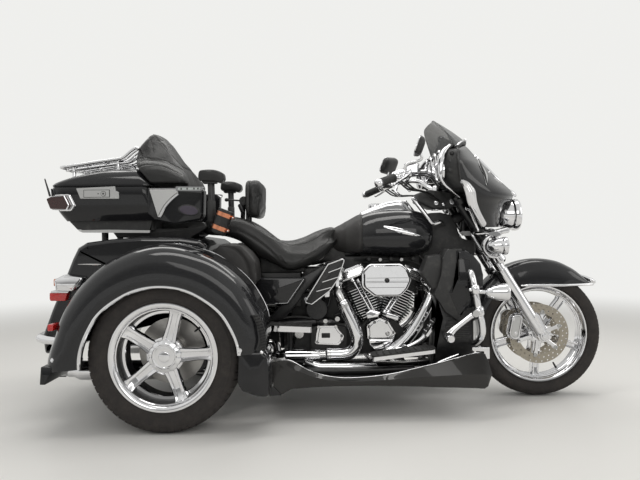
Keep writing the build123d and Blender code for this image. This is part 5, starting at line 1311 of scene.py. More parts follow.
def makePassingLamps():
    look = passingLook
    shape = Shape(chrome, clearLens, amberLens)
    r = look["r"]
    for side in (-1, 1):
        spot = (look["x"], side * look["y"], look["z"])
        shape.lathe([(0.0, -0.085), (0.010, -0.084), (0.022, -0.076), (0.033, -0.058), (0.0385, -0.036),
                     (0.0395, -0.016), (0.0385, -0.012), (r + 0.002, -0.008), (r + 0.0035, 0.004),
                     (r + 0.001, 0.014), (r - 0.004, 0.016), (r - 0.006, 0.006), (0.020, -0.024),
                     (0.0, -0.030)], spot, axis="X", sides=48)
        shape.lathe([(0.0, 0.022), (0.018, 0.0205), (0.030, 0.0155), (0.0355, 0.010), (0.0340, 0.008),
                     (0.018, 0.0175), (0.0, 0.019)], spot, axis="X", sides=40, slot=1)
        shape.tube([(look["x"] - 0.030, side * look["y"], look["z"] + 0.034),
                    (look["x"] - 0.036, side * (look["y"] - 0.006),
                   look["z"] + 0.060), (look["x"] - 0.050, side * (look["y"] - 0.02), look["z"] + 0.072)],
                   [0.014, 0.012, 0.012], sides=14)
        arm = flowing([(look["x"] - 0.052, side * (look["y"] + 0.004), look["z"] + 0.064),
                       (look["x"] - 0.088, side * (look["y"] - 0.004), look["z"] + 0.030),
                       (look["x"] - 0.096, side * (look["y"] - 0.012), look["z"] - 0.010),
                       (look["x"] - 0.072, side * (look["y"] - 0.012), look["z"] - 0.046),
                       (look["x"] - 0.030, side * (look["y"] - 0.016), look["z"] - 0.056)], 6)
        count = len(arm)
        shape.tube(arm, [0.011 + 0.006 * math.sin(math.pi * i / (count - 1)) for i in range(count)], sides=14,
                   squeeze=0.6)
        soft([(0.690, 0.834), (0.790, 0.842), (0.862, 0.860), (0.880, 0.852), (0.874, 0.832), (0.838, 0.826),
              (0.826, 0.804), (0.802, 0.800), (0.776, 0.822), (0.716, 0.824)], 0.116, 0.172, 0.006, 0, shape,
             0.010,
             sign=side)
        brace = flowing([(0.692, side * 0.150, 0.828), (0.714, side * 0.152, 0.788),
                         (0.740, side * 0.154, 0.748), (0.778, side * 0.158, 0.728),
                         (0.812, side * 0.164, 0.724)], 6)
        shape.tube(brace, [0.006] + [0.011] * (len(brace) - 2) + [0.008], sides=14, squeeze=0.7)
    rows = []
    for y in np.linspace(-0.222, 0.222, 33):
        t = abs(y) / 0.222
        front, back = 0.876 - 0.060 * t ** 2, 0.768 - 0.010 * t
        drop = 0.012 * t ** 2
        z = 0.842 - drop
        rows.append([(back, y, z - 0.010), (front - 0.012, y, z - 0.014), (front, y, z - 0.008),
                     (front - 0.002, y, z + 0.001), (front - 0.03, y, z + 0.008),
                     (back + 0.03, y, z + 0.010), (back, y, z + 0.004)])
    shape.skin(rows)
    shape.piece("passingLampPair", "front_end", ("passing_lamps",), "chrome", sharp=40)


makeFairing()
makeInnerFairing()
makeShield()
makeHeadlamp()
makePassingLamps()
print("fairing and lamps ready")


# handlebar with its grips, switch boxes, levers and jar, the mirrors and the cables
barLook = {"gripOut": (0.214, 0.418, 1.060), "gripIn": (0.322, 0.306, 1.104), "barRadius": 0.0127,
           "gripRadius": 0.0180, "gripShare": 0.80}


def makeHandlebar():
    shape = Shape(chrome, rubberBlack, chromeDull, blackPlastic)
    for side in (-1, 1):
        out = Vector((barLook["gripOut"][0], side * barLook["gripOut"][1], barLook["gripOut"][2]))
        inner = Vector((barLook["gripIn"][0], side * barLook["gripIn"][1], barLook["gripIn"][2]))
        run = (inner - out).normalized()
        path = flowing([inner - run * 0.02, inner, (0.368, side * 0.265, 1.112), (0.440, side * 0.215, 1.120),
                        (0.492, side * 0.180, 1.112), (0.535, side * 0.120, 1.078),
                        (0.548, side * 0.060, 1.056), (0.550, 0, 1.052)], 6)
        shape.tube(path, barLook["barRadius"], sides=22)
        # grip: a ribbed sleeve between two bright collars, with an end cap
        length = (inner - out).length * barLook["gripShare"]
        shape.tube([out, out + run * length], barLook["gripRadius"], sides=28, slot=1)
        for t in np.linspace(0.06, 0.94, 15):
            spot = out + run * length * t
            shape.tube([spot - run * 0.0022, spot, spot + run * 0.0022],
                       [barLook["gripRadius"] + 0.0002, barLook["gripRadius"] + 0.0013,
                        barLook["gripRadius"] + 0.0002],
                       sides=28, slot=1, dome=False)
        for t, size, wide in ((0.0, 0.0195, 0.014), (1.0, 0.0260, 0.008)):
            spot = out + run * length * t
            shape.tube([spot - run * wide * 0.6, spot + run * wide * 0.6], size, sides=28)
        # switch box of two halves with small keys, and the lever's clamp
        box = inner + run * 0.012
        for low, high, size in ((-0.026, 0.030, 0.0265), (-0.030, -0.026, 0.0275)):
            shape.tube([box + run * low, box + run * high], size, sides=28, slot=0)
        shape.tube([box + run * 0.034, box + run * 0.056], 0.0215, sides=24, slot=2)
        for along, up in ((-0.014, 0.010), (0.004, 0.012), (0.018, -0.004), (-0.008, -0.012)):
            shape.box(box + run * along + Vector((-0.0255, 0, up)), (0.008, 0.013, 0.009), 3)
        # lever: a flat blade with a ball end, ahead of the grip
        pivot = inner + run * 0.030 + Vector((0.030, side * 0.002, 0.006))
        blade = flowing([pivot, pivot - run * 0.030 + Vector((0.010, 0, -0.004)),
                         out + run * 0.070 + Vector((0.052, 0, -0.006)),
                         out + run * 0.020 + Vector((0.060, 0, -0.008)),
                         out + Vector((0.056, 0, -0.008))], 6)
        count = len(blade)
        shape.tube(blade, [0.0075] * (count - 3) + [0.0080, 0.0098, 0.0085], sides=14, squeeze=0.8)
        shape.tube([pivot + Vector((0, 0, -0.014)), pivot + Vector((0, 0, 0.014))], 0.011, sides=20, slot=0)
        # jar of brake fluid on each side with its flat lid
        jar = inner + run * 0.048 + Vector((0.030, 0, 0.018))
        base = rounded([(-0.034, -0.022), (0.034, -0.022), (0.034, 0.022), (-0.034, 0.022)], 0.012, 5)
        for low, high, k, slot in ((-0.014, 0.018, 0.92, 0), (0.017, 0.026, 1.0, 0), (0.026, 0.029, 0.86, 2)):
            shape.skin([[jar + Vector((u * k, v * k, h)) for u, v in base] for h in (low, high)], slot)
        # riser under the bar
        shape.lathe([(0.0, 0.950), (0.019, 0.950), (0.019, 1.030), (0.026, 1.038), (0.026, 1.066),
                     (0.020, 1.074), (0.0, 1.074)], (0.546, side * 0.040, 0), axis="Z", sides=28)
        # bright stay under the bar
        shape.tube([(0.362, side * 0.200, 1.062), (0.372, side * 0.230, 1.098),
                    (0.378, side * 0.252, 1.108)], 0.0085,
                   sides=12)
        shape.tube([(0.362, side * 0.200, 1.062), (0.386, side * 0.201, 1.040)], 0.0085, sides=12)
        # cables from the levers and switches into the steering cowl
        for k, start in enumerate((Vector((0.330, side * 0.300, 1.080)), Vector((0.352, side * 0.285, 1.078)),
                                   Vector((0.318, side * 0.306, 1.076)))):
            cable = [start, start + Vector((0.052, -side * 0.040, -0.034)),
                     (0.452 + 0.012 * k, side * (0.170 - 0.012 * k), 1.036),
                     (0.530, side * (0.112 - 0.01 * k), 0.998 + 0.006 * k),
                     (0.574, side * 0.080, 0.985 + 0.008 * k)]
            shape.tube(flowing(cable, 6), 0.0042, sides=10, slot=3)
    shape.piece("handleBars", "front_end", ("handlebar",), "chrome", sharp=40)
    cowl = Shape(blackPlastic, chrome)
    outline = rounded([(0.512, 0.956), (0.436, 0.992), (0.440, 1.036), (0.500, 1.052), (0.560, 1.044),
                       (0.640, 1.030), (0.672, 0.985), (0.600, 0.955)],
                      0.014, 4)
    cowl.skin([[(x * k + 0.585 * (1 - k), y, z * k + 0.992 * (1 - k)) for x, z in outline]
               for y, k in ((-0.092, 0.86), (-0.088, 0.96), (-0.078, 1.0), (0.078, 1.0), (0.088, 0.96),
                            (0.092, 0.86))])
    cowl.lathe([(0.0, 1.046), (0.016, 1.045), (0.020, 1.040), (0.020, 1.020), (0.0, 1.020)], (0.592, 0, 0),
               axis="Z",
               sides=28, slot=1)
    for side in (-1, 1):
        for x, z, r in ((0.530, 0.985, 0.013), (0.566, 0.978, 0.009), (0.610, 0.990, 0.016)):
            cowl.lathe([(0.0, side * 0.010), (r * 0.8, side * 0.009), (r, side * 0.005), (r, -side * 0.008),
                        (0.0, -side * 0.008)], (x, side * 0.092, z), sides=24, slot=1)
    cowl.piece("steeringCowl", "front_end", (), "black_plastic", sharp=40)


# mirror heads: middle, height, width, turn and lean of each, near then far
mirrorLook = {-1: {"head": (0.402, -0.380, 1.232), "tall": 0.096, "wide": 0.140, "turn": -9, "lean": -20},
              1: {"head": (0.348, 0.386, 1.222), "tall": 0.106, "wide": 0.150, "turn": -36, "lean": -24}}


def makeMirrors():
    shape = Shape(blackPlastic, mirrorGlass, chrome)
    for side, look in mirrorLook.items():
        head = Vector(look["head"])
        lean = Matrix.Rotation(math.radians(-look["lean"]), 3, "Y")
        outline = rounded([(-look["wide"] / 2, -look["tall"] * 0.42), (look["wide"] / 2, -look["tall"] * 0.5),
                           (look["wide"] / 2, look["tall"] * 0.5), (-look["wide"] / 2, look["tall"] * 0.42)],
                          0.036, 7)
        spin = Matrix.Rotation(math.radians(look["turn"]), 3, "Z") @ lean
        for rows, slot in ((((0.022, 0.45), (0.019, 0.72), (0.011, 0.93), (0.0, 1.0), (-0.008, 0.99)), 0),
                           (((-0.006, 0.96), (-0.0095, 0.95)), 1)):
            shape.skin([[head + spin @ Vector((dx, u * k, v * k)) for u, v in outline] for dx, k in rows],
                       slot)
        edge = [head + spin @ Vector((-0.007, u, v)) for u, v in outline]
        shape.tube([*edge, edge[0]], 0.0026, sides=8, slot=2)
        foot = Vector((0.342, side * 0.306, 1.114))
        root = head + spin @ Vector((0.020, -side * 0.020, -look["tall"] * 0.30))
        stem = flowing([foot, foot + Vector((0.012, side * 0.014, 0.040)),
                        root + Vector((0.0, -side * 0.008, -0.026)),
                        root], 7)
        shape.tube(stem, 0.0062, sides=14, slot=2)
        shape.tube([foot + Vector((-0.001, -side * 0.001, -0.006)),
                    foot + Vector((0.002, side * 0.002, 0.014))], 0.0105,
                   sides=18, slot=2)
    shape.piece("mirrorPair", "front_end", ("mirrors",), "chrome", sharp=40)


makeHandlebar()
makeMirrors()
print("bars ready")


# soft goods: closed forms held along their seams and puffed by a short cloth run
softLook = {"grain": 0.0062, "pressure": 4.0, "frames": 20, "grooveReach": 0.012, "grooveDepth": 0.0042,
            "heldReach": 0.004, "moveLimit": 0.010, "inset": 0.003, "pipingRadius": 0.0017}


def baked(thing):
    graph = bpy.context.evaluated_depsgraph_get()
    made = bpy.data.meshes.new_from_object(thing.evaluated_get(graph))
    thing.modifiers.clear()
    spare = thing.data
    thing.data = made
    bpy.data.meshes.remove(spare)
    return made


def dense(path, pitch):
    # a path cut into even short steps
    path = [Vector(p) for p in path]
    out = [path[0]]
    for a, b in zip(path, path[1:]):
        count = max(1, round((b - a).length / pitch))
        out += [a.lerp(b, (k + 1) / count) for k in range(count)]
    return out


def crease(mesh, seams, reach, depth):
    # presses the skin in along the seams and lists the points that lie on them
    points = [p for seam in seams for p in dense(seam, 0.003)]
    held = []
    if not points:
        return held
    tree = KDTree(len(points))
    for i, p in enumerate(points):
        tree.insert(p, i)
    tree.balance()
    for vert in mesh.vertices:
        away = tree.find(vert.co)[2]
        if away < reach:
            share = 1 - away / reach
            vert.co -= vert.normal * depth * share * share
        if away < softLook["heldReach"]:
            held.append(vert.index)
    return held


def puff(thing, held):
    start = [v.co.copy() for v in thing.data.vertices]
    group = thing.vertex_groups.new(name="held")
    group.add(held, 1.0, "REPLACE")
    cloth = thing.modifiers.new("cloth", "CLOTH")
    cloth.settings.quality = 4
    cloth.settings.use_pressure = True
    cloth.settings.uniform_pressure_force = softLook["pressure"]
    cloth.settings.effector_weights.gravity = 0
    cloth.settings.vertex_group_mass = "held"
    cloth.point_cache.frame_start, cloth.point_cache.frame_end = 1, softLook["frames"]
    for step in range(1, softLook["frames"] + 1):
        scene.frame_set(step)
    made = baked(thing)
    for vert, before in zip(made.vertices, start):
        move = vert.co - before
        if move.length > softLook["moveLimit"]:
            vert.co = before + move * (softLook["moveLimit"] / move.length)
    scene.frame_set(1)
    thing.vertex_groups.clear()


def cushion(shape, name, body, stands=(), seams=(), grain=None, rounds=4, levels=1):
    bmesh.ops.recalc_face_normals(shape.bm, faces=shape.bm.faces[:])
    mesh = bpy.data.meshes.new(name)
    shape.bm.to_mesh(mesh)
    shape.bm.free()
    for material in shape.materials:
        mesh.materials.append(material)
    thing = bpy.data.objects.new(name, mesh)
    scene.collection.objects.link(thing)
    even = thing.modifiers.new("even", "REMESH")
    even.mode, even.voxel_size, even.use_smooth_shade = "VOXEL", grain or softLook["grain"], True
    relax = thing.modifiers.new("relax", "SMOOTH")
    relax.factor, relax.iterations = 0.5, rounds
    mesh = baked(thing)
    held = crease(mesh, seams, softLook["grooveReach"], softLook["grooveDepth"])
    low = min(v.co.z for v in mesh.vertices) + 0.012
    held += [v.index for v in mesh.vertices if v.co.z < low or v.normal.z < -0.6]
    puff(thing, held)
    if levels:
        finer = thing.modifiers.new("finer", "SUBSURF")
        finer.levels = finer.render_levels = levels
    settle(thing, body, stands)
    return thing


def onSkin(thing, path, lift=0.0, pitch=0.006):
    # the path laid on the piece's own skin
    tree = BVHTree.FromPolygons([v.co for v in thing.data.vertices],
                                [p.vertices for p in thing.data.polygons])
    out = []
    for p in dense(path, pitch):
        spot, normal = tree.find_nearest(p)[:2]
        out.append(spot + normal * lift)
    return out


def piping(thing, seams, name, body, radius=None, material=None):
    size = radius or softLook["pipingRadius"]
    shape = Shape(material or leather)
    for seam in seams:
        shape.tube(onSkin(thing, seam, lift=-size * 0.35), size, sides=8)
    return shape.piece(name, body, sharp=80)


def ringOf(points, steps):
    # a closed smooth ring through control points
    points = [Vector(p) for p in points]
    count = len(points)
    out = []
    for i in range(count):
        a, b, c, d = (points[(i + k) % count] for k in (-1, 0, 1, 2))
        out.extend(curvePoints(a, b, c, d, steps))
    return out


# seat stations: x, half width, bolster top z, middle z, bottom z
seatLook = [(-0.632, 0.150, 0.900, 0.895, 0.845), (-0.605, 0.176, 0.918, 0.902, 0.834),
            (-0.520, 0.181, 0.931, 0.908, 0.826), (-0.440, 0.182, 0.921, 0.895, 0.796),
            (-0.360, 0.184, 0.880, 0.862, 0.730), (-0.275, 0.187, 0.814, 0.806, 0.684),
            (-0.205, 0.184, 0.768, 0.796, 0.652), (-0.130, 0.168, 0.772, 0.815, 0.668),
            (-0.065, 0.144, 0.794, 0.845, 0.692), (-0.020, 0.120, 0.812, 0.866, 0.728),
            (0.014, 0.098, 0.818, 0.872, 0.770), (0.036, 0.070, 0.815, 0.856, 0.800)]


def seatRing(x, shrink=0.0):
    half, bolster, middle, low = columns(seatLook, x)
    half, bolster, middle, low = half - shrink, bolster - shrink, middle - shrink, low + shrink
    side = [(half * 0.80, low), (half, low + 0.030), (half + 0.002, low * 0.5 + bolster * 0.5),
            (half - 0.006, bolster - 0.024), (half - 0.036, bolster),
            (half * 0.52, middle + 0.2 * (bolster - middle))]
    right = [(x, -y, z) for y, z in side]
    left = [(x, y, z) for y, z in reversed(side)]
    return ringOf([(x, 0, low), *right, (x, 0, middle), *left], 4)


def seatLine(places, share):
    # a line along both sides of the seat; share runs from 0 at its bottom to 1 at the bolster's top
    lines = []
    for sign in (-1, 1):
        line = []
        for x, part in zip(places, share):
            half, bolster, middle, low = columns(seatLook, x)
            line.append((x, sign * (half - 0.010 * max(0.0, part - 0.6)), low + (bolster - low) * part))
        lines.append(flowing(line, 5))
    return lines


def makeSeat():
    stations = list(np.arange(-0.632, 0.0361, 0.0167))
    shape = Shape(leather).skin([seatRing(x, softLook["inset"]) for x in stations])
    spots = np.linspace(-0.600, -0.215, 9)
    sideSeams = seatLine(spots, [0.28, 0.25, 0.28, 0.42, 0.46, 0.50, 0.48, 0.34, 0.14])
    topSeams = []
    for sign in (-1, 1):
        topSeams.append(flowing([(-0.600, sign * 0.118, 0.912), (-0.520, sign * 0.120, 0.922),
                                 (-0.440, sign * 0.122, 0.908), (-0.360, sign * 0.124, 0.868),
                                 (-0.280, sign * 0.126, 0.812), (-0.200, sign * 0.120, 0.788),
                                 (-0.120, sign * 0.106, 0.800), (-0.050, sign * 0.088, 0.838),
                                 (0.000, sign * 0.066, 0.862)], 5))
        topSeams.append(flowing([(0.020, sign * 0.066, 0.852), (-0.010, sign * 0.104, 0.805),
                                 (-0.060, sign * 0.140, 0.762), (-0.134, sign * 0.168, 0.716)], 5))
        topSeams.append(flowing([(-0.246, sign * 0.186, 0.726), (-0.228, sign * 0.186, 0.690),
                                 (-0.196, sign * 0.182, 0.672)], 5))
    across = [flowing([(x, -0.120, z), (x - 0.012, 0, z - 0.010), (x, 0.120, z)], 6)
              for x, z in ((-0.395, 0.890), (-0.300, 0.820))]
    seams = sideSeams + topSeams + across
    thing = cushion(shape, "seatCover", "chassis", ("seat",), seams)
    piping(thing, sideSeams + topSeams, "seatPiping", "chassis")
    return thing, seams


# passenger backrest sections from the middle outwards: y, then seven (x, z) corners
backLook = [(0.000, (-0.860, 1.080), (-0.963, 1.215), (-0.945, 1.288), (-0.884, 1.366), (-0.818, 1.300),
             (-0.744, 1.180), (-0.712, 1.080)),
            (0.085, (-0.860, 1.080), (-0.963, 1.215), (-0.945, 1.285), (-0.885, 1.358), (-0.817, 1.296),
             (-0.738, 1.178), (-0.706, 1.080)),
            (0.125, (-0.860, 1.080), (-0.961, 1.213), (-0.946, 1.268), (-0.894, 1.318), (-0.820, 1.274),
             (-0.728, 1.172), (-0.700, 1.080)),
            (0.152, (-0.858, 1.080), (-0.955, 1.205), (-0.938, 1.232), (-0.890, 1.252), (-0.814, 1.234),
             (-0.714, 1.156), (-0.690, 1.080)),
            (0.185, (-0.856, 1.080), (-0.945, 1.192), (-0.922, 1.206), (-0.872, 1.208), (-0.798, 1.196),
             (-0.704, 1.140), (-0.682, 1.080)),
            (0.240, (-0.852, 1.080), (-0.932, 1.176), (-0.906, 1.190), (-0.854, 1.190), (-0.784, 1.178),
             (-0.698, 1.126), (-0.678, 1.080)),
            (0.276, (-0.850, 1.080), (-0.908, 1.150), (-0.888, 1.164), (-0.846, 1.167), (-0.784, 1.158),
             (-0.702, 1.118), (-0.686, 1.080)),
            (0.290, (-0.846, 1.086), (-0.882, 1.126), (-0.872, 1.136), (-0.838, 1.142), (-0.784, 1.136),
             (-0.714, 1.106), (-0.702, 1.086))]


def makePassengerBackrest():
    flat = [(row[0], *[c for corner in row[1:] for c in corner]) for row in backLook]
    rings = []
    for y in np.linspace(-0.290, 0.290, 47):
        numbers = columns(flat, abs(y))
        corners = [(numbers[2 * i], y, numbers[2 * i + 1]) for i in range(7)]
        rings.append(rounded(corners, [0.012, 0.022, 0.05, 0.035, 0.06, 0.04, 0.012], 5))
    shape = Shape(leather).skin(rings)
    seams = []
    for sign in (-1, 1):
        seams.append(flowing([(-0.884, sign * 0.092, 1.360), (-0.832, sign * 0.112, 1.296),
                              (-0.790, sign * 0.120, 1.236), (-0.752, sign * 0.122, 1.178),
                              (-0.728, sign * 0.122, 1.120)], 5))
        seams.append(flowing([(-0.963, sign * 0.100, 1.212), (-0.930, sign * 0.160, 1.206),
                              (-0.882, sign * 0.176, 1.212), (-0.812, sign * 0.180, 1.200),
                              (-0.740, sign * 0.172, 1.168), (-0.706, sign * 0.160, 1.140)], 5))
        seams.append(flowing([(-0.902, sign * 0.105, 1.338), (-0.878, sign * 0.130, 1.288),
                              (-0.862, sign * 0.150, 1.232)], 5))
        seams.append(flowing([(-0.918, sign * 0.262, 1.156), (-0.862, sign * 0.270, 1.176),
                              (-0.790, sign * 0.270, 1.162), (-0.706, sign * 0.262, 1.124)], 5))
    seams.append(flowing([(-0.736, -0.110, 1.178), (-0.744, 0, 1.180), (-0.736, 0.110, 1.178)], 6))
    thing = cushion(shape, "passengerBackrestCover", "box_lid", ("passenger_backrest",), seams)
    piping(thing, seams, "passengerBackrestPiping", "box_lid")
    return thing, seams


def makeRiderBackrest():
    low, high, half = 0.918, 1.112, 0.150
    rings = []
    for share in np.linspace(0, 1, 9):
        x = -0.404 + 0.060 * share
        pinch = 0.020 * (2 * share - 1) ** 4
        outline = rounded([(-half + pinch, low + pinch), (half - pinch, low + pinch),
                           (half - pinch, high - pinch), (-half + pinch, high - pinch)], 0.055, 7)
        rings.append([(x + 0.014 * (p[0] / half) ** 2 * -1 + 0.006, p[0], p[1]) for p in outline])
    shape = Shape(leather).skin(rings)
    edge = rounded([(-half + 0.012, low + 0.012), (half - 0.012, low + 0.012), (half - 0.012, high - 0.012),
                    (-half + 0.012, high - 0.012)], 0.05, 7)
    rim = [(-0.352 - 0.014 * (p[0] / half) ** 2, p[0], p[1]) for p in edge]
    thing = cushion(shape, "riderBackrestCover", "chassis", ("rider_backrest",), [rim + rim[:1]])
    piping(thing, [rim + rim[:1]], "riderBackrestPiping", "chassis", radius=0.0024)
    shell = Shape(blackPlastic)
    back = rounded([(-half + 0.006, low + 0.006), (half - 0.006, low + 0.006), (half - 0.006, high - 0.006),
                    (-half + 0.006, high - 0.006)], 0.055, 7)
    shell.skin([[(-0.411 + dx - 0.010 * (p[0] / half) ** 2, p[0] * k, 1.015 + (p[1] - 1.015) * k) for p
                 in back]
                for dx, k in ((0.020, 1.0), (0.006, 1.0), (0.0, 0.94))])
    shell.piece("riderBackrestShell", "chassis", bevel=0.003)
    return thing


def makeArmrests():
    outline = rounded([(-0.612, 1.094), (-0.606, 1.134), (-0.530, 1.134), (-0.492, 1.118), (-0.490, 1.088),
                       (-0.508, 1.072), (-0.528, 1.080), (-0.600, 1.082)], 0.014, 5)
    shape = Shape(leather)
    for y in (-0.366, 0.294):
        shape.prism(outline, y, y + 0.072)
    return cushion(shape, "armrestPads", "chassis", ("armrests",), [], grain=0.0045, rounds=8)


def makePouches():
    outline = rounded([(-0.532, 0.742), (-0.512, 0.792), (-0.412, 0.787), (-0.344, 0.712), (-0.339, 0.612),
                       (-0.412, 0.600)], 0.022, 5)
    shape = Shape(leatherSoft)
    seams = []
    for sign in (-1, 1):
        shape.prism(outline, sign * 0.192, sign * 0.412)
        seams.append(flowing([(-0.500, sign * 0.414, 0.790), (-0.442, sign * 0.414, 0.770),
                              (-0.403, sign * 0.414, 0.734), (-0.380, sign * 0.414, 0.680),
                              (-0.372, sign * 0.414, 0.616)], 5))
    thing = cushion(shape, "pouchPair", "chassis", ("side_pouches",), seams, rounds=6)
    piping(thing, seams, "pouchPiping", "chassis")
    return thing


seatCover, seatSeams = makeSeat()
backCover, backSeams = makePassengerBackrest()
makeRiderBackrest()
makeArmrests()
makePouches()
print("soft goods ready")


# fuel tank with its console, bib and side trim
# tank stations: x, half width, bottom z, top z
tankLook = [(-0.006, 0.030, 0.765, 0.842), (0.012, 0.050, 0.752, 0.856), (0.040, 0.070, 0.744, 0.868),
            (0.075, 0.092, 0.736, 0.886), (0.156, 0.128, 0.724, 0.932), (0.220, 0.148, 0.717, 0.950),
            (0.321, 0.162, 0.711, 0.9605), (0.400, 0.164, 0.712, 0.957), (0.459, 0.156, 0.721, 0.943),
            (0.494, 0.136, 0.738, 0.922), (0.512, 0.108, 0.762, 0.898), (0.521, 0.066, 0.796, 0.866)]


def tankRing(x, grow=0.0, sides=56, start=0.0, turn=2 * math.pi):
    half, low, high = columns(tankLook, x)
    middle, tall = (low + high) / 2, (high - low) / 2 + grow
    ring = []
    for i in range(sides):
        a = start + turn * i / (sides if turn > 6 else sides - 1)
        c, s = math.cos(a), math.sin(a)
        y = (half + grow) * math.copysign(abs(c) ** 0.80, c)
        z = middle + tall * math.copysign(abs(s) ** (0.86 if s > 0 else 0.66), s)
        ring.append((x, y * (1.0 - 0.10 * max(0.0, s)), z))
    return ring


def makeTank():
    stations = np.linspace(tankLook[0][0], tankLook[-1][0], 52)
    shape = Shape(paint, chromeDull)
    shape.skin([tankRing(x) for x in stations])
    shape.piece("tankShell", "chassis", ("fuel_tank",), levels=1)

    trim = Shape(chrome, chromeDull)
    for sign in (-1, 1):
        # bare side trim: a slim swept strip
        places = [0.262 + 0.190 * t for t in np.linspace(0, 1, 25)]
        rings = []
        for t, x in zip(np.linspace(0, 1, 25), places):
            wide = 0.011 * math.sin(math.pi * min(1.0, 0.06 + t * 0.94)) ** 0.6 + 0.0008
            half, low, high = columns(tankLook, x)
            z = 0.868 - 0.052 * t
            rows = []
            for dz, lift in ((-wide, 0.000), (-wide * 0.7, 0.003), (0, 0.0045), (wide * 0.7, 0.003),
                             (wide, 0.0), (0, -0.004)):
                share = max(-1.0, min(1.0, (z + dz - (low + high) / 2) / ((high - low) / 2)))
                s = math.copysign(abs(share) ** (1 / (0.86 if share > 0 else 0.66)), share)
                c = math.sqrt(max(0.0, 1 - s * s))
                rows.append((x, sign * ((half + lift) * c ** 0.80 * (1.0 - 0.10 * max(0.0, s))), z + dz))
            rings.append(rows)
        trim.skin(rings)
    trim.piece("tankSideTrim", "chassis")

    cap = Shape(chrome, blackPlastic)
    # console along the tank's crown, then the round filler lid in it
    rings = []
    for x, half, low, high in ((0.150, 0.020, 0.900, 0.934), (0.160, 0.034, 0.904, 0.946),
                               (0.220, 0.040, 0.930, 0.972), (0.290, 0.042, 0.948, 0.996),
                               (0.340, 0.042, 0.950, 1.004), (0.380, 0.041, 0.944, 1.000),
                               (0.398, 0.036, 0.938, 0.984), (0.402, 0.026, 0.932, 0.966)):
        rings.append([(x, p[0], p[1]) for p in rounded([(-half, low), (half, low), (half, high),
                                                        (-half, high)],
                                                       [0.004, 0.004, 0.016, 0.016], 5)])
    cap.skin(rings)
    cap.lathe([(0.0, 0.012), (0.020, 0.012), (0.031, 0.009), (0.033, 0.004), (0.033, -0.012), (0.0, -0.012)],
              (0.232, 0, 0.976), axis="Z", sides=48)
    cap.piece("consoleTop", "chassis", ("tank_console",), bevel=0.0015)


def makeBib():
    places = list(np.linspace(0.000, 0.160, 24))
    shape = Shape(leatherSoft)
    rings = []
    for x in places:
        lean = x / 0.160
        ring = tankRing(x, 0.0045 + 0.004 * math.sin(math.pi * lean), 40, math.radians(-58 + 12 * lean),
                        math.radians(296 - 24 * lean))
        inner = tankRing(x, -0.002, 40, math.radians(-58 + 12 * lean), math.radians(296 - 24 * lean))
        rings.append([*ring, *reversed(inner)])
    shape.skin(rings)
    edges = []
    for x in (0.006, 0.152):
        lean = x / 0.160
        edges.append(tankRing(x, 0.006, 40, math.radians(-58 + 12 * lean), math.radians(296 - 24 * lean)))
    thing = cushion(shape, "tankBib", "chassis", (), edges, grain=0.0042, rounds=3, levels=0)
    piping(thing, edges, "tankBibPiping", "chassis", material=leatherSoft)


makeTank()
makeBib()
print("tank ready")


# travel box: base, lid, latch, lamps, pods, tray and rack
# stations up the box: z, rear x, front x, half width, corner radius
baseLook = [(0.907, -1.266, -0.818, 0.258, 0.050), (0.930, -1.282, -0.826, 0.272, 0.055),
            (0.951, -1.296, -0.834, 0.281, 0.060), (0.990, -1.312, -0.846, 0.286, 0.062),
            (1.030, -1.326, -0.855, 0.289, 0.064), (1.058, -1.328, -0.858, 0.290, 0.066)]
lidLook = [(1.070, -1.324, -0.850, 0.2900, 0.070), (1.078, -1.325, -0.850, 0.2905, 0.070),
           (1.088, -1.314, -0.856, 0.2870, 0.072), (1.102, -1.284, -0.866, 0.2820, 0.080),
           (1.118, -1.240, -0.880, 0.2730, 0.090), (1.134, -1.186, -0.892, 0.2580, 0.100),
           (1.148, -1.126, -0.904, 0.2360, 0.100), (1.158, -1.062, -0.916, 0.2000, 0.090),
           (1.163, -1.000, -0.930, 0.1500, 0.060)]
boxSide = 0.290


def planRing(row, shrink=0.0, steps=8):
    z, back, front, half, corner = row
    back, front, half = back + shrink, front - shrink, half - shrink
    crown = 0.010
    outline = rounded([(back, -half), (front, -half), (front, half), (back, half)],
                      [corner, corner * 0.5, corner * 0.5, corner], steps)
    return [(p[0] - (crown * (1 - (p[1] / half) ** 2) if p[0] < (back + front) / 2 else 0), p[1], z)
            for p in outline]


def sidePlate(shape, outline, depth, thick, slot=0, sign=-1, lean=0.0, radius=0.004):
    # a plate on the box's side; the outline is (x, z)
    corners = rounded(outline, radius, 4)
    rimPoints = [(p[0], sign * (depth + lean * (p[1] - 1.0)), p[1]) for p in corners]
    rings = [[(x, y - sign * 0.006, z) for x, y, z in rimPoints],
             [(x, y + sign * thick * 0.6, z) for x, y, z in rimPoints]]
    middle = Vector((sum(p[0] for p in corners) / len(corners), 0, sum(p[1] for p in corners) / len(corners)))
    inner = []
    for x, y, z in rimPoints:
        step = Vector((middle.x - x, 0, middle.z - z))
        step = step.normalized() * min(0.0012, step.length * 0.3)
        inner.append((x + step.x, y + sign * thick, z + step.z))
    shape.skin([*rings, inner], slot)


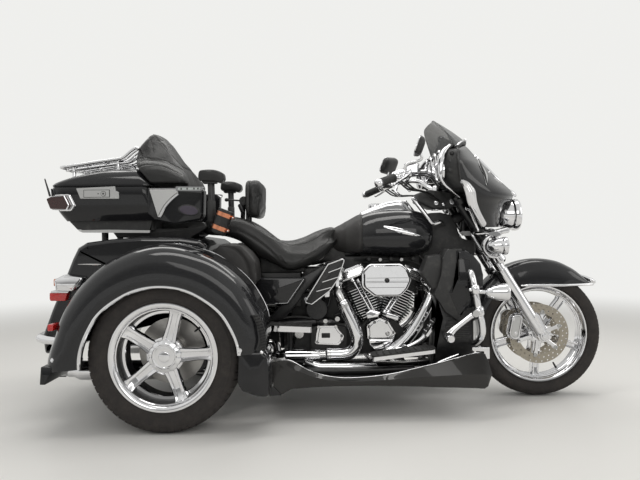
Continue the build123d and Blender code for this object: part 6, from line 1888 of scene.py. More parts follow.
def makeBoxBase():
    shape = Shape(paintDeep, blackPlastic)
    outer = [planRing(row) for row in baseLook]
    lip = planRing((1.0665, *baseLook[-1][1:]), 0.004)
    inner = [planRing((row[0] + 0.008, *row[1:]), 0.008) for row in baseLook[::-1]]
    inner[0] = planRing((1.0665, *baseLook[-1][1:]), 0.010)
    shape.skin([*outer, lip, *inner])
    shape.piece("travelBoxShell", "chassis", ("travel_box_base",), sharp=40)

    pods = Shape(paintDeep, lilac, blackPlastic)
    podSide = rounded([(-0.868, 1.062), (-0.620, 1.060), (-0.599, 1.046), (-0.603, 0.930), (-0.616, 0.906),
                       (-0.742, 0.886), (-0.832, 0.906), (-0.868, 0.94)],
                      [0.004, 0.006, 0.010, 0.030, 0.020, 0.03, 0.02, 0.01], 5)
    centre = Vector((sum(p[0] for p in podSide) / len(podSide), sum(p[1] for p in podSide) / len(podSide)))
    for sign in (-1, 1):
        rings = []
        for y, share in ((0.204, 0.96), (0.210, 1.0), (0.262, 1.0), (0.278, 0.985), (0.287, 0.955),
                         (0.2905, 0.90)):
            rings.append([(centre.x + (p[0] - centre.x) * share, sign * y,
                           centre.y + (p[1] - centre.y) * share)
                          for p in podSide])
        pods.skin(rings)
        # speaker recess: an oval rim with a soft grille in it
        oval = [(0.052 * math.cos(a), 0.026 * math.sin(a)) for a
                in np.linspace(0, 2 * math.pi, 40, endpoint=False)]
        for low, high, scale, slot in ((0.284, 0.2935, 1.0, 2), (0.286, 0.2945, 0.86, 1)):
            pods.skin([[(-0.668 + u * scale * k, sign * y, 0.952 + v * scale * k - u * 0.10)
                        for u, v in oval] for y, k in ((low, 1.0), (high - 0.002, 1.0), (high, 0.90))], slot)
    pods.piece("boxPods", "chassis", sharp=30)


def makeBoxLid():
    shape = Shape(paintDeep, blackPlastic)
    outer = [planRing(row) for row in lidLook]
    top = lidLook[-1]
    outer.append(planRing((1.1650, top[1] + 0.030, top[2] - 0.02, top[3] - 0.03, 0.05)))
    under = [planRing((row[0] - 0.006, *row[1:]), 0.010) for row in lidLook[::-1]]
    shape.skin([*under, planRing((1.0685, *lidLook[0][1:]), 0.003), *outer])
    shape.piece("travelLidShell", "box_lid", ("travel_box_lid",), sharp=40)


def makeBoxTrim():
    trim = Shape(chrome, chromeDull, silverPaint, blackPlastic)
    for sign in (-1, 1):
        # latch: a chrome plate, a recessed handle and its round lock
        sidePlate(trim, [(-1.196, 1.060), (-1.176, 1.011), (-0.992, 1.009), (-0.994, 1.040), (-1.008, 1.048),
                         (-1.010, 1.068)], boxSide, 0.007, 2, sign)
        for grow, lift, slot in ((0.002, 0.0040, 3), (0.0, 0.0045, 2)):
            sidePlate(trim, [(-1.158 - grow, 1.050 + grow), (-1.158 - grow, 1.018 - grow),
                             (-1.038 + grow, 1.018 - grow),
                             (-1.038 + grow, 1.050 + grow)], boxSide + lift, 0.0055, slot, sign, radius=0.003)
        for radius, out, slot in ((0.0125, 0.0112, 3), (0.0105, 0.0122, 2), (0.0045, 0.0130, 3)):
            trim.lathe([(0.0, 0.0), (radius, 0.0), (radius, sign * out), (0.0, sign * out)],
                       (-1.066, sign * boxSide, 1.033), sides=32, slot=slot)
        trim.lathe([(0.0, 0.0), (0.0030, 0.0), (0.0030, sign * 0.0115), (0.0, sign * 0.0115)],
                   (-1.090, sign * boxSide, 1.033), sides=16, slot=3)
        # front corner panel with its curved lower edge
        curve = flowing([(-0.716, 0, 1.028), (-0.748, 0, 1.002), (-0.780, 0, 0.966), (-0.804, 0, 0.922)], 6)
        sidePlate(trim, [(-0.852, 1.052), (-0.720, 1.052), *[(p.x, p.z) for p in curve], (-0.812, 0.920)],
                  boxSide - 0.001, 0.008, 2, sign, radius=0.002)
        for shift, size, slot in ((0.002, 0.0040, 0), (-0.006, 0.0014, 3)):
            rim = [(p.x + shift, sign * (boxSide + 0.0068), p.z - shift) for p in curve]
            trim.tube(rim, size, sides=10, slot=slot)
        # lamp strip on top of the pod
        sidePlate(trim, [(-0.728, 1.064), (-0.728, 1.043), (-0.612, 1.040), (-0.597, 1.046), (-0.597, 1.062)],
                  boxSide + 0.001, 0.012, 0, sign, radius=0.006)
        # silver strip below the slotted tray
        sidePlate(trim, [(-1.214, 0.864), (-1.186, 0.852), (-0.864, 0.848), (-0.862, 0.860), (-1.060, 0.865)],
                  0.236, 0.010, 2, sign, radius=0.003)
    trim.piece("boxTrim", "chassis", sharp=30)

    tray = Shape(blackPlastic)
    for sign in (-1, 1):
        sidePlate(tray, [(-1.252, 0.908), (-1.212, 0.866), (-0.866, 0.862), (-0.852, 0.908)], 0.232, 0.008,
                  0, sign)
    tray.piece("boxTraySides", "chassis", sharp=30)


def makeBoxLamps():
    lamps = Shape(smokeLens, chrome, blackPlastic, stripLens)
    for sign in (-1, 1):
        body = rounded([(-1.334, 1.016), (-1.298, 1.026), (-1.224, 1.030), (-1.198, 0.978), (-1.212, 0.956),
                        (-1.312, 0.960)], 0.009, 4)
        centre = (-1.27, 0.99)
        for scale, low, high, slot in ((1.0, 0.180, 0.2950, 1), (0.86, 0.19, 0.3015, 0)):
            lamps.skin([[(centre[0] + (p[0] - centre[0]) * scale * k - (0.010 if slot == 0 else 0),
                          sign * y, centre[1] + (p[1] - centre[1]) * scale * k) for p in body]
                        for y, k in ((low, 1.0), (high - 0.003, 1.0), (high, 0.95))], slot)
        # bright frames round the lamp's front end
        for shift, size in ((-0.028, 0.0034), (-0.004, 0.0034)):
            loop = [(-1.262 + shift, 1.027), (-1.224 + shift, 1.030), (-1.200 + shift, 0.980),
                    (-1.213 + shift, 0.957), (-1.240 + shift, 0.957)]
            lamps.tube(bent([(p[0], sign * 0.3005, p[1]) for p in loop], 0.010, 5), size, sides=8, slot=1)
        # two short aerials on the corner
        for base, tip in (((-1.322, 0.286, 1.026), (-1.346, 0.284, 1.106)),
                          ((-1.316, 0.270, 1.026), (-1.322, 0.268, 1.060))):
            lamps.tube([(base[0], sign * base[1], base[2]), (tip[0], sign * tip[1], tip[2])],
                       [0.0052, 0.0030], sides=10, slot=2)
        # lens in the strip on the pod
        lamps.skin([[(x, sign * y, z) for x, z in rounded([(-0.716, 1.058), (-0.716, 1.048), (-0.612, 1.047),
                                                           (-0.612, 1.057)], 0.004, 4)]
                    for y in (0.298, 0.3045)], 3)
        for x in (-0.700, -0.672, -0.640, -0.622):
            lamps.box((x, sign * 0.3048, 1.0525), (0.006, 0.002, 0.008), 2)
    lamps.piece("boxLamps", "chassis", sharp=30)


def makeRack():
    # radius of the thick outer tubes and of the thin wires
    rail, wire = 0.0075, 0.0052
    rack = Shape(chrome)
    rails = [(0.168, rail), (0.118, wire), (0.062, wire), (0.0, wire)]
    for y, size in rails:
        for sign in ((-1, 1) if y else (1,)):
            inward = 1.0 if y > 0.15 else 0.98
            path = [(-1.316, sign * y * inward, 1.172), (-1.230, sign * y, 1.184), (-1.120, sign * y, 1.200),
                    (-1.044, sign * y, 1.210), (-1.012, sign * y, 1.218), (-0.978, sign * y, 1.246),
                    (-0.950, sign * y, 1.264), (-0.934, sign * y, 1.262)]
            rack.tube(flowing(path, 5), size, sides=12)
    for y in (-0.140, 0.140):
        rack.tube(flowing([(-1.300, y, 1.158), (-1.180, y, 1.174), (-1.050, y, 1.190), (-0.990, y, 1.198),
                           (-0.960, y, 1.222)], 5), wire, sides=12)
    for x, z, size in ((-1.314, 1.172, rail), (-1.270, 1.178, wire), (-1.200, 1.188, wire),
                       (-1.110, 1.201, wire), (-1.044, 1.210, rail), (-0.940, 1.263, rail)):
        rack.tube([(x, -0.168, z), (x, 0.168, z)], size, sides=12)
    for x, z in ((-1.262, 1.176), (-1.044, 1.206)):
        for y in (-0.140, 0.140):
            # a foot with a flared base on the lid
            low = 1.098 if x < -1.2 else 1.146
            rack.lathe([(0.0, low), (0.017, low), (0.016, low + 0.010), (0.009, low + 0.022),
                        (0.008, z - 0.004), (0.010, z), (0.0, z + 0.004)], (x, y, 0), axis="Z", sides=24)
    rack.tube(flowing([(-1.330, -0.060, 1.168), (-1.340, 0.0, 1.172), (-1.330, 0.060, 1.168)], 6), 0.006,
              sides=10)
    rack.piece("rackBars", "box_lid", ("luggage_rack",), sharp=50)


lilac = plasticFinish("speakerCloth", (0.058, 0.046, 0.070), 0.50, 1800.0, 0.4)
stripLens = lensFinish("stripLens", (0.60, 0.64, 0.62), (0.30, 0.34, 0.33))
makeBoxBase()
makeBoxLid()
makeBoxTrim()
makeBoxLamps()
makeRack()
print("travel box ready")


# engine: two leaning cylinders, covers, air cleaner, pipes, boards and pedals
crank = Vector((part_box("cylinders")[0].x * 0.5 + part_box("cylinders")[1].x * 0.5 - 0.011, 0, 0.290))
engineLook = {"leanFront": 24.0, "leanRear": -21.0, "barrelLow": 0.118, "finCount": 13, "finPitch": 0.0136,
              "finReach": 0.079, "finThick": 0.0052, "headTop": 0.360,
              "rodRadius": 0.0058}


def alongCylinder(lean, height, across=0.0, y=0.0):
    turn = math.radians(lean)
    return Vector((crank.x + math.sin(turn) * height + math.cos(turn) * across, y,
                   crank.z + math.cos(turn) * height - math.sin(turn) * across))


def slab(shape, lean, low, high, reach, width, corner, slot=0, taper=0.0, shift=0.0):
    # a rounded block square to the cylinder, from low to high along it
    rings = []
    for height, shrink in ((low, 0.0), (high, taper)):
        outline = rounded([(-reach + shrink, -width + shrink), (reach - shrink, -width + shrink),
                           (reach - shrink, width - shrink), (-reach + shrink, width - shrink)], corner, 4)
        rings.append([alongCylinder(lean, height, p[0] + shift, p[1]) for p in outline])
    shape.skin(rings, slot)


def makeCylinders():
    body = Shape(blackCrinkle, chrome, blackMetal)
    covers = Shape(chrome, chromeDull)
    for lean in (engineLook["leanFront"], engineLook["leanRear"]):
        low = engineLook["barrelLow"]
        body.skin([[alongCylinder(lean, h, 0.062 * math.cos(a), 0.062 * math.sin(a))
                    for a in np.linspace(0, 2 * math.pi, 40, endpoint=False)] for h in (low - 0.012, 0.300)])
        for i in range(engineLook["finCount"]):
            at = low + (i + 0.5) * engineLook["finPitch"]
            reach = engineLook["finReach"] - max(0, 4 - i) * 0.0045
            slab(body, lean, at, at + engineLook["finThick"], reach, reach, 0.030)
            # the fin's bright machined rim
            slab(body, lean, at + 0.0011, at + engineLook["finThick"] - 0.0011, reach + 0.0006,
                 reach + 0.0006,
                 0.030, 1)
        top = low + engineLook["finCount"] * engineLook["finPitch"]
        slab(body, lean, top, top + 0.010, 0.074, 0.074, 0.02, 2)
        for i in range(3):
            slab(body, lean, top + 0.012 + i * 0.012, top + 0.019 + i * 0.012, 0.078, 0.078, 0.024)
        slab(body, lean, top, engineLook["headTop"] - 0.002, 0.066, 0.066, 0.02, 2)
        # rocker cover: a ribbed chrome box with a raised lid
        base = engineLook["headTop"]
        for start, end, reach, width, slot, taper in (
                (-0.006, 0.003, 0.066, 0.136, 1, 0.001), (0.003, 0.0085, 0.061, 0.131, 0, 0.0015),
                (0.0105, 0.0165, 0.061, 0.131, 0, 0.0015), (0.0185, 0.0245, 0.060, 0.130, 0, 0.0015),
                (0.0265, 0.0325, 0.059, 0.129, 0, 0.0015), (0.000, 0.036, 0.056, 0.126, 1, 0.002),
                (0.034, 0.046, 0.050, 0.118, 0, 0.007)):
            slab(covers, lean, base + start, base + end, reach, width, 0.016, slot, taper)
        for across in (-0.052, 0.052):
            for y in (-0.116, 0.116):
                spot = alongCylinder(lean, base + 0.034, across * 0.86, y)
                covers.tube([spot, alongCylinder(lean, base + 0.042, across * 0.86, y)], 0.006, sides=6,
                            slot=1)
    body.piece("cylinderFins", "chassis", ("cylinders",), sharp=30)
    return covers


def makeCovers(covers):
    # pushrod tubes with collars, two to a cylinder
    for foot, top in (((0.196, 0.446), (0.104, 0.612)), ((0.214, 0.446), (0.134, 0.606)),
                      ((0.276, 0.446), (0.372, 0.578)), ((0.258, 0.446), (0.344, 0.584))):
        a, b = Vector((foot[0], -0.158, foot[1])), Vector((top[0], -0.132, top[1]))
        covers.tube([a, b], engineLook["rodRadius"], sides=18)
        for t, length, scale in ((0.0, 0.08, 1.9), (0.46, 0.04, 1.5), (0.92, 0.08, 1.9)):
            covers.tube([a.lerp(b, t), a.lerp(b, min(1.0, t + length))], engineLook["rodRadius"] * scale,
                        sides=18)
    # lifter blocks at the rods' feet
    for outline in ([(0.168, 0.446), (0.192, 0.462), (0.240, 0.450), (0.226, 0.426), (0.176, 0.418)],
                    [(0.262, 0.434), (0.272, 0.448), (0.330, 0.428), (0.324, 0.406), (0.270, 0.424)]):
        soft(outline, 0.120, 0.176, 0.003, 0, covers, 0.004, sign=-1)
    # cam cover: a faceted plate, a raised middle and its bolts
    outline = [(0.166, 0.382), (0.190, 0.406), (0.237, 0.426), (0.283, 0.405), (0.320, 0.343), (0.286, 0.312),
               (0.170, 0.314)]
    middle = (0.240, 0.362)
    for low, high, scale, slot in ((0.106, 0.150, 1.0, 1), (0.146, 0.170, 0.97, 0), (0.168, 0.182, 0.78, 0)):
        rings = []
        for y, k in ((low, 1.0), (high - 0.006, 1.0), (high, 0.94)):
            rings.append([(middle[0] + (p[0] - middle[0]) * scale * k, -y,
                           middle[1] + (p[1] - middle[1]) * scale * k)
                          for p in rounded(outline, 0.010, 4)])
        covers.skin(rings, slot)
    soft([(0.178, 0.318), (0.296, 0.318), (0.318, 0.338), (0.300, 0.296), (0.262, 0.264), (0.210, 0.260),
          (0.184, 0.288)], 0.106, 0.164, 0.008, 0, covers, 0.010, sign=-1)
    covers.lathe([(0.0, 0.0), (0.011, 0.0), (0.011, -0.005), (0.007, -0.008), (0.0, -0.008)],
                 (0.272, -0.180, 0.346), sides=24, slot=1)
    covers.piece("engineChrome", "chassis", ("engine_covers",), bevel=0.0012)


airLook = {"middle": (0.2672, 0.6085), "face": 0.228, "ring": 1.085,
           "outline": [(-0.112, -0.030), (-0.058, -0.074), (0.066, -0.074), (0.096, -0.040), (0.116, 0.001),
                       (0.100, 0.046), (0.066, 0.074), (-0.078, 0.074), (-0.112, 0.040)]}


def makeAirCleaner():
    shape = Shape(chrome, blackPlastic, chromeDull)
    x, z, face = *airLook["middle"], airLook["face"]
    outline = rounded(airLook["outline"], 0.030, 6)

    def layers(rows, slot):
        shape.skin([[(x + p.x * scale, -y, z + p.y * scale) for p in outline] for y, scale in rows], slot)

    ring = airLook["ring"]
    layers([(0.166, 0.96), (0.170, 0.99), (0.190, 0.99)], 1)
    layers([(0.184, ring), (0.194, ring), (0.198, ring - 0.03)], 1)
    layers([(0.196, ring - 0.02), (0.201, ring - 0.03), (0.202, ring - 0.07)], 0)
    layers([(0.198, 1.0), (face - 0.010, 1.0), (face - 0.003, 0.975), (face, 0.93)], 0)
    # grooves over the lower half of the face
    for at, left, right in ((0.012, -0.098, 0.100), (-0.004, -0.100, 0.102), (-0.010, -0.100, 0.102),
                            (-0.034, -0.092, 0.084)):
        shape.tube([(x + left, -face + 0.0004, z + at), (x + right, -face + 0.0004, z + at)], 0.0011,
                   sides=6, slot=1)
    shape.lathe([(0.0, -0.016), (0.006, -0.016), (0.010, -0.012), (0.012, -0.004), (0.012, 0.004),
                 (0.0, 0.004)],
                (x, -face, z), sides=28, slot=1)
    # intake to both heads
    shape.lathe([(0.0, -0.176), (0.034, -0.176), (0.030, -0.130), (0.030, -0.010), (0.0, -0.010)],
                (0.260, 0, 0.583), sides=32, slot=1)
    shape.tube(flowing([(0.200, -0.020, 0.572), (0.235, -0.040, 0.590), (0.290, -0.040, 0.590),
                        (0.330, -0.020, 0.572)], 6), 0.026, sides=20, slot=1)
    shape.piece("airCleanerCover", "chassis", ("air_cleaner",), sharp=28)


def makeExhaust():
    pipes = Shape(chrome, chromeDull, blackMetal)
    rear = flowing([(0.058, -0.085, 0.582), (0.034, -0.150, 0.576), (0.034, -0.190, 0.546),
                    (0.070, -0.200, 0.466), (0.108, -0.202, 0.382), (0.121, -0.202, 0.322),
                    (0.107, -0.202, 0.276), (0.060, -0.200, 0.250),
                    (-0.060, -0.196, 0.246), (-0.200, -0.192, 0.240), (-0.240, -0.190, 0.238)], 7)
    front = flowing([(0.440, -0.085, 0.572), (0.478, -0.140, 0.568), (0.490, -0.184, 0.548),
                     (0.468, -0.196, 0.490), (0.426, -0.198, 0.412), (0.374, -0.200, 0.338),
                     (0.310, -0.200, 0.276), (0.240, -0.198, 0.244), (0.150, -0.192, 0.232),
                     (0.020, -0.180, 0.232)], 7)
    for path, shield, size in ((rear, (0.26, 0.78), 0.0315), (front, (0.26, 0.74), 0.0285)):
        pipes.tube(path, size * 0.80, sides=20, slot=1)
        count = len(path)
        a, b = int(count * shield[0]), int(count * shield[1])
        pipes.tube(path[a:b], size, sides=28)
        for at in (a + 1, b - 2):
            pipes.tube(path[at:at + 2], size * 1.06, sides=28, slot=1, dome=False)
    # collector, tail pipe, cross pipe and one muffler on each side
    pipes.tube(flowing([(-0.060, -0.190, 0.240), (-0.120, -0.190, 0.240), (-0.200, -0.190, 0.240),
                        (-0.268, -0.190, 0.240)], 4), [0.034] * 2 + [0.036] * 9 + [0.028] * 2, sides=28)
    for sign, start in ((-1, -0.190), (1, 0.150)):
        pipes.tube(flowing([(-0.260, -0.190, 0.240), (-0.300, start * 0.9, 0.240), (-0.350, start, 0.238),
                            (-0.453, sign * 0.330, 0.212), (-0.560, sign * 0.330, 0.212),
                            (-0.780, sign * 0.330, 0.212)], 6), 0.0225, sides=20)
        profile = [(0.0, -1.222), (0.026, -1.224), (0.030, -1.222), (0.030, -1.196), (0.043, -1.170),
                   (0.0445, -1.160), (0.0445, -0.800), (0.040, -0.780), (0.024, -0.760), (0.0, -0.760)]
        pipes.lathe(profile, (0, sign * 0.330, 0.212), axis="X", sides=40)
        # slotted tip cap seen below the bumper
        pipes.lathe([(0.0, -1.306), (0.020, -1.306), (0.038, -1.302), (0.040, -1.296), (0.040, -1.230),
                     (0.034, -1.222), (0.026, -1.222), (0.026, -1.210), (0.0, -1.210)],
                    (0, sign * 0.330, 0.226), axis="X", sides=32, slot=0)
        for i in range(6):
            turn = math.radians(60 * i + 30)
            pipes.tube([(-1.290, sign * 0.330 + 0.0405 * math.cos(turn), 0.226 + 0.0405 * math.sin(turn)),
                        (-1.240, sign * 0.330 + 0.0405 * math.cos(turn), 0.226 + 0.0405 * math.sin(turn))],
                       0.004, sides=8, slot=2)
    pipes.piece("exhaustPipes", "chassis", ("exhaust",), sharp=40)

    low = Shape(chromeDull, chrome, blackMetal)
    low.tube(bent([(-0.128, -0.262, 0.222), (-0.060, -0.270, 0.204), (0.206, -0.270, 0.200)], 0.06),
             0.019, sides=20, slot=1)
    low.tube(bent([(0.160, -0.200, 0.250), (0.200, -0.250, 0.226), (0.340, -0.256, 0.220),
                   (0.480, -0.256, 0.232)],
                  0.05), 0.011, sides=14)
    low.piece("lowerPipes", "chassis", sharp=40)


def makeGearbox():
    shape = Shape(chrome, chromeDull, blackMetal, castSilver)
    outline = [(-0.070, 0.388), (0.026, 0.388), (0.038, 0.366), (0.066, 0.334), (0.058, 0.306),
               (0.036, 0.286), (-0.086, 0.292), (-0.080, 0.346)]
    middle = (-0.012, 0.332)
    for low, high, scale, slot in ((0.106, 0.150, 1.02, 2), (0.146, 0.164, 0.97, 0), (0.162, 0.170, 0.80, 0)):
        shape.skin([[(middle[0] + (p[0] - middle[0]) * scale * k, -y,
                      middle[1] + (p[1] - middle[1]) * scale * k)
                     for p in rounded(outline, 0.010, 4)] for y,
                    k in ((low, 1.0), (high - 0.005, 1.0), (high, 0.95))],
                   slot)
    soft([(-0.050, 0.350), (-0.008, 0.350), (-0.008, 0.326), (-0.050, 0.326)], 0.150, 0.1735, 0.002, 2,
         shape, 0.004,
         sign=-1)
    soft([(-0.040, 0.550), (-0.020, 0.578), (-0.003, 0.578), (-0.009, 0.526), (-0.033, 0.524)], 0.120, 0.168,
         0.003, 0,
         shape, 0.005, sign=-1)
    # oil lines, sensor and starter housings round the gear case
    for x, z, r, y in ((-0.096, 0.400, 0.012, 0.130), (-0.030, 0.402, 0.011, 0.130),
                       (0.030, 0.412, 0.012, 0.124), (0.110, 0.262, 0.016, 0.150),
                       (-0.160, 0.340, 0.022, 0.128)):
        shape.lathe([(0.0, -y), (r, -y), (r, -y + 0.012), (r * 0.7, -y + 0.014), (r * 0.7, -0.100),
                     (0.0, -0.100)],
                    (x, 0, z), sides=20, slot=1)
    shape.lathe([(0.0, -0.150), (0.050, -0.150), (0.056, -0.142), (0.056, -0.060), (0.0, -0.060)],
                (-0.072, 0, 0.464), sides=40, slot=2)
    shape.tube(flowing([(0.020, -0.120, 0.432), (0.060, -0.126, 0.446), (0.086, -0.110, 0.470)], 6), 0.008,
               slot=2)
    shape.tube(flowing([(-0.170, -0.110, 0.392), (-0.120, -0.132, 0.400), (-0.070, -0.130, 0.420),
                        (-0.020, -0.120, 0.470), (0.000, -0.110, 0.540)], 6), 0.007, slot=2)
    # left side: the long primary cover
    cover = [(0.288 * math.cos(a) * 0.50 + (0.116 if math.cos(a) > 0 else -0.064) - 0.022,
              0.300 + 0.088 * math.sin(a)) for a in np.linspace(0, 2 * math.pi, 48, endpoint=False)]
    shape.skin([[(0.090 + (x - 0.090) * k, y, 0.300 + (z - 0.300) * k) for x, z in cover]
                for y, k in ((0.100, 1.0), (0.150, 1.0), (0.160, 0.96), (0.165, 0.88))], 0)
    shape.lathe([(0.0, 0.178), (0.042, 0.178), (0.048, 0.172), (0.048, 0.160), (0.0, 0.160)],
                (0.238, 0, 0.300), sides=40, slot=1)
    shape.lathe([(0.0, 0.172), (0.036, 0.172), (0.041, 0.168), (0.041, 0.160), (0.0, 0.160)],
                (0.010, 0, 0.300), sides=40, slot=1)
    shape.piece("gearCovers", "chassis", sharp=30)


def makeBoards():
    shape = Shape(rubberBlack, chrome, blackMetal)
    for sign in (-1, 1):
        for rear, ahead, low, high, middle, half in ((0.176, 0.470, 0.272, 0.306, 0.350, 0.060),
                                                     (-0.310, -0.096, 0.414, 0.404, 0.300, 0.045)):
            slope = (high - low) / (ahead - rear)
            corner = half * 0.85 if rear > 0 else half * 0.6
            outline = rounded([(rear, -half), (ahead, -half), (ahead, half), (rear, half)], corner * 0.6, 6)
            under = -0.016 if rear > 0 else -0.026
            for lift, top, grow, slot in ((under, 0.000, 0.0, 1), (0.000, 0.006, -0.004, 0)):
                shape.skin([[(x, sign * middle + y * (1 + grow / half), low + (x - rear) * slope + h)
                             for x, y in outline] for h in (lift, top)], slot)
            ribs = 9 if rear > 0 else 6
            for i in range(ribs):
                x = rear + 0.030 + (ahead - rear - 0.060) * i / (ribs - 1)
                z = low + (x - rear) * slope + 0.006
                shape.tube([(x, sign * (middle - half * 0.78), z), (x, sign * (middle + half * 0.78), z)],
                           0.0045, sides=8, slot=0)
            x = (rear + ahead) / 2
            z = low + (x - rear) * slope - 0.014
            shape.tube([(x - 0.060, sign * (middle - half), z),
                        (x - 0.050, sign * (middle - half - 0.060), z - 0.024),
                        (x - 0.050, sign * 0.146, z - 0.030)], 0.013, sides=14, slot=2)
        # pillar of the passenger's board and foot of the rider's one
        shape.tube([(-0.204, sign * 0.160, 0.360), (-0.204, sign * 0.150, 0.210)], 0.013, sides=14, slot=2)
    shape.piece("footBoards", "chassis", ("footboards",), sharp=34)

    levers = Shape(chrome, rubberBlack, blackMetal)
    for sign in (-1, 1):
        arm = flowing([(0.300, sign * 0.268, 0.280), (0.352, sign * 0.272, 0.292),
                       (0.410, sign * 0.276, 0.322), (0.452, sign * 0.276, 0.362),
                       (0.474, sign * 0.272, 0.400)], 6)
        levers.tube(arm, 0.0085, sides=12, squeeze=1.4)
        if sign < 0:
            # brake pad: a tall tread plate with slots in a bright frame
            foot, top = Vector((0.436, -0.268, 0.346)), Vector((0.498, -0.268, 0.432))
            along = (top - foot).normalized()
            out = Vector((-along.z, 0, along.x))
            wide = Vector((0, 1, 0))
            plate = rounded([(-0.042, 0.0), (0.042, 0.0), (0.036, (top - foot).length),
                             (-0.036, (top - foot).length)],
                            0.010, 4)
            for low, high, scale, slot in ((-0.008, 0.004, 1.0, 0), (0.003, 0.008, 0.88, 1)):
                base = foot + along * (top - foot).length * (1 - scale) / 2
                levers.skin([[base + wide * (u * scale) + along * (v * scale) + out * h for u, v in plate]
                             for h in (low, high)], slot)
            for share in (0.24, 0.5, 0.76):
                spot = foot.lerp(top, share) + out * 0.010
                levers.tube([spot - wide * 0.027, spot + wide * 0.027], 0.004, sides=8, slot=0)
        else:
            for x, z in ((0.470, 0.404), (0.250, 0.362)):
                levers.tube([(x, 0.262, z), (x, 0.330, z)], 0.0115, sides=16, slot=1)
            levers.tube(flowing([(0.344, 0.274, 0.290), (0.300, 0.276, 0.320), (0.250, 0.272, 0.356)], 5),
                        0.0075)
        levers.lathe([(0.0, -0.012), (0.015, -0.012), (0.017, 0.0), (0.015, 0.012), (0.0, 0.012)],
                     (0.344, sign * 0.274, 0.290), sides=24, slot=0)
        levers.tube([(0.344, sign * 0.274, 0.290), (0.344, sign * 0.130, 0.290)], 0.009, sides=14, slot=2)
    levers.piece("footLevers", "chassis", ("foot_levers",), sharp=40)


chromeCovers = makeCylinders()
makeCovers(chromeCovers)
makeAirCleaner()
makeExhaust()
makeGearbox()
makeBoards()
print("engine ready")


# body: trunk and its door, lamps, bumper, flaps, skirts, lower fairings, side covers, guard and cup
doorHalf = 0.284


def carved(thing, cutters, sharp):
    # hollows cut into a closed piece, its sharp edges marked again
    for cutter in cutters:
        bmesh.ops.recalc_face_normals(cutter.bm, faces=cutter.bm.faces[:])
        mesh = bpy.data.meshes.new("hollow")
        cutter.bm.to_mesh(mesh)
        cutter.bm.free()
        tool = bpy.data.objects.new("hollow", mesh)
        scene.collection.objects.link(tool)
        cut = thing.modifiers.new("cut", "BOOLEAN")
        cut.operation, cut.solver, cut.object = "DIFFERENCE", "EXACT", tool
        baked(thing)
        bpy.data.objects.remove(tool)
    skin = bmesh.new()
    skin.from_mesh(thing.data)
    for edge in skin.edges:
        edge.smooth = not (len(edge.link_faces) == 2 and edge.calc_face_angle(0.0) > math.radians(sharp))
    skin.to_mesh(thing.data)
    skin.free()


